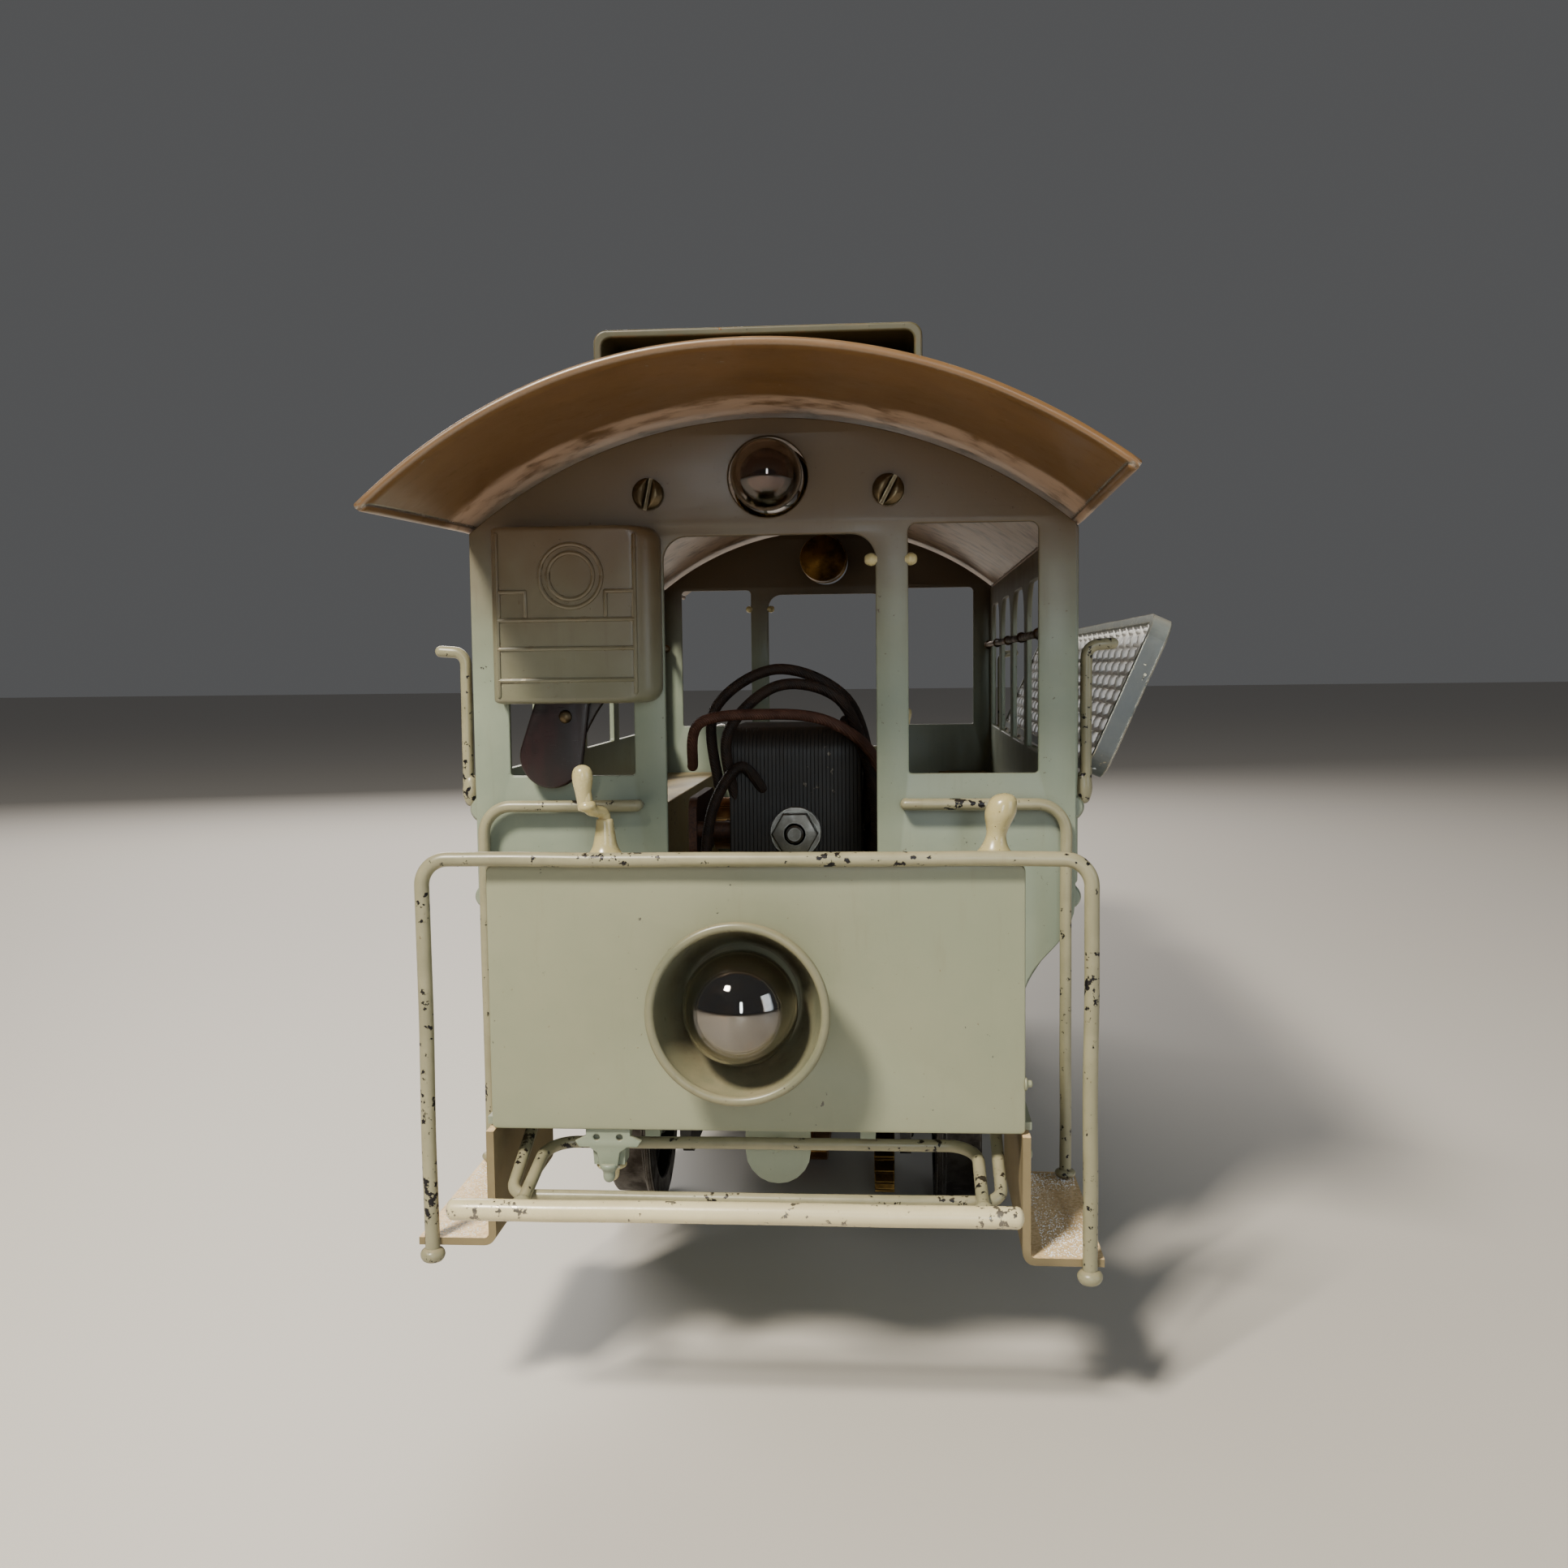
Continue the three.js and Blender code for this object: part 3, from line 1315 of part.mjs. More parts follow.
add(car, "truck_frame", truckFrame(), finishes.iron);
for (const [name, y] of [["front", -axleY], ["rear", axleY]]) {
  const reach = wheelGauge / 2 + wheelWidth + axleOverhang;
  add(car, name + "_axle", placed(rodAlongX(axleRadius, -reach, reach), 0, y, axleHeight), finishes.steel);
  for (const [side, sign] of carSides)
    add(car, name + "_" + side + "_wheel", placed(wheel(sign), 0, y, axleHeight), finishes.iron);
}
add(car, "axle_gear", axleGear(), finishes.brass);
add(car, "idler_gear", idlerGear(), finishes.brass);
add(car, "armature", armature(), finishes.steel);
add(car, "motor_field", motorField(), finishes.iron);
add(car, "pole_bolt", poleBolt(), finishes.steel);
add(car, "brush_plate", brushPlate(), finishes.iron);
add(car, "pickup_shoe", pickupShoe(), finishes.brass);

export default car;
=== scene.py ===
import math

import bmesh
import bpy
from mathutils import Matrix, Vector, geometry, noise


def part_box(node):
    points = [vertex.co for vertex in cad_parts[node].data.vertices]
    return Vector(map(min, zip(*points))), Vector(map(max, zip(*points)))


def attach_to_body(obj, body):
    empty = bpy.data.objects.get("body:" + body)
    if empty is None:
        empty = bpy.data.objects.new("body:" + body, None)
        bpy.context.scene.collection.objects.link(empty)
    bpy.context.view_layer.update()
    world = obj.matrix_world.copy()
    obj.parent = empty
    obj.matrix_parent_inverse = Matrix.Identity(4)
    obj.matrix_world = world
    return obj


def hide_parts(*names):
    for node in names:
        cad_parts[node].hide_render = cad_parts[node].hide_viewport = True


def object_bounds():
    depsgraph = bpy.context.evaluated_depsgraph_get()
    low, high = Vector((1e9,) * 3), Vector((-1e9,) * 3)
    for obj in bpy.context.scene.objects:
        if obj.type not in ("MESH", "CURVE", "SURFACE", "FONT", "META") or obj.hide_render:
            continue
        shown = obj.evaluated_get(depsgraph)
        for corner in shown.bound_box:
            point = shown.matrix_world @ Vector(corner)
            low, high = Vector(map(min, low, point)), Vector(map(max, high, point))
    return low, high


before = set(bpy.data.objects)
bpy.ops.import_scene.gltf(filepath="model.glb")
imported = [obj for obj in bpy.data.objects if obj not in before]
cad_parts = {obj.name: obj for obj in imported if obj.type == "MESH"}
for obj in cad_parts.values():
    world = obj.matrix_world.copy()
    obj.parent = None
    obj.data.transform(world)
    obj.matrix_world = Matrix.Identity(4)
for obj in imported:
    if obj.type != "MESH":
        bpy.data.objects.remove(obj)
cadLow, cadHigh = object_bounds()
scene = bpy.context.scene

# The dictionaries hold millimetres; each piece is brought to metres as it is finished.
mm = 0.001

carEnds = (("front", False), ("rear", True))
carSides = (("left", -1), ("right", 1))


def boxOf(node):
    low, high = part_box(node)
    return low / mm, high / mm


# camera, floor and light

lens = {
    "length": 34.47,
    "place": (18.2, -309.1, 96.0),
    "right": (0.99720, 0.07391, -0.01143),
    "up": (0.00560, 0.07871, 0.99689),
    "ahead": (-0.07458, 0.99416, -0.07808),
}


def makeCamera():
    data = bpy.data.cameras.new("camera")
    data.lens = lens["length"]
    data.sensor_width = 36
    data.clip_start = 0.01
    data.clip_end = 20
    camera = bpy.data.objects.new("camera", data)
    right, up, ahead = (Vector(lens[key]) for key in ("right", "up", "ahead"))
    turn = Matrix((right, up, -ahead)).transposed().to_4x4()
    camera.matrix_world = Matrix.Translation(Vector(lens["place"]) * mm) @ turn
    scene.collection.objects.link(camera)
    scene.camera = camera


studio = {
    "floorSize": 12000,
    "floorColour": (0.56, 0.52, 0.47, 1),
    "sky": (0.92, 0.93, 0.95, 1),
    "skyStrength": 0.10,
    # name, place, aimed at, width, height, watts, colour
    "lamps": [
        ("key", (-250, -540, 600), (0, -115, 60), 120, 120, 11.0, (1.0, 0.94, 0.82)),
        ("fill", (650, -420, 240), (0, -60, 60), 260, 380, 1.1, (0.80, 0.90, 1.0)),
        ("window", (90, -760, 200), (0, -100, 60), 60, 240, 1.0, (0.84, 0.94, 1.0)),
        ("back", (-260, 700, 460), (0, 0, 90), 600, 300, 6.0, (1.0, 0.97, 0.93)),
    ],
}


def makeStudio(floorHeight):
    mesh = bpy.data.meshes.new("floor")
    half = studio["floorSize"] / 2 * mm
    corners = [(x, y, floorHeight * mm) for x, y in ((-half, -half), (half, -half), (half, half),
                                                     (-half, half))]
    mesh.from_pydata(corners, [], [(0, 1, 2, 3)])
    floor = bpy.data.objects.new("floor", mesh)
    scene.collection.objects.link(floor)
    material = bpy.data.materials.new("paleFloor")
    material.use_nodes = True
    shader = material.node_tree.nodes["Principled BSDF"]
    shader.inputs["Base Color"].default_value = studio["floorColour"]
    shader.inputs["Roughness"].default_value = 0.55
    mesh.materials.append(material)
    world = bpy.data.worlds.new("studio")
    world.use_nodes = True
    background = world.node_tree.nodes["Background"]
    background.inputs["Color"].default_value = studio["sky"]
    background.inputs["Strength"].default_value = studio["skyStrength"]
    scene.world = world
    for name, place, aim, width, height, watts, colour in studio["lamps"]:
        light = bpy.data.lights.new(name, "AREA")
        light.shape = "RECTANGLE"
        light.size = width * mm
        light.size_y = height * mm
        light.energy = watts
        light.color = colour
        lamp = bpy.data.objects.new(name, light)
        lamp.location = Vector(place) * mm
        lamp.rotation_euler = (Vector(aim) - Vector(place)).to_track_quat("-Z", "Y").to_euler()
        scene.collection.objects.link(lamp)


makeCamera()
makeStudio(cadLow.z / mm)
print("camera and studio")

# mesh helpers: each adds a closed shape to a bmesh


def smoothAll(faces, material=0):
    for face in faces:
        face.smooth = True
        face.material_index = material


def skin(bm, first, second, material=0):
    # quads between two rings, or a fan where one of them is a single point
    made = []
    count = max(len(first), len(second))
    for i in range(count):
        j = (i + 1) % count
        corners = [first[i % len(first)], first[j % len(first)], second[j % len(second)],
                   second[i % len(second)]]
        kept = [v for k, v in enumerate(corners) if v not in corners[:k]]
        if len(kept) > 2:
            made.append(bm.faces.new(kept))
    smoothAll(made, material)
    return made


def basisFor(direction):
    along = Vector(direction).normalized()
    helper = Vector((0, 0, 1)) if abs(along.z) < 0.9 else Vector((0, 1, 0))
    side = helper.cross(along).normalized()
    return side, along.cross(side), along


def addSpin(bm, profile, centre, direction, segments=64, material=0):
    # profile is (radius, distance along the direction)
    side, up, along = basisFor(direction)
    centre = Vector(centre)
    rings = []
    for radius, distance in profile:
        middle = centre + along * distance
        if radius < 1e-6:
            rings.append([bm.verts.new(middle)])
            continue
        turns = [2 * math.pi * i / segments for i in range(segments)]
        rings.append([bm.verts.new(middle + (side * math.cos(a) + up * math.sin(a)) * radius) for a in turns])
    for first, second in zip(rings, rings[1:]):
        skin(bm, first, second, material)
    if len(rings[0]) > 1 and len(rings[-1]) > 1:
        skin(bm, rings[-1], rings[0], material)


def roundedProfile(points, steps=5):
    # a smooth line through a few points, flat or in space (Catmull-Rom)
    line = []
    for i in range(len(points) - 1):
        p0 = Vector(points[max(i - 1, 0)])
        p1 = Vector(points[i])
        p2 = Vector(points[i + 1])
        p3 = Vector(points[min(i + 2, len(points) - 1)])
        for k in range(steps):
            t = k / steps
            spot = 0.5 * (2 * p1 + (p2 - p0) * t + (2 * p0 - 5 * p1 + 4 * p2 - p3) * t * t
                          + (3 * p1 - p0 - 3 * p2 + p3) * t ** 3)
            line.append(spot)
    line.append(Vector(points[-1]))
    return line


def bendPath(corners, bend, steps=10, spacing=3.0):
    # a wire's middle line: straight runs and round bends, with a point every few millimetres
    points = [Vector(corner) for corner in corners]
    line = [points[0]]
    for i in range(1, len(points) - 1):
        into = points[i] - points[i - 1]
        out = points[i + 1] - points[i]
        turn = into.angle(out)
        if turn < 1e-3:
            line.append(points[i])
            continue
        reach = min(bend * math.tan(turn / 2), into.length * 0.48, out.length * 0.48)
        into.normalize()
        out.normalize()
        radius = reach / math.tan(turn / 2)
        start = points[i] - into * reach
        inward = (out - into * math.cos(turn)).normalized()
        middle = start + inward * radius
        for k in range(steps + 1):
            angle = turn * k / steps
            line.append(middle - inward * radius * math.cos(angle) + into * radius * math.sin(angle))
    line.append(points[-1])
    full = [line[0]]
    for point in line[1:]:
        gap = (point - full[-1]).length
        if gap < 1e-5:
            continue
        last = full[-1].copy()
        pieces = max(1, round(gap / spacing))
        full += [last.lerp(point, k / pieces) for k in range(1, pieces + 1)]
    return full


def wobbled(path, amount, seed):
    # the slight waviness of wire bent by hand, dying out at both ends
    moved = []
    last = len(path) - 1
    for i, point in enumerate(path):
        fade = min(1, i / 4, (last - i) / 4)
        moved.append(point + noise.noise_vector(point * 0.06 + Vector((seed, seed * 2.3, 0))) * amount * fade)
    return moved


def addSweep(bm, path, radius, sides=20, material=0, capRings=4, flatness=1.0):
    # a round bar along a path; radius is a number or a function of the share of the length
    lengths = [0.0]
    for first, second in zip(path, path[1:]):
        lengths.append(lengths[-1] + (second - first).length)
    size = radius if callable(radius) else (lambda share: radius)
    tangents = []
    for i in range(len(path)):
        tangents.append((path[min(i + 1, len(path) - 1)] - path[max(i - 1, 0)]).normalized())
    side, up, _ = basisFor(tangents[0])
    stations = []
    for i, point in enumerate(path):
        if i:
            turn = tangents[i - 1].rotation_difference(tangents[i])
            side = turn @ side
            up = turn @ up
        stations.append((point, side.copy(), up.copy(), tangents[i], size(lengths[i] / lengths[-1])))

    def ringAt(point, across, over, reach):
        turns = [2 * math.pi * k / sides for k in range(sides)]
        return [bm.verts.new(point + (across * math.cos(a) + over * math.sin(a)) * reach) for a in turns]

    def capRingsAt(station, sign):
        point, across, over, tangent, reach = station
        made = []
        for k in range(1, capRings):
            angle = math.pi / 2 * k / capRings
            shift = tangent * sign * reach * flatness * math.sin(angle)
            made.append(ringAt(point + shift, across, over, reach * math.cos(angle)))
        made.append([bm.verts.new(point + tangent * sign * reach * flatness)])
        return made

    rings = [ringAt(*station[:3], station[4]) for station in stations]
    rings = capRingsAt(stations[0], -1)[::-1] + rings + capRingsAt(stations[-1], 1)
    for first, second in zip(rings, rings[1:]):
        skin(bm, first, second, material)


def arc(cx, cy, radius, fromDegrees, toDegrees, steps=8):
    turns = [math.radians(fromDegrees + (toDegrees - fromDegrees) * i / steps) for i in range(steps + 1)]
    return [(cx + radius * math.cos(a), cy + radius * math.sin(a)) for a in turns]


def roundRect(left, right, low, high, lowCorner, highCorner=None, steps=8):
    highCorner = lowCorner if highCorner is None else highCorner
    line = arc(left + lowCorner, low + lowCorner, lowCorner, 180, 270, steps)
    line += arc(right - lowCorner, low + lowCorner, lowCorner, 270, 360, steps)
    line += arc(right - highCorner, high - highCorner, highCorner, 0, 90, steps)
    line += arc(left + highCorner, high - highCorner, highCorner, 90, 180, steps)
    return line


def tidyLoop(points, outer):
    kept = []
    for point in points:
        spot = Vector((point[0], point[1]))
        if not kept or (spot - kept[-1]).length > 1e-4:
            kept.append(spot)
    if (kept[0] - kept[-1]).length < 1e-4:
        kept.pop()
    area = sum(a.x * b.y - b.x * a.y for a, b in zip(kept, kept[1:] + kept[:1]))
    return kept if (area > 0) == outer else kept[::-1]


def insetLoop(loop, inset):
    moved = []
    for i, point in enumerate(loop):
        into = (point - loop[i - 1]).normalized()
        out = (loop[(i + 1) % len(loop)] - point).normalized()
        first = Vector((-into.y, into.x))
        second = Vector((-out.y, out.x))
        moved.append(point + (first + second) * (inset / max(0.4, 1 + first.dot(second))))
    return moved


def addPlate(bm, outline, holes, thickness, rounding, place, material=0, steps=3):
    # a flat plate with rounded edges; place turns (x, y, depth) into a point
    loops = [tidyLoop(outline, True)] + [tidyLoop(hole, False) for hole in holes]
    levels = []
    for k in range(steps + 1):
        angle = math.pi / 2 * k / steps
        levels.append((rounding * (1 - math.sin(angle)), rounding * (1 - math.cos(angle))))
    levels += [(inset, thickness - depth) for inset, depth in reversed(levels)]
    rings = []
    for inset, depth in levels:
        rings.append([[bm.verts.new(place(p.x, p.y, depth)) for p in insetLoop(loop, inset)]
                      for loop in loops])
    for first, second in zip(rings, rings[1:]):
        for a, b in zip(first, second):
            skin(bm, a, b, material)
    flat = [[Vector((p.x, p.y, 0)) for p in insetLoop(loop, rounding)] for loop in loops]
    corners = geometry.tessellate_polygon(flat)
    for ring in (rings[0], rings[-1]):
        verts = [v for loop in ring for v in loop]
        for a, b, c in corners:
            face = bm.faces.new((verts[a], verts[b], verts[c]))
            face.material_index = material


def mergeIn(bm, part):
    mesh = bpy.data.meshes.new("part")
    part.to_mesh(mesh)
    part.free()
    bm.from_mesh(mesh)
    bpy.data.meshes.remove(mesh)


def addBlock(bm, low, high, rounding, material=0):
    low = Vector(low)
    high = Vector(high)
    part = bmesh.new()
    bmesh.ops.create_cube(part, size=1)
    bmesh.ops.scale(part, vec=high - low, verts=part.verts)
    bmesh.ops.translate(part, vec=(low + high) / 2, verts=part.verts)
    bmesh.ops.bevel(part, geom=part.edges[:], offset=rounding, segments=3, profile=0.5, affect="EDGES")
    for face in part.faces:
        face.smooth = max(abs(n) for n in face.normal) < 0.999
        face.material_index = material
    mergeIn(bm, part)


def addRefined(bm, node, rounding, material=0, segments=2, sharp=38):
    # a CAD solid with its loose triangles joined and its edges rounded
    part = bmesh.new()
    part.from_mesh(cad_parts[node].data)
    bmesh.ops.scale(part, vec=(1 / mm,) * 3, verts=part.verts)
    bmesh.ops.remove_doubles(part, verts=part.verts, dist=0.002)
    bmesh.ops.dissolve_limit(part, angle_limit=math.radians(1), verts=part.verts, edges=part.edges)
    if rounding:
        edges = [e for e in part.edges if e.is_manifold and e.calc_face_angle(0) > math.radians(sharp)]
        bmesh.ops.bevel(part, geom=edges, offset=rounding, segments=segments, profile=0.5,
                        affect="EDGES", clamp_overlap=True)
    smoothAll(part.faces, material)
    mergeIn(bm, part)


def halfRound(bm):
    bmesh.ops.rotate(bm, cent=(0, 0, 0), matrix=Matrix.Rotation(math.pi, 3, "Z"), verts=bm.verts)


def finishPiece(bm, name, body, materials, nodes=(), rear=False, sharp=40, weighted=False):
    # rear pieces are the front ones turned half round
    if rear:
        halfRound(bm)
    bmesh.ops.recalc_face_normals(bm, faces=bm.faces)
    bmesh.ops.scale(bm, vec=(mm,) * 3, verts=bm.verts)
    mesh = bpy.data.meshes.new(name)
    bm.to_mesh(mesh)
    bm.free()
    mesh.set_sharp_from_angle(angle=math.radians(sharp))
    for material in materials:
        mesh.materials.append(material)
    piece = bpy.data.objects.new(name, mesh)
    scene.collection.objects.link(piece)
    if weighted:
        modifier = piece.modifiers.new("evenNormals", "WEIGHTED_NORMAL")
        modifier.keep_sharp = True
        bakeModifiers(piece)
    return attach(piece, body, nodes)


def bakeModifiers(piece):
    # the evaluated shape becomes the piece's own plain mesh
    evaluated = piece.evaluated_get(bpy.context.evaluated_depsgraph_get())
    mesh = bpy.data.meshes.new_from_object(evaluated)
    piece.modifiers.clear()
    piece.data = mesh


def attach(piece, body, nodes):
    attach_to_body(piece, body)
    if nodes:
        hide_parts(*nodes)
    return piece


# shader helpers


def fromSrgb(red, green, blue):
    def linear(value):
        value /= 255
        return value / 12.92 if value <= 0.04045 else ((value + 0.055) / 1.055) ** 2.4
    return (linear(red), linear(green), linear(blue), 1)


def feed(tree, socket, value):
    # a link where the value comes from another node, a plain setting otherwise
    if isinstance(value, bpy.types.NodeSocket):
        tree.links.new(value, socket)
    else:
        socket.default_value = value


def addNode(tree, kind, values=None, **settings):
    node = tree.nodes.new(kind)
    for key, value in settings.items():
        setattr(node, key, value)
    for key, value in (values or {}).items():
        feed(tree, node.inputs[key], value)
    return node


def mathOf(tree, operation, first, second=0.0, clamp=False):
    return addNode(tree, "ShaderNodeMath", {0: first, 1: second}, operation=operation,
                   use_clamp=clamp).outputs[0]


def times(tree, first, second, clamp=False):
    return mathOf(tree, "MULTIPLY", first, second, clamp)


def plus(tree, first, second, clamp=False):
    return mathOf(tree, "ADD", first, second, clamp)


def minus(tree, first, second, clamp=False):
    return mathOf(tree, "SUBTRACT", first, second, clamp)


def divided(tree, first, second):
    return mathOf(tree, "DIVIDE", first, second)


def stepOf(tree, value, low, high):
    # 0 below low, 1 above high, eased between
    return addNode(tree, "ShaderNodeMapRange", {"Value": value, "From Min": low, "From Max": high},
                   interpolation_type="SMOOTHSTEP").outputs["Result"]


def mixOf(tree, share, first, second):
    node = addNode(tree, "ShaderNodeMix", data_type="RGBA")
    feed(tree, node.inputs["Factor"], share)
    feed(tree, node.inputs[6], first)
    feed(tree, node.inputs[7], second)
    return node.outputs[2]


def noiseOf(tree, place, scale, detail=3.0, roughness=0.5):
    return addNode(tree, "ShaderNodeTexNoise", {"Vector": place, "Scale": scale, "Detail": detail,
                                                "Roughness": roughness}).outputs["Fac"]


def facingUp(tree):
    # how far a face looks up: 1 for a floor, -1 for a ceiling
    normal = addNode(tree, "ShaderNodeNewGeometry").outputs["Normal"]
    return addNode(tree, "ShaderNodeSeparateXYZ", {0: normal}).outputs["Z"]


def placeInMm(tree, stretch=(1, 1, 1), shift=None):
    # object coordinates in millimetres, stretched and shifted
    spot = addNode(tree, "ShaderNodeTexCoord").outputs["Object"]
    factor = tuple(value / mm for value in stretch)
    place = addNode(tree, "ShaderNodeVectorMath", {0: spot, 1: factor}, operation="MULTIPLY").outputs[0]
    if shift is None:
        return place
    return addNode(tree, "ShaderNodeVectorMath", {0: place, 1: shift}, operation="ADD").outputs[0]


def startGroup(name, inputs, outputs):
    tree = bpy.data.node_groups.new(name, "ShaderNodeTree")
    kinds = {"colour": "NodeSocketColor", "value": "NodeSocketFloat"}
    for label, kind, value in inputs:
        socket = tree.interface.new_socket(label, in_out="INPUT", socket_type=kinds[kind])
        socket.default_value = value
    for label, kind in outputs:
        tree.interface.new_socket(label, in_out="OUTPUT", socket_type=kinds[kind])
    return tree, tree.nodes.new("NodeGroupInput").outputs, tree.nodes.new("NodeGroupOutput").inputs


def useGroup(tree, group, values):
    node = tree.nodes.new("ShaderNodeGroup")
    node.node_tree = group
    for key, value in values.items():
        feed(tree, node.inputs[key], value)
    return node.outputs


def makeEdgeWear():
    # where an outer edge has rubbed bare
    tree, given, result = startGroup(
        "edgeWear",
        [("Reach", "value", 0.4), ("Amount", "value", 0.5), ("Patch Size", "value", 3.0)],
        [("Mask", "value")],
    )
    reach = times(tree, given["Reach"], mm)
    soft = addNode(tree, "ShaderNodeBevel", {"Radius": reach}, samples=4).outputs["Normal"]
    normal = addNode(tree, "ShaderNodeNewGeometry").outputs["Normal"]
    alike = addNode(tree, "ShaderNodeVectorMath", {0: soft, 1: normal},
                    operation="DOT_PRODUCT").outputs["Value"]
    edge = stepOf(tree, minus(tree, 1.0, alike), 0.01, 0.12)
    patches = noiseOf(tree, placeInMm(tree), divided(tree, 1.0, given["Patch Size"]), 5.0, 0.65)
    limit = minus(tree, 0.78, times(tree, given["Amount"], 0.5))
    worn = stepOf(tree, patches, limit, plus(tree, limit, 0.06))
    tree.links.new(times(tree, edge, worn), result["Mask"])
    return tree


def makeChips():
    # small sharp flakes, in clusters
    tree, given, result = startGroup(
        "paintChips",
        [("Size", "value", 1.2), ("Amount", "value", 0.3), ("Seed", "value", 0.0)],
        [("Mask", "value")],
    )
    shift = addNode(tree, "ShaderNodeCombineXYZ", {"X": given["Seed"], "Y": given["Seed"],
                                                   "Z": given["Seed"]})
    place = placeInMm(tree, shift=shift.outputs[0])
    flakes = noiseOf(tree, place, divided(tree, 1.0, given["Size"]), 6.0, 0.6)
    clusters = noiseOf(tree, place, divided(tree, 0.12, given["Size"]), 2.0)
    both = plus(tree, flakes, times(tree, clusters, 0.55))
    limit = minus(tree, 1.06, times(tree, given["Amount"], 0.3))
    tree.links.new(stepOf(tree, both, limit, plus(tree, limit, 0.018)), result["Mask"])
    return tree


def makeAgedPaint(edgeWear, paintChips):
    # old enamel: mottled, streaked with grime, darkened in its corners and recesses with painted shade,
    # flaked and rubbed through
    tree, given, result = startGroup(
        "agedPaint",
        [
            ("Paint", "colour", (0.3, 0.3, 0.3, 1)),
            ("Faded", "colour", (0.4, 0.4, 0.4, 1)),
            ("Grime And Shade", "colour", (0.1, 0.07, 0.04, 1)),
            ("Bare", "colour", (0.2, 0.2, 0.2, 1)),
            ("Mottle Size", "value", 9.0),
            ("Mottle", "value", 0.6),
            ("Grime Amount", "value", 0.6),
            ("Wear", "value", 0.4),
            ("Wear Reach", "value", 0.4),
            ("Chips", "value", 0.3),
            ("Chip Size", "value", 1.2),
            ("Gloss", "value", 0.45),
            ("Seed", "value", 0.0),
        ],
        [("Colour", "colour"), ("Roughness", "value"), ("Metal", "value"), ("Height", "value")],
    )
    shift = addNode(tree, "ShaderNodeCombineXYZ", {"X": given["Seed"], "Z": given["Seed"]}).outputs[0]
    place = placeInMm(tree, shift=shift)
    broad = noiseOf(tree, place, divided(tree, 0.3, given["Mottle Size"]), 3.0)
    fine = noiseOf(tree, place, divided(tree, 1.6, given["Mottle Size"]), 6.0, 0.6)
    cloud = plus(tree, times(tree, broad, 0.6), times(tree, fine, 0.4))
    faded = times(tree, stepOf(tree, cloud, 0.38, 0.64), given["Mottle"])
    colour = mixOf(tree, faded, given["Paint"], given["Faded"])
    runs = noiseOf(tree, placeInMm(tree, (1, 1, 0.12), shift), 0.45, 4.0, 0.6)
    # painted shade: an occlusion mask lays the grime colour into corners, creases and recesses
    openness = addNode(tree, "ShaderNodeAmbientOcclusion", {"Distance": 3.2 * mm}, samples=4).outputs["AO"]
    corner = times(tree, stepOf(tree, minus(tree, 1.0, openness), 0.22, 0.85),
                    plus(tree, 0.35, stepOf(tree, fine, 0.35, 0.7)))
    film = times(tree, stepOf(tree, runs, 0.56, 0.8), 0.35)
    grimeAndShade = times(tree, mathOf(tree, "MAXIMUM", corner, film), given["Grime Amount"], True)
    colour = mixOf(tree, grimeAndShade, colour, given["Grime And Shade"])
    specks = stepOf(tree, noiseOf(tree, place, 1.9, 2.0), 0.735, 0.76)
    colour = mixOf(tree, times(tree, specks, 0.6), colour, given["Grime And Shade"])
    worn = useGroup(tree, edgeWear, {"Reach": given["Wear Reach"], "Amount": given["Wear"]})["Mask"]
    flaked = useGroup(tree, paintChips, {"Size": given["Chip Size"], "Amount": given["Chips"],
                                         "Seed": given["Seed"]})["Mask"]
    bare = mathOf(tree, "MAXIMUM", worn, flaked)
    colour = mixOf(tree, bare, colour, given["Bare"])
    rough = plus(tree, given["Gloss"], times(tree, minus(tree, fine, 0.5), 0.3))
    rough = plus(tree, rough, times(tree, grimeAndShade, 0.3))
    rough = minus(tree, rough, times(tree, worn, 0.12), True)
    peel = noiseOf(tree, place, 1.1, 2.0)
    height = plus(tree, times(tree, peel, 0.25), times(tree, fine, 0.3))
    height = minus(tree, height, times(tree, bare, 0.9))
    height = plus(tree, height, times(tree, specks, 0.5))
    tree.links.new(colour, result["Colour"])
    tree.links.new(rough, result["Roughness"])
    tree.links.new(times(tree, bare, 0.75), result["Metal"])
    tree.links.new(height, result["Height"])
    return tree


def makeWornMetal(edgeWear):
    # bare metal: dull film, tooling grain, bright edges
    tree, given, result = startGroup(
        "wornMetal",
        [
            ("Metal", "colour", (0.5, 0.5, 0.5, 1)),
            ("Dull", "colour", (0.2, 0.2, 0.2, 1)),
            ("Bright", "colour", (0.8, 0.8, 0.8, 1)),
            ("Dullness", "value", 0.5),
            ("Patch Size", "value", 4.0),
            ("Gloss", "value", 0.35),
            ("Wear", "value", 0.7),
        ],
        [("Colour", "colour"), ("Roughness", "value"), ("Height", "value")],
    )
    place = placeInMm(tree)
    patches = noiseOf(tree, place, divided(tree, 1.0, given["Patch Size"]), 6.0, 0.6)
    film = times(tree, stepOf(tree, patches, 0.36, 0.66), given["Dullness"])
    grain = noiseOf(tree, placeInMm(tree, (0.3, 3.0, 3.0)), 1.6, 3.0)
    worn = useGroup(tree, edgeWear, {"Reach": 0.35, "Amount": given["Wear"], "Patch Size": 2.0})["Mask"]
    colour = mixOf(tree, film, given["Metal"], given["Dull"])
    colour = mixOf(tree, times(tree, worn, 0.8), colour, given["Bright"])
    rough = plus(tree, given["Gloss"], times(tree, film, 0.3))
    rough = plus(tree, rough, times(tree, minus(tree, grain, 0.5), 0.2), True)
    tree.links.new(colour, result["Colour"])
    tree.links.new(rough, result["Roughness"])
    tree.links.new(plus(tree, grain, times(tree, patches, 0.6)), result["Height"])
    return tree


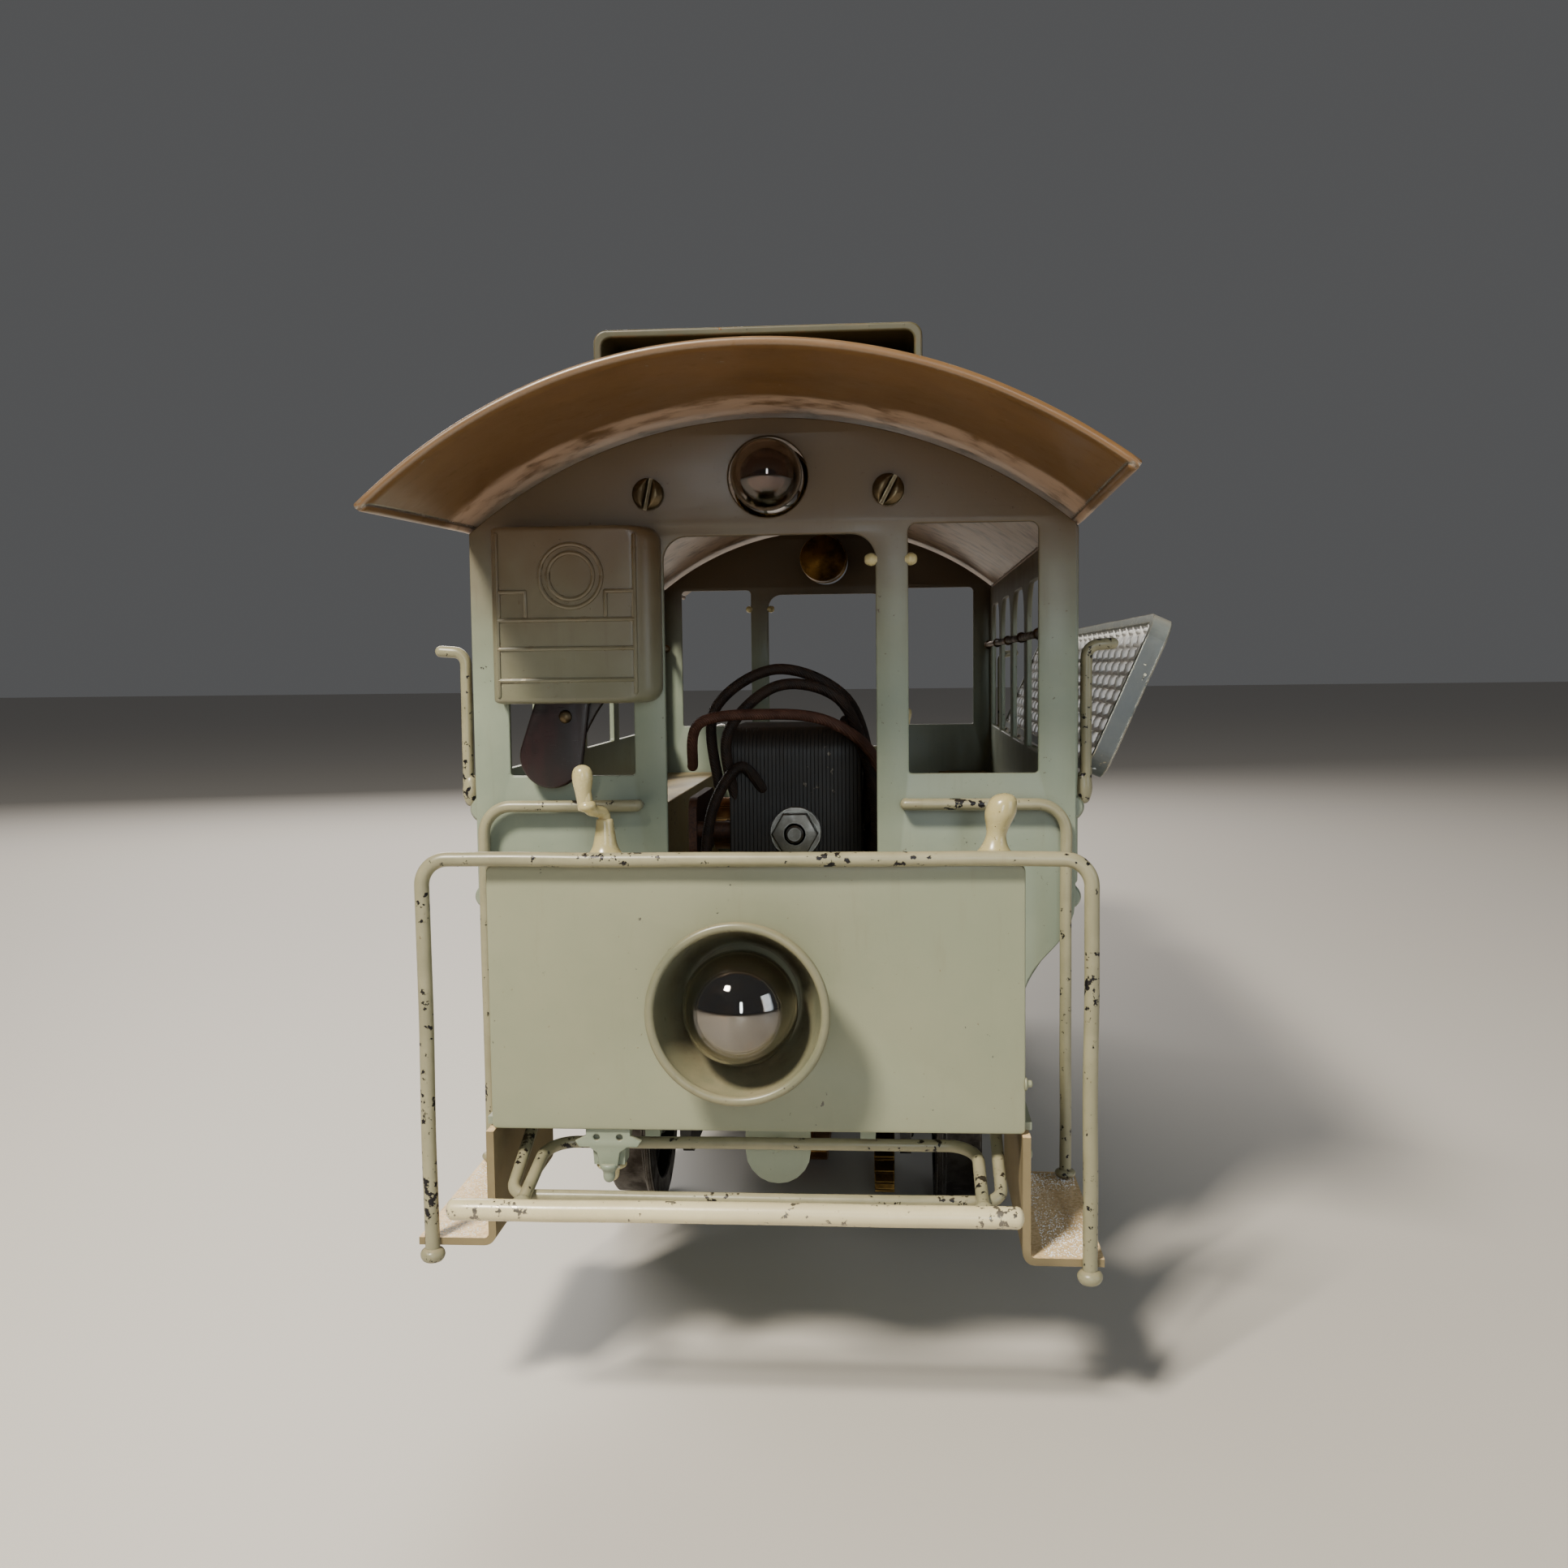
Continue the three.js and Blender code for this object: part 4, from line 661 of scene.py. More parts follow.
def makeDust():
    # what settles on upward faces
    tree, given, result = startGroup(
        "settledDust",
        [("Amount", "value", 0.4), ("Patch Size", "value", 5.0)],
        [("Mask", "value")],
    )
    upward = facingUp(tree)
    patches = noiseOf(tree, placeInMm(tree), divided(tree, 1.0, given["Patch Size"]), 6.0, 0.65)
    mask = times(tree, stepOf(tree, upward, 0.55, 0.95), stepOf(tree, patches, 0.3, 0.7))
    tree.links.new(times(tree, mask, given["Amount"]), result["Mask"])
    return tree


edgeWear = makeEdgeWear()
paintChips = makeChips()
agedPaint = makeAgedPaint(edgeWear, paintChips)
wornMetal = makeWornMetal(edgeWear)
settledDust = makeDust()
print("shader groups")


def startMaterial(name):
    material = bpy.data.materials.new(name)
    material.use_nodes = True
    tree = material.node_tree
    return material, tree, tree.nodes["Principled BSDF"].inputs


def bumpOf(tree, height, distance, strength=1.0):
    return addNode(tree, "ShaderNodeBump", {"Height": height, "Distance": distance * mm,
                                            "Strength": strength}).outputs["Normal"]


dustColour = fromSrgb(176, 156, 122)


# the grime colour serves both real grime streaks and specks and painted shade in corners and recesses
def paintedMetal(name, paint, faded, grimeAndShade=(74, 54, 34), bare=(92, 88, 84), dust=0.25, bump=0.05, tint=None,
                 coat=0.0, **values):
    # tint is an optional function that repaints part of the colour
    material, tree, shader = startMaterial(name)
    given = {"Paint": fromSrgb(*paint), "Faded": fromSrgb(*faded), "Grime And Shade": fromSrgb(*grimeAndShade),
             "Bare": fromSrgb(*bare)}
    given.update({key.replace("_", " "): value for key, value in values.items()})
    made = useGroup(tree, agedPaint, given)
    colour = made["Colour"]
    if tint:
        colour = tint(tree, colour)
    settled = useGroup(tree, settledDust, {"Amount": dust})["Mask"]
    tree.links.new(mixOf(tree, settled, colour, dustColour), shader["Base Color"])
    tree.links.new(plus(tree, made["Roughness"], times(tree, settled, 0.3), True),
                   shader["Roughness"])
    tree.links.new(made["Metal"], shader["Metallic"])
    tree.links.new(bumpOf(tree, made["Height"], bump), shader["Normal"])
    shader["Coat Weight"].default_value = coat
    shader["Coat Roughness"].default_value = 0.25
    return material


def bareMetal(name, metal, dull, bright, bump=0.03, **values):
    material, tree, shader = startMaterial(name)
    given = {"Metal": fromSrgb(*metal), "Dull": fromSrgb(*dull), "Bright": fromSrgb(*bright)}
    given.update({key.replace("_", " "): value for key, value in values.items()})
    made = useGroup(tree, wornMetal, given)
    tree.links.new(made["Colour"], shader["Base Color"])
    tree.links.new(made["Roughness"], shader["Roughness"])
    tree.links.new(bumpOf(tree, made["Height"], bump), shader["Normal"])
    shader["Metallic"].default_value = 1.0
    return material


wallFace = boxOf("front_end_wall")[0].y
wallTop = boxOf("front_end_wall")[1].z


def eaveShade(tree, colour):
    # painted shade: the paint turns darker and browner towards the wall's top, under the roof overhang
    height = addNode(tree, "ShaderNodeSeparateXYZ", {0: placeInMm(tree)}).outputs["Z"]
    cloud = noiseOf(tree, placeInMm(tree), 0.12, 4.0)
    level = plus(tree, height, times(tree, minus(tree, cloud, 0.5), 12.0))
    share = times(tree, stepOf(tree, level, wallTop - 42, wallTop - 12), 0.88)
    return mixOf(tree, share, colour, fromSrgb(78, 55, 32))


def wallReflectionBand(tree, colour):
    # under the roof, a paler band along each end wall: painted reflected light on the roof's underside
    spot = addNode(tree, "ShaderNodeSeparateXYZ", {0: placeInMm(tree)})
    reach = minus(tree, mathOf(tree, "ABSOLUTE", spot.outputs["Y"]), -wallFace)
    cloud = noiseOf(tree, placeInMm(tree), 0.09, 4.0)
    edge = plus(tree, reach, times(tree, minus(tree, cloud, 0.5), 9.0))
    inner = stepOf(tree, edge, 14.0, 10.0)
    under = stepOf(tree, facingUp(tree), 0.0, -0.3)
    patch = stepOf(tree, noiseOf(tree, placeInMm(tree), 0.2, 5.0, 0.6), 0.3, 0.55)
    share = times(tree, times(tree, inner, under), times(tree, patch, 0.85))
    return mixOf(tree, share, colour, fromSrgb(186, 158, 136))


def sandyTop(tree, colour):
    # trodden, sand-coloured paint on what faces up
    up = stepOf(tree, facingUp(tree), 0.5, 0.9)
    grain = noiseOf(tree, placeInMm(tree), 1.7, 4.0, 0.7)
    sand = mixOf(tree, stepOf(tree, grain, 0.35, 0.65), fromSrgb(206, 172, 122), fromSrgb(240, 212, 166))
    return mixOf(tree, up, colour, sand)


# the sage walls take painted shade towards their tops, under the roof
sagePaint = paintedMetal(
    "sagePaint", (122, 132, 114), (140, 146, 124), Mottle_Size=14.0, Grime_Amount=0.55, Wear=0.22,
    Chips=0.12, Chip_Size=1.1, Gloss=0.42, tint=eaveShade)
dashPaint = paintedMetal(
    "dashPaint", (126, 130, 106), (140, 139, 114), grimeAndShade=(104, 78, 48), Mottle_Size=20.0, Grime_Amount=0.5,
    Wear=0.15, Chips=0.1, Chip_Size=0.9, Gloss=0.40, Seed=31.0)
# a high grime amount darkens the cup's hollow with painted shade
cupPaint = paintedMetal(
    "cupPaint", (104, 105, 84), (132, 124, 94), grimeAndShade=(60, 44, 24), Mottle_Size=8.0, Grime_Amount=0.8,
    Wear=0.25, Wear_Reach=0.3, Chips=0.1, Gloss=0.34, Seed=12.0)
# the roof's underside gets a paler band along each end wall: painted reflected light
roofPaint = paintedMetal(
    "roofPaint", (96, 68, 36), (116, 84, 48), grimeAndShade=(40, 26, 12), bare=(150, 148, 142), Mottle_Size=16.0,
    Grime_Amount=0.6, Wear=0.95, Wear_Reach=0.55, Chips=0.1, Gloss=0.36, Seed=5.0, tint=wallReflectionBand)
boardPaint = paintedMetal(
    "boardPaint", (62, 58, 36), (78, 72, 46), grimeAndShade=(30, 22, 12), bare=(112, 74, 44), Mottle_Size=9.0,
    Wear=0.6, Wear_Reach=0.4, Chips=0.3, Chip_Size=1.4, Gloss=0.42, Seed=8.0)
creamPaint = paintedMetal(
    "creamPaint", (126, 122, 96), (154, 148, 118), grimeAndShade=(82, 60, 34), bare=(40, 38, 40), Mottle_Size=6.0,
    Grime_Amount=0.55, Wear=0.3, Chips=0.5, Chip_Size=1.1, Gloss=0.34, Seed=3.0)
rubbedCream = paintedMetal(
    "rubbedCream", (208, 196, 156), (190, 178, 142), grimeAndShade=(110, 86, 56), bare=(124, 118, 108),
    Mottle_Size=5.0,
    Grime_Amount=0.35, Wear=0.2, Chips=0.5, Chip_Size=1.0, Gloss=0.3, Seed=17.0)
benchPaint = paintedMetal(
    "benchPaint", (140, 124, 88), (156, 138, 98), Mottle_Size=12.0, Grime_Amount=0.7, Wear=0.3, Gloss=0.5,
    Seed=21.0)
treadPaint = paintedMetal(
    "treadPaint", (112, 98, 68), (130, 116, 84), Mottle_Size=6.0, Grime_Amount=0.35, Wear=0.0, Chips=0.0,
    Gloss=0.6, Seed=9.0, tint=sandyTop, dust=0.1)
# the switch case takes the same painted shade under the roof
switchPaint = paintedMetal(
    "switchPaint", (108, 106, 84), (122, 122, 102), grimeAndShade=(56, 40, 22), bare=(140, 130, 106),
    Mottle_Size=10.0,
    Grime_Amount=0.6, Wear=0.45, Wear_Reach=0.25, Chips=0.12, Chip_Size=0.7, Gloss=0.36, Seed=26.0,
    tint=eaveShade)
ivoryPaint = paintedMetal(
    "ivoryPaint", (168, 156, 110), (190, 178, 134), grimeAndShade=(128, 84, 36), bare=(110, 92, 66), Mottle_Size=4.0,
    Grime_Amount=0.6, Wear=0.05, Chips=0.15, Chip_Size=0.6, Gloss=0.26, Seed=14.0, coat=0.3, bump=0.03)
guardPaint = paintedMetal(
    "guardPaint", (92, 98, 98), (124, 126, 120), grimeAndShade=(96, 60, 26), bare=(190, 182, 160), Mottle_Size=5.0,
    Grime_Amount=0.5, Wear=0.85, Wear_Reach=0.4, Chips=0.5, Chip_Size=1.0, Gloss=0.34, Seed=41.0)
ironPaint = paintedMetal(
    "ironPaint", (46, 42, 38), (62, 56, 50), grimeAndShade=(24, 18, 12), bare=(130, 126, 120), Mottle_Size=6.0,
    Wear=0.5, Wear_Reach=0.35, Chips=0.15, Gloss=0.5, Seed=51.0)

brightSteel = bareMetal("brightSteel", (176, 172, 164), (92, 84, 74), (226, 224, 218), Dullness=0.6,
                        Gloss=0.3)
screwSteel = bareMetal("screwSteel", (96, 84, 64), (44, 34, 24), (150, 136, 110), Dullness=0.7, Gloss=0.34)
wireSteel = bareMetal("wireSteel", (96, 70, 38), (44, 29, 14), (190, 164, 112), Dullness=0.8, Gloss=0.38)
# dark brass: partly tarnish, partly painted shade for parts inside and under the car
agedAndShadedBrass = bareMetal("agedAndShadedBrass", (96, 70, 32), (40, 28, 14), (196, 158, 88), Dullness=0.9, Gloss=0.3)
wornBronze = bareMetal("wornBronze", (172, 122, 70), (84, 58, 34), (222, 178, 118), Dullness=0.6, Gloss=0.34)
castIron = bareMetal("castIron", (74, 70, 66), (40, 34, 28), (168, 164, 158), Dullness=0.8, Gloss=0.46)


def makeBakelite():
    # moulded resin with a flow pattern and fine scratches
    material, tree, shader = startMaterial("maroonResin")
    flow = noiseOf(tree, placeInMm(tree, (1, 1, 0.35)), 0.5, 5.0, 0.6)
    colour = mixOf(tree, stepOf(tree, flow, 0.35, 0.7), fromSrgb(15, 5, 6), fromSrgb(30, 9, 11))
    worn = useGroup(tree, edgeWear, {"Reach": 0.3, "Amount": 0.4})["Mask"]
    tree.links.new(mixOf(tree, times(tree, worn, 0.35), colour, fromSrgb(78, 44, 36)),
                   shader["Base Color"])
    scratches = noiseOf(tree, placeInMm(tree, (0.25, 1, 3.5)), 2.2, 4.0, 0.7)
    tree.links.new(plus(tree, 0.22, times(tree, scratches, 0.16)), shader["Roughness"])
    tree.links.new(bumpOf(tree, scratches, 0.015), shader["Normal"])
    return material


def makeInsulation(name, dark, pale):
    # braided and varnished lead covering
    material, tree, shader = startMaterial(name)
    braid = addNode(tree, "ShaderNodeTexWave", {"Vector": placeInMm(tree), "Scale": 1.4,
                                                "Distortion": 1.5, "Detail": 2.0}, bands_direction="DIAGONAL")
    age = noiseOf(tree, placeInMm(tree), 0.4, 4.0)
    mixed = times(tree, braid.outputs["Fac"], stepOf(tree, age, 0.3, 0.7))
    tree.links.new(mixOf(tree, mixed, fromSrgb(*dark), fromSrgb(*pale)), shader["Base Color"])
    tree.links.new(plus(tree, 0.5, times(tree, age, 0.25)), shader["Roughness"])
    tree.links.new(bumpOf(tree, braid.outputs["Fac"], 0.06), shader["Normal"])
    return material


def makeGlass(name, tint, roughness):
    material, tree, shader = startMaterial(name)
    film = noiseOf(tree, placeInMm(tree), 0.6, 4.0, 0.6)
    tree.links.new(mixOf(tree, stepOf(tree, film, 0.55, 0.8), fromSrgb(*tint), fromSrgb(214, 206, 190)),
                   shader["Base Color"])
    tree.links.new(plus(tree, roughness, times(tree, stepOf(tree, film, 0.55, 0.85), 0.06)),
                   shader["Roughness"])
    shader["Transmission Weight"].default_value = 1.0
    shader["IOR"].default_value = 1.5
    return material


def makeSilvering(name, colour):
    # the mirrored film inside a lamp
    material, tree, shader = startMaterial(name)
    film = noiseOf(tree, placeInMm(tree), 0.5, 5.0, 0.6)
    tree.links.new(mixOf(tree, stepOf(tree, film, 0.5, 0.75), fromSrgb(*colour), fromSrgb(132, 120, 112)),
                   shader["Base Color"])
    tree.links.new(plus(tree, 0.05, times(tree, stepOf(tree, film, 0.5, 0.8), 0.1)),
                   shader["Roughness"])
    shader["Metallic"].default_value = 1.0
    return material


def makeFibre():
    material, tree, shader = startMaterial("pressedFibre")
    grain = noiseOf(tree, placeInMm(tree), 2.4, 5.0, 0.7)
    tree.links.new(mixOf(tree, stepOf(tree, grain, 0.3, 0.7), fromSrgb(58, 34, 24), fromSrgb(96, 60, 40)),
                   shader["Base Color"])
    tree.links.new(plus(tree, 0.5, times(tree, grain, 0.3)), shader["Roughness"])
    tree.links.new(bumpOf(tree, grain, 0.05), shader["Normal"])
    return material


def makeEnamelledWire():
    material, tree, shader = startMaterial("enamelledWire")
    tone = noiseOf(tree, placeInMm(tree), 0.7, 4.0)
    tree.links.new(mixOf(tree, stepOf(tree, tone, 0.3, 0.7), fromSrgb(96, 44, 20), fromSrgb(150, 78, 36)),
                   shader["Base Color"])
    tree.links.new(plus(tree, 0.28, times(tree, tone, 0.2)), shader["Roughness"])
    shader["Metallic"].default_value = 0.6
    return material


resin = makeBakelite()
brownLead = makeInsulation("brownLead", (34, 22, 16), (74, 50, 36))
pinkLead = makeInsulation("pinkLead", (84, 50, 38), (132, 88, 70))
clearGlass = makeGlass("clearGlass", (244, 238, 226), 0.01)
smokedGlass = makeGlass("smokedGlass", (206, 188, 170), 0.02)
# the mirror film is tinted dark: painted shade standing in for dim reflected surroundings
silvering = makeSilvering("silvering", (122, 124, 132))
violetFilm = makeSilvering("violetFilm", (84, 66, 74))
fibre = makeFibre()
enamelledWire = makeEnamelledWire()
print("materials")

# end walls, dashes and what is bent from sheet

sheet = boxOf("front_dash")[1].y - boxOf("front_dash")[0].y
rimRound = 0.22  # on the edges of pressed sheet
halfWidth = boxOf("front_end_wall")[1].x
floorGap = 0.3  # between the floor pan and the walls round it
footHalfWidth = boxOf("floor_pan")[1].x + sheet + floorGap
roofRadius = 71.0
wallRadius = roofRadius - sheet - 0.8
roofCentre = boxOf("rear_end_wall")[1].z - wallRadius
floorTop = boxOf("front_end_wall")[0].z - floorGap

endWallShape = {
    "rockerFoot": 46.0,
    "rockerTop": 62.0,
    "doorHalf": 15.4,
    "doorTop": 114.9,
    "doorCorner": 3.5,
    "windowInner": 20.05,
    "windowOuter": 38.6,
    "windowFoot": 80.3,
    "windowTop": 116.2,
    "windowCorner": 1.2,
    "lampRadius": 5.75,
    "lampHeight": 123.2,
}


def rockerLine(x, inset, foot, top, steps=10):
    # the side's S curve, from its foot up
    line = []
    rise = (top - foot) / 2
    for i in range(steps + 1):
        t = i / steps
        u = 1 - t
        share = 3 * u * t * t + t ** 3
        height = u ** 3 * foot + 3 * u * u * t * (foot + rise) + 3 * u * t * t * (top - rise) + t ** 3 * top
        line.append((x - math.copysign(inset, x) * (1 - share), height))
    return line


def makeEndWall(prefix, rear):
    shape = endWallShape
    foot = floorTop + floorGap
    inset = halfWidth - footHalfWidth
    edge = math.degrees(math.acos(halfWidth / wallRadius))
    right = rockerLine(halfWidth, inset, shape["rockerFoot"], shape["rockerTop"])
    outline = [(footHalfWidth, foot)] + right
    outline += arc(0, roofCentre, wallRadius, edge, 180 - edge, 40)
    outline += [(-x, z) for x, z in reversed(right)] + [(-footHalfWidth, foot)]
    windows = []
    for sign in (-1, 1):
        left, far = sorted((sign * shape["windowInner"], sign * shape["windowOuter"]))
        windows.append(roundRect(left, far, shape["windowFoot"], shape["windowTop"], 0.5,
                                 shape["windowCorner"]))
    # the doorway runs out through the wall's foot, so it is part of the outline
    half, corner = shape["doorHalf"], shape["doorCorner"]
    door = [(half, foot)] + arc(half - corner, shape["doorTop"] - corner, corner, 0, 90, 8)
    door += arc(-half + corner, shape["doorTop"] - corner, corner, 90, 180, 8) + [(-half, foot)]
    lamp = arc(0, shape["lampHeight"], shape["lampRadius"], 0, 360, 40)[:-1]
    outline += door[::-1]
    bm = bmesh.new()
    addPlate(bm, outline, windows + [lamp], sheet, rimRound, lambda x, z, d: Vector((x, wallFace + d, z)))
    finishPiece(bm, prefix + "EndWall", "car", [sagePaint], [prefix + "_end_wall"], rear)


def makeDashPanel(prefix, rear):
    low, high = boxOf("front_dash")
    cup = boxOf("front_headlight_cup")
    middle = (cup[0] + cup[1]) / 2
    hole = arc(middle.x, middle.z, 6.2, 0, 360, 40)[:-1]
    bm = bmesh.new()
    outline = roundRect(low.x, high.x, low.z, high.z, 0.6, 0.9, 5)
    addPlate(bm, outline, [hole], sheet, rimRound, lambda x, z, d: Vector((x, low.y + d, z)))
    stud = [(0, 0), (0.75, 0), (0.85, 0.25), (0.5, 0.45), (0.45, 0.85), (0.25, 1.0), (0, 1.05)]
    addSpin(bm, roundedProfile(stud, 3), (high.x - 0.1, low.y + sheet / 2, 43.2), (1, 0, 0), 20)
    # a folded lip stiffens the top edge
    lip = [Vector((x, high.y - 0.1, high.z - 0.55)) for x in (low.x + 1.2, 0, high.x - 1.2)]
    addSweep(bm, bendPath(lip, 1), 0.55, 12)
    finishPiece(bm, prefix + "Dash", "car", [dashPaint], [prefix + "_dash"], rear)


for prefix, rear in carEnds:
    makeEndWall(prefix, rear)
    makeDashPanel(prefix, rear)
print("end walls and dashes")

sideWallShape = {
    "windows": 5,
    "post": 6.0,
    "windowTop": 111.0,
    "windowCorner": 7.0,
    "belts": ((75.2, 2.0, 1.4), (62.0, 1.75, 1.0)),  # height, half height, how far it stands out
    "rod": (101.0, 0.7),  # height, radius
    "join": 66.0,  # where the flat upper part meets the rocker panel
    "rockerRows": 26,
    "eyes": (1.7, 77.8, (-60, 0, 60)),  # radius, height, places along the car
}


def sideSurface(sign, along, up, depth):
    # a point on the side wall: distance along the car, height, depth from the outer face
    foot, top = endWallShape["rockerFoot"], endWallShape["rockerTop"]
    inset = halfWidth - footHalfWidth
    t = min(1, max(0, (up - foot) / (top - foot)))
    lean = inset * (1 - t * t * (3 - 2 * t)) if up < top else 0
    return Vector((sign * (halfWidth - lean - depth), along, up))


def makeSideWall(side, sign):
    high = boxOf("left_side_wall")[1]
    half = high.y
    shape = sideWallShape
    count, post = shape["windows"], shape["post"]
    width = (2 * half - (count + 1) * post) / count
    holes = []
    for i in range(count):
        start = -half + post + i * (width + post)
        holes.append(roundRect(start, start + width, endWallShape["windowFoot"], shape["windowTop"],
                               0.6, shape["windowCorner"], 10))
    join, steps = shape["join"], shape["rockerRows"]
    upper = [(-half, join), (half, join), (half, high.z), (-half, high.z)]
    bm = bmesh.new()
    addPlate(bm, upper, holes, sheet, rimRound, lambda y, z, d: sideSurface(sign, y, z, d))
    # the rocker panel, ruled along the car
    rows = [floorTop - 1 + (join + 1 - floorTop) * i / steps for i in range(steps + 1)]
    outer = [[bm.verts.new(sideSurface(sign, y, z, 0)) for y in (-half, half)] for z in rows]
    inner = [[bm.verts.new(sideSurface(sign, y, z, sheet)) for y in (-half, half)] for z in rows]
    loop = [row[0] for row in outer] + [row[0] for row in reversed(inner)]
    far = [row[1] for row in outer] + [row[1] for row in reversed(inner)]
    skin(bm, loop, far)
    for ends in (loop, far[::-1]):
        n = len(rows)
        for i in range(n - 1):
            bm.faces.new((ends[i], ends[i + 1], ends[2 * n - 2 - i], ends[2 * n - 1 - i]))
    for height, reach, proud in shape["belts"]:
        addBelt(bm, sign, height, reach, proud, half)
    for end in (-1, 1):
        post = [Vector((sign * (halfWidth - 0.1), end * (half - 0.75), z)) for z in (64.5, 90, high.z - 0.5)]
        addSweep(bm, bendPath(post, 1, spacing=20), 0.6, 10)
    if sign > 0:
        addGuardEyes(bm)
    finishPiece(bm, side + "SideWall", "car", [sagePaint], [side + "_side_wall"])


def addBelt(bm, sign, height, reach, proud, half):
    # a half-round moulding with stopped ends
    steps = 10
    section = [(-reach + 2 * reach * i / steps, proud * math.sin(math.pi * i / steps) ** 0.7)
               for i in range(steps + 1)]
    section.append((0, -0.4))
    rings = []
    for y, scale in ((-half, 0.0), (-half, 0.75), (-half + 0.5, 1.0), (half - 0.5, 1.0), (half, 0.75),
                     (half, 0.0)):
        if scale == 0:
            rings.append([bm.verts.new(sideSurface(sign, y, height, 0.2))])
            continue
        rings.append([bm.verts.new(sideSurface(sign, y, height + z * scale, -out * scale if out > 0 else 0.3))
                      for z, out in section])
    for first, second in zip(rings, rings[1:]):
        skin(bm, first, second)


def addGuardEyes(bm):
    # three rolled eyes that carry the guard's hinge pin
    radius, height, places = sideWallShape["eyes"]
    hinge = boxOf("right_side_wall")[1].x - radius
    for y in places:
        rounded = [(0.95, -2.5), (1.5, -2.5), (1.7, -2.3), (1.7, 2.3), (1.5, 2.5), (0.95, 2.5)]
        addSpin(bm, rounded, (hinge, y, height), (0, 1, 0), 28)
        addBlock(bm, (halfWidth - 0.6, y - 2.5, height - 0.5), (hinge - 1.0, y + 2.5, height + 1.1), 0.2)


for side, sign in carSides:
    makeSideWall(side, sign)


def makeWindowRods():
    # a thin rod stands inside the side windows, soldered to each post
    height, radius = sideWallShape["rod"]
    half = boxOf("left_side_wall")[1].y
    for side, sign in carSides:
        x = sign * (halfWidth - sheet - radius)
        bm = bmesh.new()
        path = [Vector((x, -half + 2, height)), Vector((x, 0, height)), Vector((x, half - 2, height))]
        addSweep(bm, wobbled(bendPath(path, 1), 0.12, 4 + sign), radius, 14)
        count, post = sideWallShape["windows"], sideWallShape["post"]
        pitch = (2 * half - post) / count
        for i in range(count + 1):
            y = -half + post / 2 + i * pitch
            blob = [(0, -1.5), (radius * 1.05, -1.2), (radius * 1.5, 0), (radius * 1.05, 1.2), (0, 1.5)]
            addSpin(bm, roundedProfile(blob, 3), (x, min(max(y, -half + 2.6), half - 2.6), height), (0, 1, 0),
                    14)
        finishPiece(bm, side + "WindowRod", "car", [wireSteel])


makeWindowRods()
print("side walls")

roofShape = {
    "halfWidth": 45.3,
    "crown": 133.4,
    "overhang": 45.0,
    "twist": 1.9,  # degrees at the front edge
    "hem": 0.75,  # radius of the rolled eave
}
carHalf = -wallFace
roofHalf = carHalf + roofShape["overhang"]


def roofTwisted(point):
    ahead = min(1, max(0, (-point.y - carHalf) / roofShape["overhang"]))
    turn = -math.radians(roofShape["twist"]) * ahead
    arm = Vector((point.x, point.z - roofShape["crown"]))
    x = arm.x * math.cos(turn) + arm.y * math.sin(turn)
    z = -arm.x * math.sin(turn) + arm.y * math.cos(turn)
    return Vector((x, point.y, z + roofShape["crown"]))


def makeRoof():
    half = math.asin(roofShape["halfWidth"] / roofRadius)
    across, length = 72, 110
    bm = bmesh.new()

    def spot(i, j, radius):
        angle = -half + 2 * half * i / across
        y = -roofHalf + 2 * roofHalf * j / length
        # hand-worked sheet is never quite true near its free ends
        far = max(0, abs(y) - carHalf) / roofShape["overhang"]
        dent = noise.noise(Vector((angle * 2.2, y * 0.02, 3.7))) * 0.45 * far
        base = Vector(((radius + dent) * math.sin(angle), y, roofCentre + (radius + dent) * math.cos(angle)))
        return roofTwisted(base)

    # the section: outer face, rounded free edge, inner face
    edgeSteps = 4
    grids = [[[bm.verts.new(spot(i, j, radius)) for j in range(length + 1)] for i in range(across + 1)]
             for radius in (roofRadius, roofRadius - sheet)]
    outer, inner = grids
    for grid in grids:
        for i in range(across):
            for j in range(length):
                face = bm.faces.new((grid[i][j], grid[i + 1][j], grid[i + 1][j + 1], grid[i][j + 1]))
                face.smooth = True

    def freeEdge(grid):
        # once round the sheet
        return ([grid[i][0] for i in range(across + 1)] + grid[across][1:]
                + [grid[i][length] for i in range(across - 1, -1, -1)] + grid[0][length - 1:0:-1])

    rimOut, rimIn = freeEdge(outer), freeEdge(inner)
    middle = len(rimOut)
    rings = [rimOut]
    centres = [(a.co + b.co) / 2 for a, b in zip(rimOut, rimIn)]
    for k in range(1, edgeSteps):
        angle = math.pi * k / edgeSteps
        ring = []
        for i in range(middle):
            before, after = centres[i - 1], centres[(i + 1) % middle]
            along = (after - before).normalized()
            thick = rimOut[i].co - centres[i]
            outward = along.cross(thick).normalized() * thick.length * 0.55
            ring.append(bm.verts.new(centres[i] + thick * math.cos(angle) + outward * math.sin(angle)))
        rings.append(ring)
    rings.append(rimIn)
    for first, second in zip(rings, rings[1:]):
        skin(bm, first, second)
    # the long edges are rolled under into a hem
    for sign in (-1, 1):
        hem = []
        for j in range(0, length + 1, 2):
            y = -roofHalf + 0.6 + 2 * (roofHalf - 0.6) * j / length
            radius = roofRadius - roofShape["hem"]
            angle = sign * (half - 0.006)
            hem.append(roofTwisted(Vector((radius * math.sin(angle), y,
                                           roofCentre + radius * math.cos(angle)))))
        addSweep(bm, hem, roofShape["hem"], 12)
    finishPiece(bm, "roof", "car", [roofPaint], ["roof"], sharp=60)


makeRoof()


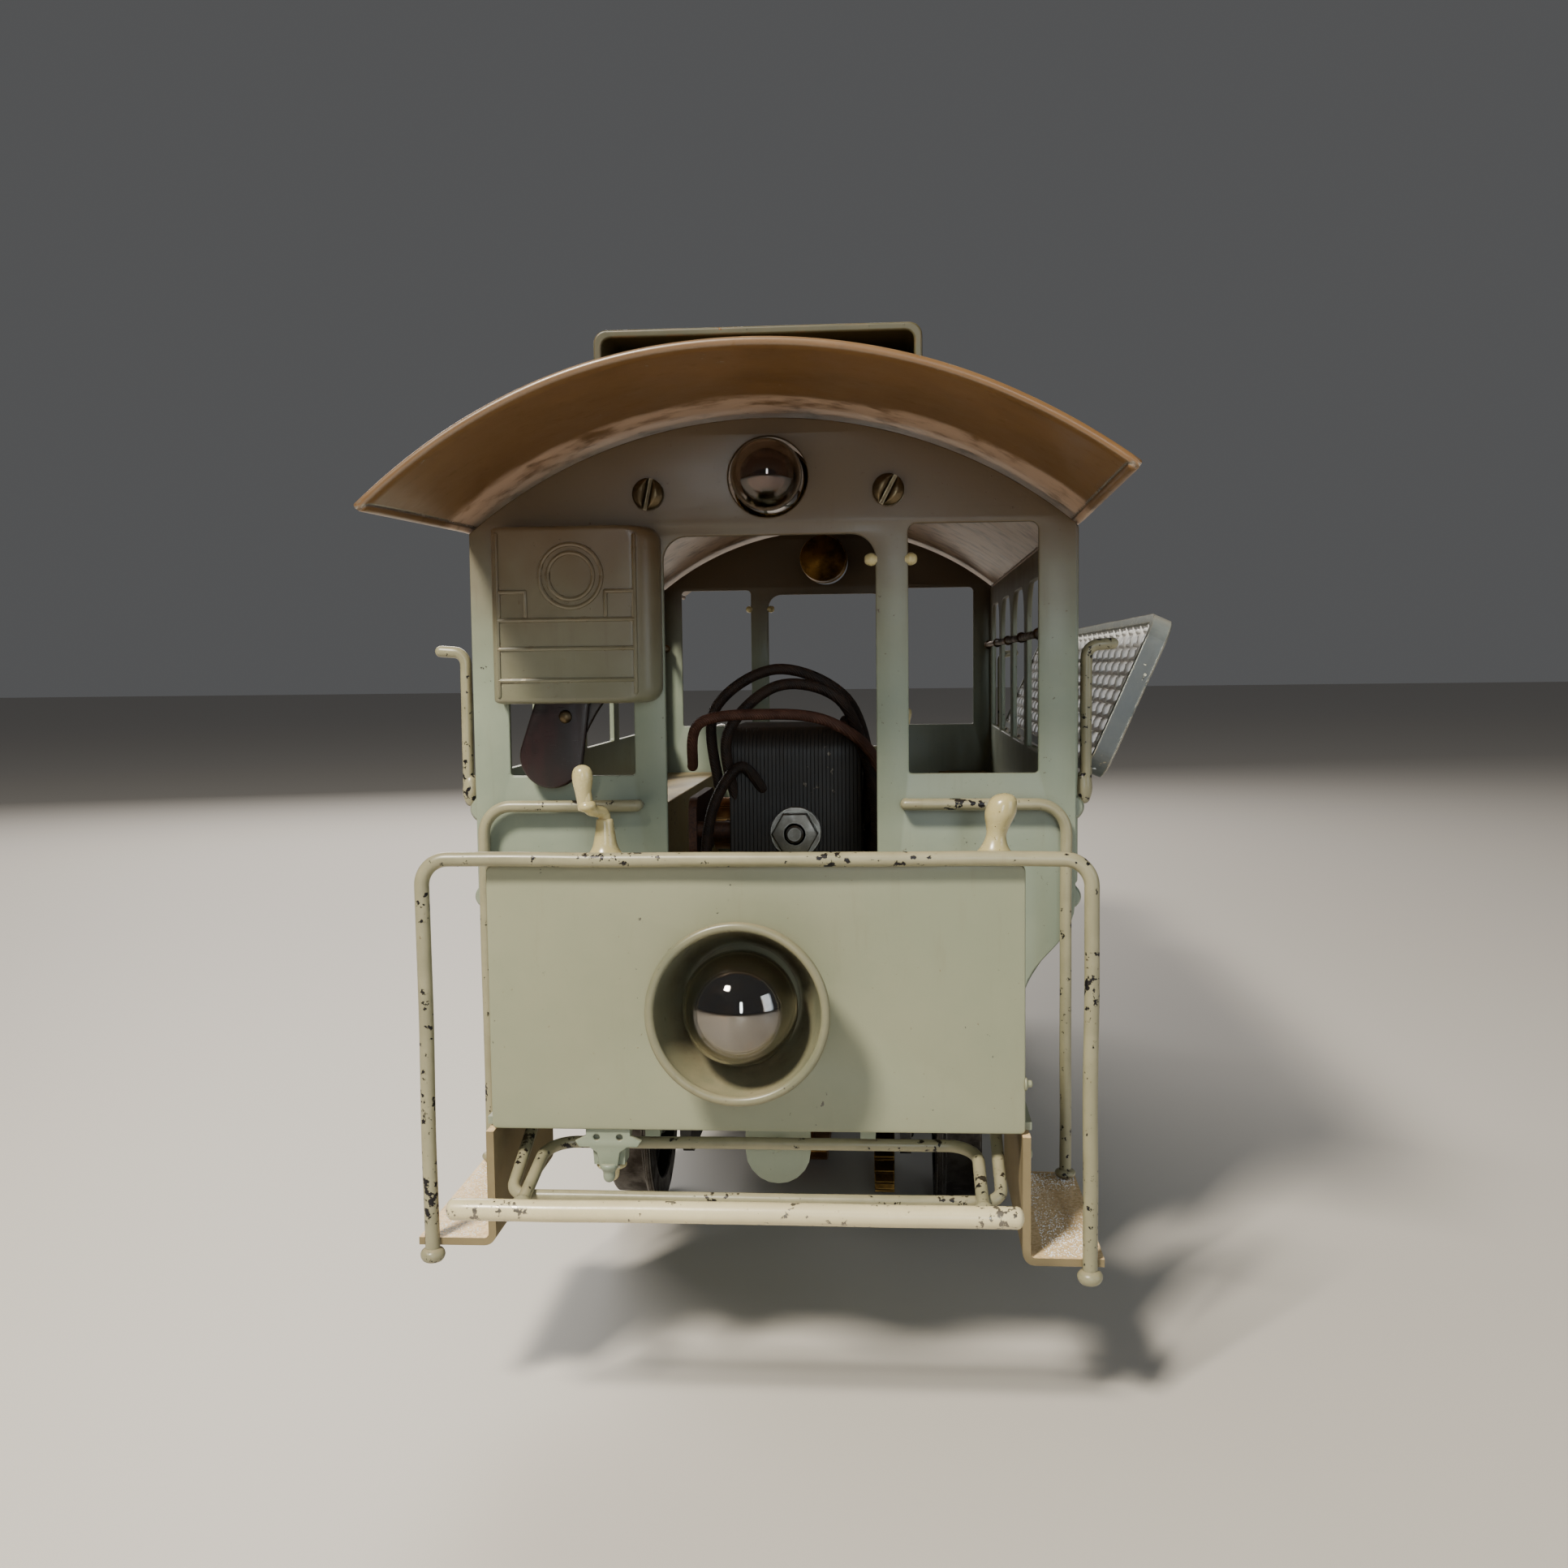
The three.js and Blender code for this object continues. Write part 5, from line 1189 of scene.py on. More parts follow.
def makeRoofBoard():
    # a folded tray on the roof, with soldered corners
    bm = bmesh.new()
    addRefined(bm, "roof_board", 0.35, segments=3)
    finishPiece(bm, "roofBoard", "car", [boardPaint], ["roof_board"], sharp=50, weighted=True)


makeRoofBoard()
print("roof")

# rails, steps and rods at each end

rodShapes = {
    "rail": {"halfWidth": 42.15, "top": 72.0, "y": -123.4, "radius": 0.95, "bend": 3.4, "foot": 1.6},
    "stanchion": {"inner": 19.6, "x": 42.4, "top": 76.0, "reach": 2.0, "radius": 0.85, "bend": 4.2},
    "hook": {"x": 45.7, "tip": 50.0, "y": -88.75, "top": 98.5, "foot": 78.0, "radius": 0.85, "bend": 2.6},
}


def addPad(bm, place, radius, squash, normal=(0, 0, 1)):
    # the flattened blob where a rod is soldered down
    profile = [(0, -radius * squash), (radius * 0.72, -radius * squash * 0.82), (radius, 0),
               (radius * 0.8, radius * squash * 0.75), (0, radius * squash * 1.25)]
    addSpin(bm, roundedProfile(profile, 4), place, normal, 24)


def makeRail(prefix, rear):
    shape = rodShapes["rail"]
    low = boxOf("front_guard_rail")[0].z
    lift = 0 if rear else 1.4
    x, y, top = shape["halfWidth"], shape["y"], shape["top"]
    footZ = low + shape["foot"] * 0.6
    corners = [(-x, y, footZ + lift), (-x, y, top), (x, y, top), (x, y, footZ)]
    path = wobbled(bendPath(corners, shape["bend"], 12), 0.16, 2 if rear else 6)
    bm = bmesh.new()
    addSweep(bm, path, shape["radius"], 20)
    for corner in (corners[0], corners[3]):
        addPad(bm, corner, shape["foot"], 0.6)
    finishPiece(bm, prefix + "GuardRail", "car", [creamPaint], [prefix + "_guard_rail"], rear)


def makeStanchion(prefix, side, sign, rear):
    shape = rodShapes["stanchion"]
    foot = boxOf("%s_%s_stanchion" % (prefix, side))[0].z
    y = wallFace - shape["reach"]
    corners = [(sign * shape["inner"], wallFace - 0.3, shape["top"]),
               (sign * shape["inner"], y, shape["top"]),
               (sign * shape["x"], y, shape["top"]), (sign * shape["x"], y, foot + 0.3)]
    path = bendPath(corners[1:], shape["bend"], 12)
    end = [Vector((sign * shape["inner"], y + 0.35, shape["top"]))]
    path = wobbled(path, 0.14, 11 + sign)
    bm = bmesh.new()
    addSweep(bm, path, shape["radius"], 20)
    addSweep(bm, [end[0] + Vector((0, 1.2, 0)), end[0] + Vector((0, 0.4, 0)), path[0].copy()],
             shape["radius"] * 0.95, 16)
    addPad(bm, (sign * shape["x"], y, foot + 0.55), 1.5, 0.45)
    name = "%s%sStanchion" % (prefix, side.capitalize())
    finishPiece(bm, name, "car", [creamPaint], ["%s_%s_stanchion" % (prefix, side)], rear)


def makeHook(prefix, side, sign, rear):
    shape = rodShapes["hook"]
    y = shape["y"]
    corners = [(sign * (shape["tip"] - 0.6), y, shape["top"] + 0.3), (sign * shape["x"], y, shape["top"]),
               (sign * shape["x"], y, shape["foot"])]
    bm = bmesh.new()
    addSweep(bm, wobbled(bendPath(corners, shape["bend"], 12, 2.0), 0.12, 20 + sign), shape["radius"], 20)
    # the foot is hammered flat against the side
    foot = Vector((sign * (shape["x"] - 0.35), y, shape["foot"]))
    profile = [(0, -2.4), (0.75, -2.1), (1.25, -0.6), (1.2, 0.9), (0.85, 2.0), (0, 2.6)]
    addSpin(bm, roundedProfile(profile, 4), foot, (0, 0, 1), 24)
    name = "%s%sHook" % (prefix, side.capitalize())
    finishPiece(bm, name, "car", [creamPaint], ["%s_%s_hook" % (prefix, side)], rear)


def makeStep(prefix, side, sign, rear):
    # one bent strip: a riser down from the floor and a tread turned outwards
    low, high = boxOf("%s_%s_step" % (prefix, side))
    if rear:
        low, high = Vector((-high.x, -high.y, low.z)), Vector((-low.x, -low.y, high.z))
    treads = high.z
    inner = 34.8 - sheet
    outer = 44.0
    foot = low.z
    bend = 1.6
    line = [(inner, treads)] + arc(inner + bend, foot + bend, bend, 180, 270, 6) + [(outer, foot)]
    outline = line + [(outer, foot + sheet)] + arc(inner + bend, foot + bend, bend - sheet, 270, 180, 6)
    outline += [(inner + sheet, treads)]
    bm = bmesh.new()
    count = 44
    rows = []
    for k in range(count + 1):
        y = low.y + (high.y - low.y) * k / count
        row = []
        for x, z in outline:
            bow = noise.noise(Vector((x * 0.05, y * 0.07, 9.1 + sign))) * 0.28 * max(0, (x - 38) / 6)
            row.append(bm.verts.new(Vector((sign * x, y, z + bow))))
        rows.append(row)
    for first, second in zip(rows, rows[1:]):
        skin(bm, first, second)
    n = len(outline)
    for row in (rows[0], rows[-1]):
        for i in range(n // 2 - 1 + n % 2):
            corners = row[i], row[i + 1], row[n - 2 - i], row[n - 1 - i]
            if len(set(corners)) == 4:
                bm.faces.new(corners)
    smoothAll(bm.faces)
    name = "%s%sStep" % (prefix, side.capitalize())
    finishPiece(bm, name, "car", [treadPaint], ["%s_%s_step" % (prefix, side)], rear, sharp=35)


for prefix, rear in carEnds:
    makeRail(prefix, rear)
    for side, sign in carSides:
        makeStanchion(prefix, side, sign, rear)
        makeHook(prefix, side, sign, rear)
        makeStep(prefix, side, sign, rear)
print("rails, steps and rods")

fenderShape = {
    "bar": (-131.25, 29.4, 1.35, -37.7, 33.3),  # y, z, radius, from, to
    "hanger": (28.5, -115.25, 33.0, 0.8),
    "rear": (31.0, -126.25, -110.25, 0.8),
}


def makeFender(prefix, rear):
    y, z, radius, start, end = fenderShape["bar"]
    bar = bmesh.new()
    path = [Vector((start + radius * 0.6, y, z)), Vector(((start + end) / 2, y, z + 0.12)),
            Vector((end - radius * 0.6, y, z))]
    addSweep(bar, wobbled(bendPath(path, 1), 0.15, 31), radius, 28, flatness=0.6)
    finishPiece(bar, prefix + "FenderBar", "car", [rubbedCream], rear=rear)
    bm = bmesh.new()
    half, rung, height, wire = fenderShape["hanger"]
    corners = [(-half, y + 0.6, z + 0.4), (-half, rung, height), (half, rung, height),
               (half, y + 0.6, z + 0.4)]
    addSweep(bm, wobbled(bendPath(corners, 4, 12), 0.15, 33), wire, 18)
    half, front, back, wire = fenderShape["rear"]
    top = floorTop - sheet - floorGap - wire
    corners = [(-half, back, top), (-half, front, z), (half, front, z), (half, back, top)]
    addSweep(bm, wobbled(bendPath(corners, 2.4, 12), 0.12, 37), wire, 18)
    for sign in (-1, 1):
        addPad(bm, (sign * fenderShape["hanger"][0], y + 0.9, z + 0.35), 1.25, 0.8, (0, 1, 0.3))
    finishPiece(bm, prefix + "FenderRods", "car", [creamPaint], [prefix + "_fender"], rear)


for prefix, rear in carEnds:
    makeFender(prefix, rear)
print("fenders")

# headlights and roof lamps

headlightShape = {
    "x": -1.2,
    "z": 54.0,
    "base": -122.45,  # the cup's seat on the dash
    # radius and distance ahead of the seat, outer face then inner
    "outer": [(8.0, 0.0), (8.45, 0.35), (9.15, 2.2), (10.1, 4.6), (10.75, 6.8), (10.95, 8.1)],
    "inner": [(10.35, 8.0), (10.0, 6.6), (9.3, 4.4), (8.4, 2.3), (7.7, 1.0), (7.2, 0.8)],
    "bead": (10.75, 8.4, 0.6),
    "globe": 7.2,
    "globeY": -127.25,
    "neck": 4.3,
    "neckEnd": -119.65,
    "silver": 0.93,  # the mirrored ball inside, as a share of the glass
}


def makeHeadlight(prefix, rear):
    shape = headlightShape
    seat = (shape["x"], shape["base"], shape["z"])
    outer = [tuple(p) for p in roundedProfile(shape["outer"], 4)]
    inner = [tuple(p) for p in roundedProfile(shape["inner"], 4)]
    rim = arc(*shape["bead"], -40, 190, 12)
    profile = outer + rim + inner + [(7.2, 0.0)]
    bm = bmesh.new()
    addSpin(bm, profile, seat, (0, -1, 0), 96)
    finishPiece(bm, prefix + "HeadlightCup", "car", [cupPaint], [prefix + "_headlight_cup"],
                rear)
    # clear globe: outer wall, then inner wall, closed at the neck
    radius, neck, centre = shape["globe"], shape["neck"], shape["globeY"]
    reach = shape["neckEnd"] - centre

    def globeLine(size, neckSize):
        start = math.asin(neckSize / size)
        line = []
        for i in range(33):
            angle = start + (math.pi - start) * i / 32
            line.append((size * math.sin(angle), -size * math.cos(angle)))
        return line

    # distances run forwards from the neck's end
    shell = [(neck, 0.0)] + [(r, reach + d) for r, d in globeLine(radius, neck)]
    shell[-1] = (0.0, reach + radius)
    back = [(r, reach + d) for r, d in globeLine(radius - 0.3, neck - 0.3)]
    back[-1] = (0.0, reach + radius - 0.3)
    bm = bmesh.new()
    addSpin(bm, [(0.0, 0.0)] + shell, (shape["x"], shape["neckEnd"], shape["z"]), (0, -1, 0), 80)
    addSpin(bm, [(0.0, 1.0), (neck - 0.3, 1.0)] + back, (shape["x"], shape["neckEnd"], shape["z"]),
            (0, -1, 0), 80)
    piece = finishPiece(bm, prefix + "HeadlightGlobe", "car", [clearGlass], [prefix + "_headlight_bulb"],
                        rear, sharp=60)
    flipInner(piece)
    bm = bmesh.new()
    size = radius * shape["silver"]
    ball = [(0.0, -size)] + [(size * math.sin(math.pi * i / 32), -size * math.cos(math.pi * i / 32))
                             for i in range(1, 32)] + [(0.0, size)]
    addSpin(bm, ball, (shape["x"], centre + 0.2, shape["z"]), (0, -1, 0), 72)
    stem = [(0.0, -3.0), (1.6, -3.0), (1.6, 1.6), (2.1, 2.4), (0.0, 2.6)]
    addSpin(bm, stem, (shape["x"], shape["neckEnd"] - 1.0, shape["z"]), (0, -1, 0), 24)
    finishPiece(bm, prefix + "HeadlightSilver", "car", [silvering], rear=rear, sharp=60)
    makeSocket(prefix + "HeadlightSocket", [prefix + "_headlight_socket"], rear,
               (shape["x"], boxOf("front_headlight_socket")[0].y, shape["z"]), 5.6, 4.6, 10.0, 1.5)


def flipInner(piece):
    # the glass has an inside wall, whose faces point into the hollow
    bm = bmesh.new()
    bm.from_mesh(piece.data)
    islands = []
    seen = set()
    for vert in bm.verts:
        if vert in seen:
            continue
        stack, island = [vert], []
        seen.add(vert)
        while stack:
            current = stack.pop()
            island.append(current)
            for edge in current.link_edges:
                other = edge.other_vert(current)
                if other not in seen:
                    seen.add(other)
                    stack.append(other)
        islands.append(island)
    spans = [max(v.co.x for v in island) - min(v.co.x for v in island) for island in islands]
    smaller = islands[spans.index(min(spans))]
    inside = set(smaller)
    bmesh.ops.reverse_faces(bm, faces=[f for f in bm.faces if f.verts[0] in inside])
    bm.to_mesh(piece.data)
    bm.free()


def makeSocket(name, nodes, rear, front, radius, bore, length, recess):
    # a turned sleeve with a rolled screw thread
    turns = 5
    profile = [(0.0, recess), (bore, recess), (bore, 0.25), (bore + 0.2, 0.0), (radius - 0.25, 0.0),
               (radius, 0.25)]
    start, end = 1.2, length - 2.4
    for i in range(turns * 4 + 1):
        share = i / (turns * 4)
        profile.append((radius - 0.16 + 0.16 * math.cos(2 * math.pi * turns * share),
                        start + (end - start) * share))
    profile += [(radius, length - 1.6), (radius - 0.2, length - 0.9), (radius * 0.72, length - 0.3),
                (radius * 0.3, length - 0.15), (radius * 0.25, length), (0.0, length)]
    bm = bmesh.new()
    addSpin(bm, profile, front, (0, 1, 0), 48)
    finishPiece(bm, name, "car", [agedAndShadedBrass], nodes, rear)


lampShape = {"z": 123.2, "radius": 5.15, "front": -98.75, "length": 20.0, "wall": 0.4}


def makeRoofLamp(prefix, rear):
    shape = lampShape
    radius, wall, length = shape["radius"], shape["wall"], shape["length"]
    back = shape["front"] + length

    def bulbLine(size, first, last):
        line = [(0.0, first), (size * 0.82, first), (size * 0.93, first + 0.5), (size, first + 2.5)]
        dome = last - size
        line += [(size, dome)]
        line += [(size * math.cos(math.pi / 2 * i / 18), dome + size * math.sin(math.pi / 2 * i / 18))
                 for i in range(1, 18)]
        return line + [(0.0, last)]

    bm = bmesh.new()
    addSpin(bm, bulbLine(radius, 0.0, length), (0, back, shape["z"]), (0, -1, 0), 64)
    addSpin(bm, bulbLine(radius - wall, wall, length - wall), (0, back, shape["z"]), (0, -1, 0), 64)
    piece = finishPiece(bm, prefix + "LampBulb", "car", [smokedGlass], [prefix + "_lamp_bulb"],
                        rear,
                        sharp=60)
    flipInner(piece)
    bm = bmesh.new()
    film = bulbLine(radius - wall - 0.9, 1.5, length - wall - 1.5)
    addSpin(bm, film, (0, back, shape["z"]), (0, -1, 0), 56)
    finishPiece(bm, prefix + "LampFilm", "car", [violetFilm], rear=rear, sharp=60)
    low, high = boxOf("front_lamp_socket")
    makeSocket(prefix + "LampSocket", [prefix + "_lamp_socket"], rear, (0, low.y, shape["z"]), 6.0, 5.45,
               high.y - low.y, 3.0)


for prefix, rear in carEnds:
    makeHeadlight(prefix, rear)
    makeRoofLamp(prefix, rear)
print("lamps")

# brake staffs and controller handles

handleShape = {
    "staff": (-19.2, -119.25, 1.1, 29.4, 77.6),  # x, y, radius, foot, top
    "throw": (-1.6, -2.8),
    "gripTop": 84.0,
    "knob": (30.4, -119.25, 1.4, 79.8),  # x, y, lean, top
    "seat": 71.7,
}


def makeBrakeHandle(prefix, rear):
    x, y, radius, foot, top = handleShape["staff"]
    throwX, throwY = handleShape["throw"]
    bm = bmesh.new()
    path = bendPath([(x, y, foot + 0.7), (x, y, top), (x + throwX, y + throwY, top + 0.6),
                     (x + throwX * 1.35, y + throwY, handleShape["gripTop"] - 1.4)], 1.1, 8, 2.5)
    full, neck = radius * 0.9, radius * 0.72
    addSweep(bm, path, lambda share: full if share < 0.8 else max(neck, full - (share - 0.8) * 4), 20)
    bead = [(0, -0.75), (0.8, -0.6), (1.2, 0), (0.85, 0.6), (0, 0.75)]
    addSpin(bm, roundedProfile(bead, 3), (x + throwX * 1.05, y + throwY, top + 1.0), (-0.1, 0, 1), 24)
    collar = [(0, 0), (2.3, 0), (2.5, 0.3), (2.0, 0.8), (1.6, 1.6), (1.35, 2.8), (1.15, 4.2), (1.0, 5.0),
              (0, 5.1)]
    addSpin(bm, roundedProfile(collar, 3), (x, y, handleShape["seat"]), (0, 0, 1), 36)
    grip = [(0, 0), (0.7, 0.0), (0.8, 0.8), (1.0, 2.2), (1.25, 3.5), (1.3, 4.5), (1.05, 5.3), (0.5, 5.7),
            (0, 5.8)]
    base = handleShape["gripTop"] - 5.9
    addSpin(bm, roundedProfile(grip, 4), (x + throwX * 1.3, y + throwY, base), (-0.03, 0, 1), 32)
    # a pinned washer at the staff's foot
    washer = [(0, 0), (1.9, 0), (2.0, 0.25), (1.9, 0.5), (0, 0.5)]
    addSpin(bm, washer, (x, y, 31.1), (0, 0, 1), 28)
    finishPiece(bm, prefix + "BrakeStaff", prefix + "_brake", [ivoryPaint], [prefix + "_brake_staff"],
                rear)


def makeControllerHandle(prefix, rear):
    x, y, lean, top = handleShape["knob"]
    seat = handleShape["seat"]
    bm = bmesh.new()
    spindle = [(0, 0), (1.0, 0), (1.1, 0.2), (1.1, 33.0), (0, 33.4)]
    addSpin(bm, spindle, (x, y, floorTop + 0.35), (0, 0, 1), 24)
    rise = top - seat
    line = [(0, 0), (2.65, 0), (2.8, 0.25), (2.3, 0.6), (1.75, 1.3), (1.35, 2.3), (1.3, 3.1), (1.55, 4.1),
            (1.9, 5.2), (1.95, 6.1), (1.7, 7.2), (1.05, 7.85), (0, rise)]
    part = bmesh.new()
    addSpin(part, roundedProfile(line, 4), (0, 0, 0), (0, 0, 1), 40)
    for vert in part.verts:
        height = vert.co.z
        vert.co.x += lean * (height / rise) ** 1.3 if height > 0 else 0
        vert.co += Vector((x, y, seat))
    mergeIn(bm, part)
    finishPiece(bm, prefix + "ControllerHandle", prefix + "_controller", [ivoryPaint],
                [prefix + "_controller_handle"], rear)


for prefix, rear in carEnds:
    makeBrakeHandle(prefix, rear)
    makeControllerHandle(prefix, rear)
print("handles")

# the switch on the front wall

switchShape = {
    "left": -39.7,
    "right": -15.6,
    "foot": 91.0,
    "top": 116.4,
    "back": -91.55,
    "front": -96.25,
    "smallRound": 1.2,
    "bigRound": 4.0,
    "edge": 0.6,
    "corner": 2.4,
    "pivot": (-28.6, 97.0),
    "lean": 13.0,
    "length": 14.0,
    "neck": 3.3,
    "end": 4.7,
    "leaf": 1.2,
    "leafFront": -94.59,
}


def makeSwitchCase():
    shape = switchShape
    small, big = shape["smallRound"], shape["bigRound"]

    def plan(inset, back, z):
        near = min(z - shape["foot"], shape["top"] - z)
        gap = max(0, shape["corner"] - near)
        corner = shape["corner"] - math.sqrt(max(0, shape["corner"] ** 2 - gap ** 2))
        left, right, front = shape["left"] + inset, shape["right"] - inset - corner, shape["front"] + inset
        line = [(left, back)] + arc(left + small, front + small, max(0.2, small - inset), 180, 270, 6)
        line += arc(right - big, front + big, max(0.2, big - inset), 270, 360, 14) + [(right, back)]
        return line

    edge = shape["edge"]
    levels = []
    for k in range(5):
        angle = math.pi / 2 * k / 4
        levels.append((edge * (1 - math.sin(angle)), shape["foot"] + edge * (1 - math.cos(angle))))
    levels += [(0.0, shape["foot"] + z) for z in (0.9, 1.3, 1.8, 2.4)]
    levels += [(inset, shape["foot"] + shape["top"] - z) for inset, z in reversed(levels)]
    bm = bmesh.new()

    def wall(extra, rows):
        return [[bm.verts.new(Vector((x, y, z))) for x, y in plan(inset + extra, shape["back"], z)]
                for inset, z in rows]

    outer = wall(0.0, levels)
    innerLevels = [(0.0, shape["foot"] + 1.0), (0.0, shape["top"] - 1.0)]
    inner = wall(1.0, innerLevels)
    count = len(outer[0])
    for rows in (outer, inner):
        for first, second in zip(rows, rows[1:]):
            for i in range(count - 1):
                face = bm.faces.new((first[i], first[i + 1], second[i + 1], second[i]))
                face.smooth = True
    # floor and lid, outside and inside, then the rim that joins them at the back
    for row in (outer[0], outer[-1]):
        bm.faces.new(row)
    for row in (inner[0], inner[-1]):
        bm.faces.new(row)
    leftOut = [row[0] for row in outer]
    rightOut = [row[-1] for row in outer]
    loop = leftOut + rightOut[::-1]
    hole = [inner[0][0], inner[1][0], inner[1][-1], inner[0][-1]]
    flat = [[Vector((v.co.x, v.co.z, 0)) for v in loop], [Vector((v.co.x, v.co.z, 0)) for v in hole]]
    verts = loop + hole
    for a, b, c in geometry.tessellate_polygon(flat):
        bm.faces.new((verts[a], verts[b], verts[c]))
    # raised ring and ribs, pressed from behind
    face = shape["front"]
    wire = 0.34

    def rib(points):
        addSweep(bm, [Vector((x, face + 0.02, z)) for x, z in points], wire, 8, capRings=2)

    ring = (-28.0, 109.2)
    rib(arc(*ring, 4.5, 0, 360, 48))
    rib(arc(*ring, 3.3, 0, 360, 44))
    for z in (103.0, 98.9, 94.4):
        rib([(shape["left"] + 1.0, z), (-28.0, z), (shape["right"] - 3.2, z)])
    for left, right in ((shape["left"] + 1.2, -34.6), (-23.0, shape["right"] - 3.4)):
        rib([(left, 107.0), (right, 107.0), (right, 103.6)])
        rib([(left, 103.6), (left, 107.0)])
    rib([(shape["left"] + 1.0, shape["foot"] + 1.2), (shape["left"] + 1.0, 104),
         (shape["left"] + 1.0, shape["top"] - 1.2)])
    rib([(shape["right"] - 3.2, shape["foot"] + 1.6), (shape["right"] - 3.2, 104),
         (shape["right"] - 3.2, shape["top"] - 1.6)])
    finishPiece(bm, "switchCase", "car", [switchPaint], ["switch_case"], sharp=38)


def makeSwitchLever():
    shape = switchShape
    x, z = shape["pivot"]
    lean = math.radians(shape["lean"])
    endX, endZ = x - shape["length"] * math.sin(lean), z - shape["length"] * math.cos(lean)
    tilt = -shape["lean"]
    front = arc(x, z, shape["neck"], tilt, 180 + tilt, 18)
    front += arc(endX, endZ, shape["end"], 180 + tilt, 360 + tilt, 26)
    bore = arc(x, z, 1.12, 0, 360, 24)[:-1]
    y, leaf = shape["leafFront"], shape["leaf"]
    bm = bmesh.new()
    addPlate(bm, front, [bore], leaf, 0.38, lambda a, b, d: Vector((a, y + d, b)), steps=4)

    def curve(start, bend, end, steps=10):
        return [((1 - t) ** 2 * start[0] + 2 * t * (1 - t) * bend[0] + t * t * end[0],
                 (1 - t) ** 2 * start[1] + 2 * t * (1 - t) * bend[1] + t * t * end[1])
                for t in (i / steps for i in range(steps + 1))]

    back = curve((x - 2, z), (x - 1, z - 9), (x + 0.2, z - 14))
    back += curve((x + 0.2, z - 14), (x + 2.6, z - 8), (x + 4.9, z - 5.4))
    back += curve((x + 4.9, z - 5.4), (x + 3.6, z + 1), (x, z + 2.4))
    addPlate(bm, back, [bore], leaf, 0.25, lambda a, b, d: Vector((a, y + leaf + d, b)), steps=3)
    finishPiece(bm, "switchLever", "switch", [resin], ["switch_lever"])
    bm = bmesh.new()
    head = [(0, -0.3), (0.95, -0.3), (0.98, 0.12), (0.8, 0.42), (0.45, 0.6), (0, 0.66)]
    addSpin(bm, head, (x - 0.9, y - 0.02, z - 7.9), (0, -1, 0), 28)
    finishPiece(bm, "switchRivet", "switch", [screwSteel])
    bm = bmesh.new()
    low, high = boxOf("switch_pin")
    pin = [(0, 0), (0.8, 0), (1.0, 0.25), (1.0, high.y - low.y - 0.3), (0, high.y - low.y)]
    addSpin(bm, pin, (x, low.y, z), (0, 1, 0), 28)
    finishPiece(bm, "switchPin", "car", [brightSteel], ["switch_pin"])


makeSwitchCase()
makeSwitchLever()
print("switch")

# the guard along the right side

guardShape = {
    "hinge": (45.8, sideWallShape["eyes"][1]),
    "lean": 24.0,
    "half": 86.25,
    "height": 27.4,
    "corner": 4.0,
    "low": 2.1,
    "rim": 1.4,
    "back": -0.8,
    "depth": 3.0,
    "gauge": 0.55,
    "weave": {"pitchUp": 2.35, "pitchAlong": 3.6, "wire": 0.4, "half": 84.8, "low": 3.0, "high": 25.9,
              "plane": 0.1},
}


def toGuard(bm):
    # from the guard's own upright place to where it leans
    turn = Matrix.Rotation(math.radians(guardShape["lean"]), 4, "Y")
    x, z = guardShape["hinge"]
    bmesh.ops.transform(bm, matrix=Matrix.Translation((x, 0, z)) @ turn, verts=bm.verts)


def makeGuardFrame():
    shape = guardShape
    half, height, corner = shape["half"], shape["height"], shape["corner"]
    low = shape["low"]
    edge = [(0, low)] + arc(-half + corner, low + corner, corner, 270, 180, 10)
    edge += arc(-half + corner, height - corner, corner, 180, 90, 10)
    edge += arc(half - corner, height - corner, corner, 90, 0, 10)
    edge += arc(half - corner, low + corner, corner, 0, -90, 10) + [(0, low)]
    path = bendPath([Vector((0, y, z)) for y, z in edge], 0.01, 1, 6.0)[:-1]
    # folded strip: an outer flange, and a lip behind the mesh
    gauge, back, front, rim = shape["gauge"], shape["back"], shape["back"] + shape["depth"], shape["rim"]
    section = [(0, back), (rim, back), (rim + 0.3, back + gauge / 2), (rim, back + gauge),
               (gauge, back + gauge),
               (gauge, front - gauge * 0.4), (gauge * 0.5, front), (0, front - gauge * 0.4)]
    bm = bmesh.new()
    rings = []
    for i, point in enumerate(path):
        tangent = (path[(i + 1) % len(path)] - path[i - 1]).normalized()
        inward = Vector((0, tangent.z, -tangent.y))
        ripple = noise.noise(Vector((point.y * 0.05, point.z * 0.05, 6.0))) * 0.12
        rings.append([bm.verts.new(point + inward * a + Vector((b + ripple, 0, 0))) for a, b in section])
    for first, second in zip(rings, rings[1:] + rings[:1]):
        skin(bm, first, second)
    bmesh.ops.recalc_face_normals(bm, faces=bm.faces[:])
    pin = [Vector((0, y, 0)) for y in (-half + corner, -40, 0, 40, half - corner)]
    addSweep(bm, pin, 0.8, 18, flatness=0.4)
    # a foot strip joins the mesh to the pin
    for y in range(-80, 81, 20):
        if abs(y) in (60, 0):
            continue
        profile = [(0.8, -2.0), (1.25, -1.8), (1.25, 1.8), (0.8, 2.0)]
        addSpin(bm, profile, (0, y, 0), (0, 1, 0), 20)
        addBlock(bm, (-0.5, y - 1.6, 0.5), (0.3, y + 1.6, low + 0.6), 0.2)
    toGuard(bm)
    finishPiece(bm, "guardFrame", "side_guard", [guardPaint], ["side_guard_frame"], sharp=42)


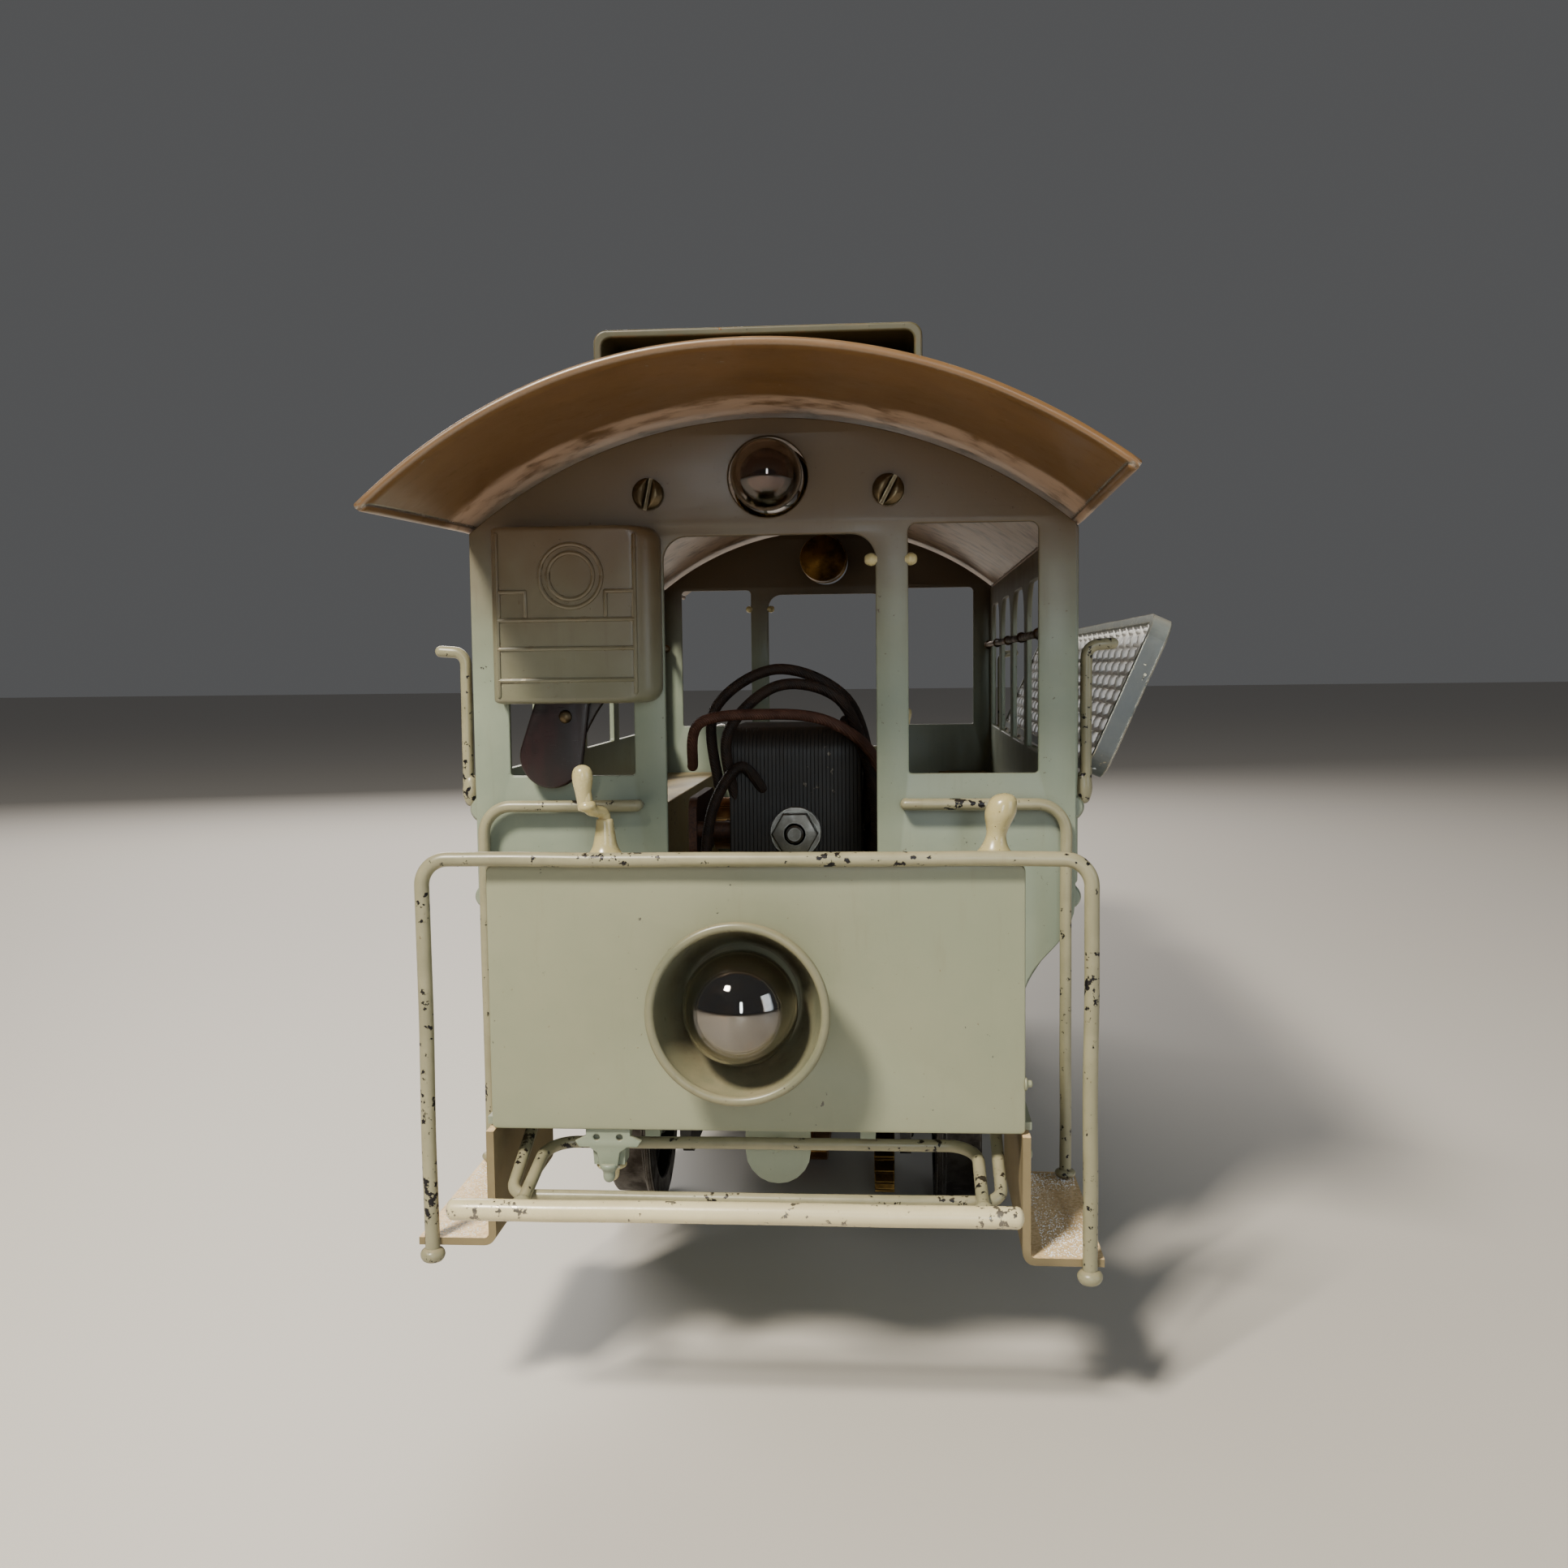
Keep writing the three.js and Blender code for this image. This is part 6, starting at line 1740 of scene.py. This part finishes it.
def newTree(name, inputs):
    tree = bpy.data.node_groups.new(name, "GeometryNodeTree")
    tree.interface.new_socket("Geometry", in_out="INPUT", socket_type="NodeSocketGeometry")
    for label, kind in inputs:
        tree.interface.new_socket(label, in_out="INPUT", socket_type="NodeSocket" + kind)
    tree.interface.new_socket("Geometry", in_out="OUTPUT", socket_type="NodeSocketGeometry")
    return tree, tree.nodes.new("NodeGroupInput").outputs, tree.nodes.new("NodeGroupOutput").inputs


def xyzOf(tree, x=0.0, y=0.0, z=0.0):
    return addNode(tree, "ShaderNodeCombineXYZ", {"X": x, "Y": y, "Z": z}).outputs[0]


def endTree(tree, result, shape, material):
    real = addNode(tree, "GeometryNodeRealizeInstances", {"Geometry": shape})
    painted = addNode(tree, "GeometryNodeSetMaterial", {"Geometry": real.outputs[0], "Material": material})
    tree.links.new(painted.outputs[0], result[0])
    return tree


def grow(mesh, name, tree, values, material):
    # runs a tree on a mesh and keeps the outcome as a plain object
    seed = bpy.data.objects.new(name, mesh)
    scene.collection.objects.link(seed)
    modifier = seed.modifiers.new(name, "NODES")
    modifier.node_group = tree
    for item in tree.interface.items_tree:
        if item.in_out == "INPUT" and item.name in values:
            modifier[item.identifier] = values[item.name]
    bakeModifiers(seed)
    seed.data.name = name
    if not seed.data.materials:
        seed.data.materials.append(material)
    return seed


def reshape(piece, change):
    # alters a grown piece in millimetres, then brings it to metres
    bm = bmesh.new()
    bm.from_mesh(piece.data)
    change(bm)
    bmesh.ops.scale(bm, vec=(mm,) * 3, verts=bm.verts)
    bm.to_mesh(piece.data)
    bm.free()


def makeWeaveTree(material):
    # crossing wires, each wave half a pitch on from its neighbour's
    inputs = [("Along", "Float"), ("Up", "Float"), ("Pitch Along", "Float"), ("Pitch Up", "Float"),
              ("Wire Radius", "Float"), ("Steps", "Int")]
    tree, given, result = newTree("wovenMesh", inputs)
    joined = tree.nodes.new("GeometryNodeJoinGeometry")
    for name, length, pitch, reach, gap in (
        ("Along", given["Along"], given["Pitch Along"], given["Up"], given["Pitch Up"]),
        ("Up", given["Up"], given["Pitch Up"], given["Along"], given["Pitch Along"]),
    ):
        lengthwise = name == "Along"
        count = plus(tree, mathOf(tree, "FLOOR", divided(tree, reach, gap)), 1.0)
        spread = times(tree, minus(tree, count, 1.0), gap)
        half = times(tree, spread, -0.5)
        begin = xyzOf(tree, z=half) if lengthwise else xyzOf(tree, y=half)
        step = xyzOf(tree, z=gap) if lengthwise else xyzOf(tree, y=gap)
        line = addNode(tree, "GeometryNodeMeshLine",
                       {"Count": count, "Start Location": begin, "Offset": step},
                       mode="OFFSET")
        numbered = addNode(tree, "GeometryNodeStoreNamedAttribute", {
            "Geometry": line.outputs[0], "Name": "wire",
            "Value": tree.nodes.new("GeometryNodeInputIndex").outputs[0]}, data_type="FLOAT", domain="POINT")
        end = times(tree, length, 0.5)
        start = times(tree, length, -0.5)
        wire = addNode(tree, "GeometryNodeCurvePrimitiveLine", {
            "Start": xyzOf(tree, y=start) if lengthwise else xyzOf(tree, z=start),
            "End": xyzOf(tree, y=end) if lengthwise else xyzOf(tree, z=end)})
        stations = times(tree, divided(tree, length, pitch), given["Steps"])
        fine = addNode(tree, "GeometryNodeResampleCurve", {"Curve": wire.outputs[0], "Count": stations})
        placed = addNode(tree, "GeometryNodeInstanceOnPoints", {"Points": numbered.outputs[0],
                                                                "Instance": fine.outputs[0]})
        real = tree.nodes.new("GeometryNodeRealizeInstances")
        tree.links.new(placed.outputs[0], real.inputs[0])
        spot = addNode(tree, "ShaderNodeSeparateXYZ",
                       {0: tree.nodes.new("GeometryNodeInputPosition").outputs[0]})
        number = addNode(tree, "GeometryNodeInputNamedAttribute", {"Name": "wire"},
                         data_type="FLOAT").outputs[0]
        where = spot.outputs["Y"] if lengthwise else spot.outputs["Z"]
        turns = plus(tree, divided(tree, where, pitch), number)
        wave = mathOf(tree, "COSINE", times(tree, turns, math.pi))
        swing = times(tree, given["Wire Radius"], 1.05 if lengthwise else -1.05)
        moved = addNode(tree, "GeometryNodeSetPosition", {
            "Geometry": real.outputs[0], "Offset": xyzOf(tree, x=times(tree, wave, swing))})
        ring = addNode(tree, "GeometryNodeCurvePrimitiveCircle",
                       {"Resolution": 6, "Radius": given["Wire Radius"]})
        tube = addNode(tree, "GeometryNodeCurveToMesh",
                       {"Curve": moved.outputs[0], "Profile Curve": ring.outputs[0],
                                                         "Fill Caps": True})
        tree.links.new(tube.outputs[0], joined.inputs[0])
    return endTree(tree, result, joined.outputs[0], material)


def makeGuardMesh():
    weave = guardShape["weave"]
    tree = makeWeaveTree(wireSteel)
    blank = bpy.data.meshes.new("guardMeshSeed")
    values = {"Along": 2.0 * weave["half"], "Up": weave["high"] - weave["low"],
              "Pitch Along": weave["pitchAlong"],
              "Pitch Up": weave["pitchUp"], "Wire Radius": weave["wire"], "Steps": 6}
    piece = grow(blank, "guardMesh", tree, values, wireSteel)

    def lean(bm):
        bmesh.ops.translate(bm, vec=(weave["plane"], 0, (weave["low"] + weave["high"]) / 2), verts=bm.verts)
        toGuard(bm)
        smoothAll(bm.faces)

    reshape(piece, lean)
    attach(piece, "side_guard", ["side_guard_panel"])


makeGuardFrame()
makeGuardMesh()
print("side guard")

# floor, benches and running gear


def refine(node, name, body, material, rounding, segments=2, sharp=38, weighted=True):
    bm = bmesh.new()
    addRefined(bm, node, rounding, segments=segments, sharp=sharp)
    return finishPiece(bm, name, body, [material], [node], sharp=sharp, weighted=weighted)


refine("floor_pan", "floorPan", "car", sagePaint, 0.18)
refine("left_bench", "leftBench", "car", benchPaint, 0.3, 3)
refine("right_bench", "rightBench", "car", benchPaint, 0.3, 3)
refine("truck_frame", "truckFrame", "car", ironPaint, 0.2)
refine("brush_plate", "brushPlate", "car", fibre, 0.15)
refine("pickup_shoe", "pickupShoe", "shoe", wornBronze, 0.2)
refine("axle_gear", "axleGear", "front_wheelset", agedAndShadedBrass, 0.1, sharp=30)
refine("idler_gear", "idlerGear", "idler", agedAndShadedBrass, 0.1, sharp=30)

wheelShape = {
    "height": 15.5,
    "back": 24.6,
    "axleReach": 33.8,
    # radius and distance outwards from the flange's back
    "section": [
        (2.05, 0.0), (4.7, 0.0), (5.0, 0.3), (5.0, 2.8), (12.6, 2.8), (12.9, 2.5), (12.9, 0.3), (13.1, 0.0),
        (16.8, 0.0), (17.2, 0.25), (17.3, 0.7), (17.15, 1.2), (16.6, 1.6), (15.8, 1.8), (15.5, 2.3),
        (15.35, 5.0), (15.2, 7.7), (14.9, 8.0), (13.3, 8.0), (12.95, 7.7), (12.9, 5.1), (12.5, 4.8),
        (6.2, 4.8), (5.2, 5.3), (4.6, 6.6), (4.2, 7.2), (2.05, 7.2),
    ],
}


def makeWheelset(prefix, y):
    shape = wheelShape
    body = prefix + "_wheelset"
    reach = shape["axleReach"]
    for side, sign in carSides:
        bm = bmesh.new()
        addSpin(bm, shape["section"], (sign * shape["back"], y, shape["height"]), (sign, 0, 0), 72)
        name = "%s%sWheel" % (prefix, side.capitalize())
        finishPiece(bm, name, body, [castIron], ["%s_%s_wheel" % (prefix, side)], sharp=28)
    bm = bmesh.new()
    axle = [(0, -reach), (1.6, -reach), (2.0, -reach + 0.4), (2.0, reach - 0.4), (1.6, reach), (0, reach)]
    addSpin(bm, axle, (0, y, shape["height"]), (1, 0, 0), 32)
    finishPiece(bm, prefix + "Axle", body, [brightSteel], [prefix + "_axle"])


makeWheelset("front", -40.0)
makeWheelset("rear", 40.0)
print("running gear")

# motor

motorShape = {
    "y": -22.0,
    "z": 66.0,
    "slots": 12,
    "drum": 10.0,
    "core": 9.0,
    "commutator": 5.0,
    "commutatorLength": 6.0,
    "shaftLeft": -20.8,
    "shaftRight": 21.3,
    "gear": (14.0, 3.5, 12),  # x, width, teeth
    "nutAcross": 7.3,
}


def gearOutline(teeth, toothAngle, y, z):
    pitch = 2 * math.pi / teeth
    root, tip = teeth / 2 - 1.25, teeth / 2 + 0.85
    line = []
    for i in range(teeth):
        for radius, share in ((root, -0.27), (teeth / 2, -0.2), (tip, -0.11), (tip, 0.11), (teeth / 2, 0.2),
                              (root, 0.27)):
            angle = toothAngle + pitch * (i + share)
            line.append((y + radius * math.cos(angle), z + radius * math.sin(angle)))
    return line


def pinionAngle():
    # the idler has a tooth towards the pinion, so the pinion has a gap there
    low, high = boxOf("idler_gear")
    middle = (low + high) / 2
    towards = math.atan2(motorShape["z"] - middle.z, motorShape["y"] - middle.y)
    return towards + math.pi + math.pi / 12


def makeArmature():
    shape = motorShape
    y, z, core = shape["y"], shape["z"], shape["core"]
    bm = bmesh.new()
    slots = shape["slots"]
    outline = []
    for i in range(slots):
        middle = 360 / slots * i
        outline += arc(y, z, shape["drum"], middle - 12, middle + 12, 6)
        a = math.radians(middle + 12)
        b = math.radians(middle + 360 / slots - 12)
        for angle, radius in ((a, shape["drum"] - 0.7), (a - 0.05, shape["drum"] - 1.0), (a - 0.05, 6.6),
                              (b + 0.05, 6.6),
                              (b + 0.05, shape["drum"] - 1.0), (b, shape["drum"] - 0.7)):
            outline.append((y + radius * math.cos(angle), z + radius * math.sin(angle)))
    addPlate(bm, outline, [], 2 * core, 0.25, lambda a, b, d: Vector((-core + d, a, b)), material=0)
    # winding ends, bulging past the core
    for sign in (-1, 1):
        for i in range(slots):
            angle = math.radians(360 / slots * (i + 0.5))
            other = angle + math.radians(360 / slots * 3)
            points = []
            for share, out, radius in ((0.0, 0.0, 8.6), (0.15, 1.4, 8.4), (0.5, 2.2, 6.4), (0.85, 1.4, 8.4),
                                       (1.0, 0.0, 8.6)):
                turn = angle + (other - angle) * share
                points.append(Vector((sign * (core + out - 0.8), y + radius * math.cos(turn),
                                      z + radius * math.sin(turn))))
            addSweep(bm, bendPath(points, 2.0, 4, 2.0), 0.72, 8, material=1, capRings=2)
    # commutator bars
    start = -core - 1.6 - shape["commutatorLength"]
    bars = 12
    line = []
    for i in range(bars):
        middle = 360 / bars * i
        line += arc(y, z, shape["commutator"], middle - 13.4, middle + 13.4, 4)
        line += arc(y, z, shape["commutator"] - 0.5, middle + 13.6, middle + 360 / bars - 13.6, 1)
    addPlate(bm, line, [], shape["commutatorLength"] + 1.2, 0.12, lambda a, b, d: Vector((start + d, a, b)),
             material=2)
    shaft = [(0, shape["shaftLeft"]), (1.2, shape["shaftLeft"]), (1.5, shape["shaftLeft"] + 0.3),
             (1.5, shape["shaftRight"] - 0.3), (1.2, shape["shaftRight"]), (0, shape["shaftRight"])]
    addSpin(bm, shaft, (0, y, z), (1, 0, 0), 28, material=3)
    gearX, width, teeth = shape["gear"]
    addPlate(bm, gearOutline(teeth, pinionAngle(), y, z), [], width, 0.12,
             lambda a, b, d: Vector((gearX + d, a, b)), material=4)
    for face in bm.faces:
        if face.material_index == 0:
            face.smooth = False
    finishPiece(bm, "armature", "motor_armature",
                [castIron, enamelledWire, wornBronze, brightSteel, agedAndShadedBrass],
                ["armature"], sharp=34)


def makeField():
    # laminated stampings between two thicker end plates
    bm = bmesh.new()
    addRefined(bm, "motor_field", 0.35, segments=3, sharp=30)
    finishPiece(bm, "motorField", "car", [laminatedIron], ["motor_field"], sharp=34,
                weighted=True)
    low, high = boxOf("pole_bolt")
    nut = low.y
    bm = bmesh.new()
    hexagon = arc(0, 0, motorShape["nutAcross"] / 2 / math.cos(math.pi / 6), 0, 360, 6)[:-1]
    addPlate(bm, hexagon, [], 3.0, 0.3, lambda a, b, d: Vector((a, nut + d, motorShape["z"] + b)), steps=3)
    end = [(0, 0.7), (1.2, 0.7), (1.6, 0.35), (1.6, 0.0), (1.95, 0.0), (2.2, -0.3), (1.9, -0.6), (0, -0.6)]
    addSpin(bm, end, (0, nut, motorShape["z"]), (0, -1, 0), 28)
    washer = [(2.0, 0.0), (4.55, 0.0), (4.7, 0.15), (4.7, 0.25), (2.0, 0.3)]
    addSpin(bm, washer, (0, nut + 3.0, motorShape["z"]), (0, 1, 0), 36)
    bolt = [(0, 0.2), (1.95, 0.2), (1.95, high.y - nut - 0.4), (0, high.y - nut)]
    addSpin(bm, bolt, (0, nut, motorShape["z"]), (0, 1, 0), 28)
    finishPiece(bm, "poleBolt", "car", [brightSteel], ["pole_bolt"], sharp=34)


def makeLaminated():
    # stamped sheets show as fine lines along the stack
    material, tree, shader = startMaterial("laminatedIron")
    made = useGroup(tree, agedPaint, {"Paint": fromSrgb(44, 38, 34), "Faded": fromSrgb(66, 56, 48),
                                      "Grime And Shade": fromSrgb(20, 15, 10), "Bare": fromSrgb(126, 116, 104),
                                      "Wear": 0.5,
                                      "Chips": 0.2, "Gloss": 0.5, "Mottle Size": 5.0, "Seed": 61.0})
    across = addNode(tree, "ShaderNodeSeparateXYZ", {0: placeInMm(tree)}).outputs["X"]
    lines = mathOf(tree, "ABSOLUTE", mathOf(tree, "SINE", times(tree, across, math.pi / 0.7)))
    groove = stepOf(tree, lines, 0.0, 0.35)
    tree.links.new(mixOf(tree, minus(tree, 1.0, groove), made["Colour"], fromSrgb(16, 12, 8)),
                   shader["Base Color"])
    tree.links.new(made["Roughness"], shader["Roughness"])
    tree.links.new(made["Metal"], shader["Metallic"])
    height = plus(tree, times(tree, groove, 1.5), made["Height"])
    tree.links.new(bumpOf(tree, height, 0.06), shader["Normal"])
    return material


laminatedIron = makeLaminated()
makeArmature()
makeField()

leadShape = {
    "radius": 1.0,
    # looped over the motor from the brush posts to the field coil
    "loops": (
        ("brown", ((-11, -38, 72), (-12, -40.5, 84), (-3, -40, 92.5), (8, -38, 90), (13, -37, 78),
                   (12.6, -34, 68))),
        ("brown", ((-15, -30, 74), (-15.5, -31, 88), (-4, -30, 95.5), (9, -29, 90), (13.5, -30, 76),
                   (13, -30, 62))),
        ("pink", ((-19, -36.5, 78), (-17, -40.6, 86), (-5, -41.4, 87.5), (6, -41.4, 86.2), (14, -40.6, 80),
                  (15, -36, 70))),
        ("brown", ((-16, -38, 40), (-16.5, -41, 56), (-15, -41, 70), (-10, -40.6, 78), (-6, -38.5, 74))),
        ("brown", ((13.4, -41, 40), (14, -42, 55), (14.6, -41.6, 68), (13, -39.5, 79), (9, -36, 86))),
    ),
}


def makeLeads():
    # each lead is fixed at both its ends
    for i, (colour, points) in enumerate(leadShape["loops"]):
        bm = bmesh.new()
        addSweep(bm, roundedProfile(points, 10), leadShape["radius"], 16)
        finishPiece(bm, "motorLead%d" % (i + 1), "car", [pinkLead if colour == "pink" else brownLead])


makeLeads()
print("motor")

# screws and rivets, instanced on points


def makeFixingTree():
    inputs = [("Head", "Object"), ("Size", "Float"), ("Finish", "Material")]
    tree, given, result = newTree("fixings", inputs)
    facing = addNode(tree, "GeometryNodeInputNamedAttribute", {"Name": "facing"},
                     data_type="FLOAT_VECTOR").outputs[0]
    turn = addNode(tree, "GeometryNodeInputNamedAttribute", {"Name": "turn"}, data_type="FLOAT").outputs[0]
    aligned = addNode(tree, "FunctionNodeAlignRotationToVector", {"Vector": facing}, axis="Z").outputs[0]
    spin = addNode(tree, "FunctionNodeAxisAngleToRotation", {"Axis": (0, 0, 1), "Angle": turn}).outputs[0]
    both = addNode(tree, "FunctionNodeRotateRotation", {"Rotation": aligned, "Rotate By": spin},
                   rotation_space="LOCAL").outputs[0]
    head = addNode(tree, "GeometryNodeObjectInfo", {"Object": given["Head"]}).outputs["Geometry"]
    points = addNode(tree, "GeometryNodeMeshToPoints", {"Mesh": tree.nodes["Group Input"].outputs[0]})
    scale = xyzOf(tree, given["Size"], given["Size"], given["Size"])
    placed = addNode(tree, "GeometryNodeInstanceOnPoints", {"Points": points.outputs[0], "Instance": head,
                                                            "Rotation": both, "Scale": scale})
    return endTree(tree, result, placed.outputs[0], given["Finish"])


fixingTree = makeFixingTree()


def headObject(name, build):
    bm = bmesh.new()
    build(bm)
    bmesh.ops.recalc_face_normals(bm, faces=bm.faces)
    mesh = bpy.data.meshes.new(name)
    bm.to_mesh(mesh)
    bm.free()
    mesh.set_sharp_from_angle(angle=math.radians(40))
    return bpy.data.objects.new(name, mesh)


def slottedHead(bm):
    # unit radius, facing +Z, slot along X
    gap, rise = 0.13, 0.42
    base = [(0, -0.35), (0.97, -0.35), (1.0, -0.28), (1.0, 0.12), (0, 0.12)]
    addSpin(bm, base, (0, 0, 0), (0, 0, 1), 32)
    edge = math.degrees(math.asin(gap))

    def dome(x, y, d):
        crown = rise * (1 - min(1, x * x + y * y)) * (1 if d > 0.2 else 0)
        return Vector((x, y, 0.1 + d + crown))

    for start, end in ((edge, 180 - edge), (180 + edge, 360 - edge)):
        addFan(bm, arc(0, 0, 0.99, start, end, 18), dome)


def addFan(bm, outline, place):
    # a solid half head: rings shrink towards its middle so that it can dome
    middle = Vector((sum(p[0] for p in outline) / len(outline), sum(p[1] for p in outline) / len(outline)))
    rings = []
    for share, depth in ((1.0, 0.0), (1.0, 0.3), (0.96, 0.36), (0.8, 0.37), (0.5, 0.37), (0.2, 0.37)):
        ring = []
        for point in outline:
            spot = middle.lerp(Vector(point), share)
            ring.append(bm.verts.new(place(spot.x, spot.y, depth)))
        rings.append(ring)
    rings.append([bm.verts.new(place(middle.x, middle.y, 0.37))])
    for first, second in zip(rings, rings[1:]):
        skin(bm, first, second)
    bm.faces.new(rings[0][::-1])


def rivetHead(bm):
    profile = [(0, -0.3), (0.98, -0.3), (1.0, 0.08), (0.8, 0.42), (0.42, 0.6), (0, 0.66)]
    addSpin(bm, profile, (0, 0, 0), (0, 0, 1), 10)


slottedScrew = headObject("slottedScrew", slottedHead)
rivet = headObject("rivetHead", rivetHead)


def placeFixings(name, spots, head, size, material, body="car", rear=False):
    # spots hold place, facing and turn in degrees
    mesh = bpy.data.meshes.new(name)
    mesh.from_pydata([Vector(spot[0]) for spot in spots], [], [])
    facing = mesh.attributes.new("facing", "FLOAT_VECTOR", "POINT")
    facing.data.foreach_set("vector", [value for spot in spots for value in spot[1]])
    turn = mesh.attributes.new("turn", "FLOAT", "POINT")
    turn.data.foreach_set("value", [math.radians(spot[2]) for spot in spots])
    piece = grow(mesh, name, fixingTree, {"Head": head, "Size": size, "Finish": material}, material)
    reshape(piece, lambda bm: halfRound(bm) if rear else None)
    attach(piece, body, ())


fixingPlaces = {
    "wallScrews": ((-17.3, 121.0, 78), (17.3, 121.0, 62)),
    "screwSize": 2.3,
    "stepRivets": (-96.0, -104.5, -113.0, -119.5),
}


def makeFixings(prefix, rear):
    front = (0, -1, 0)
    screws = [((x, wallFace - 0.02, z), front, turn) for x, z, turn in fixingPlaces["wallScrews"]]
    placeFixings(prefix + "WallScrews", screws, slottedScrew, fixingPlaces["screwSize"], screwSteel,
                 rear=rear)
    spots = [((2.0, -112.3, 31.6), front, 0)]
    for sign in (-1, 1):
        spots += [((sign * 34.85, y, 33.5), (sign, 0, 0), 0) for y in fixingPlaces["stepRivets"]]
        spots += [((sign * 12.8, -119.6, floorTop - 1.0), (0, 0, -1), 0)]
    placeFixings(prefix + "StepRivets", spots, rivet, 0.75, sagePaint, rear=rear)


for prefix, rear in carEnds:
    makeFixings(prefix, rear)


def makeBodyRivets():
    # rivets along the truck frame and round its axle bearings
    spots = []
    for sign in (-1, 1):
        for y in (-47.5, -32, -17, 0, 17, 32, 47.5):
            spots.append(((sign * 20.52, y, 34.6), (sign, 0, 0), 0))
        for y in (-40, 40):
            for turn in (45, 135, 225, 315):
                a = math.radians(turn)
                spots.append(((sign * 20.52, y + 5 * math.cos(a), 15.5 + 5 * math.sin(a)), (sign, 0, 0), 0))
    placeFixings("truckRivets", spots, rivet, 0.8, ironPaint)


makeBodyRivets()


def makeDoorPin(prefix, rear):
    # a pin with balled ends through the door post
    bm = bmesh.new()
    y = wallFace + sheet / 2
    path = [Vector((15.0, y, 111.2)), Vector((17.7, y, 111.2)), Vector((20.5, y, 111.2))]
    line = [(0, -1.0), (0.6, -0.85), (0.95, 0), (0.6, 0.85), (0.3, 1.0), (0.3, 4.6), (0.6, 4.8), (0.95, 5.6),
            (0.6, 6.4), (0, 6.6)]
    addSpin(bm, roundedProfile(line, 3), path[0] - Vector((0.2, 0, 0)), (1, 0, 0), 20)
    finishPiece(bm, prefix + "DoorPin", "car", [ivoryPaint], rear=rear)


bracketShape = {"half": 2.9, "waist": 1.5, "foot": 31.8, "ears": 4.3, "earLow": 34.6, "gauge": 0.9,
                "front": 1.5}


def makeStaffBracket(prefix, rear):
    # a drilled leaf with two ears, in front of the staff's lower bearing
    x, y = handleShape["staff"][:2]
    shape = bracketShape
    top = floorTop - sheet - 0.05
    side = [(shape["half"], top), (shape["half"], 35.8), (shape["ears"], shape["earLow"] + 0.5),
            (shape["ears"] - 0.5, shape["earLow"] - 0.3), (2.5, 34.3), (shape["waist"], 33.6),
            (1.2, shape["foot"])]
    outline = [(x + a, z) for a, z in reversed(side)] + [(x - a, z) for a, z in side]
    holes = [arc(x + a, 35.6, 0.42, 0, 360, 16)[:-1] for a in (-1.5, 1.5)]
    bm = bmesh.new()
    front = y - shape["front"] - shape["gauge"]
    addPlate(bm, outline, holes, shape["gauge"], 0.15, lambda a, z, d: Vector((a, front + d, z)))
    nub = [(0, 0), (1.0, 0), (1.15, 0.5), (0.8, 1.1), (0.75, 1.9), (0.45, 2.4), (0, 2.5)]
    addSpin(bm, roundedProfile(nub, 3), (x, front + shape["gauge"] / 2, shape["foot"] + 0.3), (0, 0, -1), 24)
    finishPiece(bm, prefix + "StaffBearing", "car", [sagePaint], rear=rear)


for prefix, rear in carEnds:
    makeDoorPin(prefix, rear)
    makeStaffBracket(prefix, rear)
print("fixings")

gritShape = {"density": 8.0, "small": 0.05, "large": 0.13, "seed": 7}  # grains to each square millimetre


def makeGritTree(material):
    inputs = [("Density", "Float"), ("Smallest", "Float"), ("Largest", "Float"), ("Seed", "Int")]
    tree, given, result = newTree("treadGrit", inputs)
    points = addNode(tree, "GeometryNodeDistributePointsOnFaces",
                     {"Mesh": tree.nodes["Group Input"].outputs[0],
                                                                   "Density": given["Density"],
                                                                   "Seed": given["Seed"]})
    grain = addNode(tree, "GeometryNodeMeshIcoSphere", {"Radius": 1.0, "Subdivisions": 1})
    size = addNode(tree, "FunctionNodeRandomValue", {"Min": given["Smallest"], "Max": given["Largest"],
                                                     "Seed": given["Seed"]}, data_type="FLOAT")
    placed = addNode(tree, "GeometryNodeInstanceOnPoints",
                     {"Points": points.outputs[0], "Instance": grain.outputs[0],
                                                            "Scale": size.outputs[1],
                                                            "Rotation": points.outputs["Rotation"]})
    return endTree(tree, result, placed.outputs[0], material)


gritTree = makeGritTree(treadPaint)


def makeGrit(prefix, side, seed):
    low, high = boxOf("%s_%s_step" % (prefix, side))
    sign = 1 if (low.x + high.x) > 0 else -1
    inner, outer = sorted((sign * 36.6, sign * 43.6))
    top = low.z + sheet - 0.03
    mesh = bpy.data.meshes.new("gritBed")
    corners = [(inner, low.y + 0.6, top), (outer, low.y + 0.6, top), (outer, high.y - 0.6, top),
               (inner, high.y - 0.6, top)]
    mesh.from_pydata(corners, [], [(0, 1, 2, 3)])
    values = {"Density": gritShape["density"], "Smallest": gritShape["small"], "Largest": gritShape["large"],
              "Seed": seed}
    piece = grow(mesh, "%s%sGrit" % (prefix, side.capitalize()), gritTree, values, treadPaint)
    reshape(piece, lambda bm: smoothAll(bm.faces))
    attach(piece, "car", ())


for prefix in ("front", "rear"):
    for k, side in enumerate(("left", "right")):
        makeGrit(prefix, side, gritShape["seed"] + k)
print("grit")
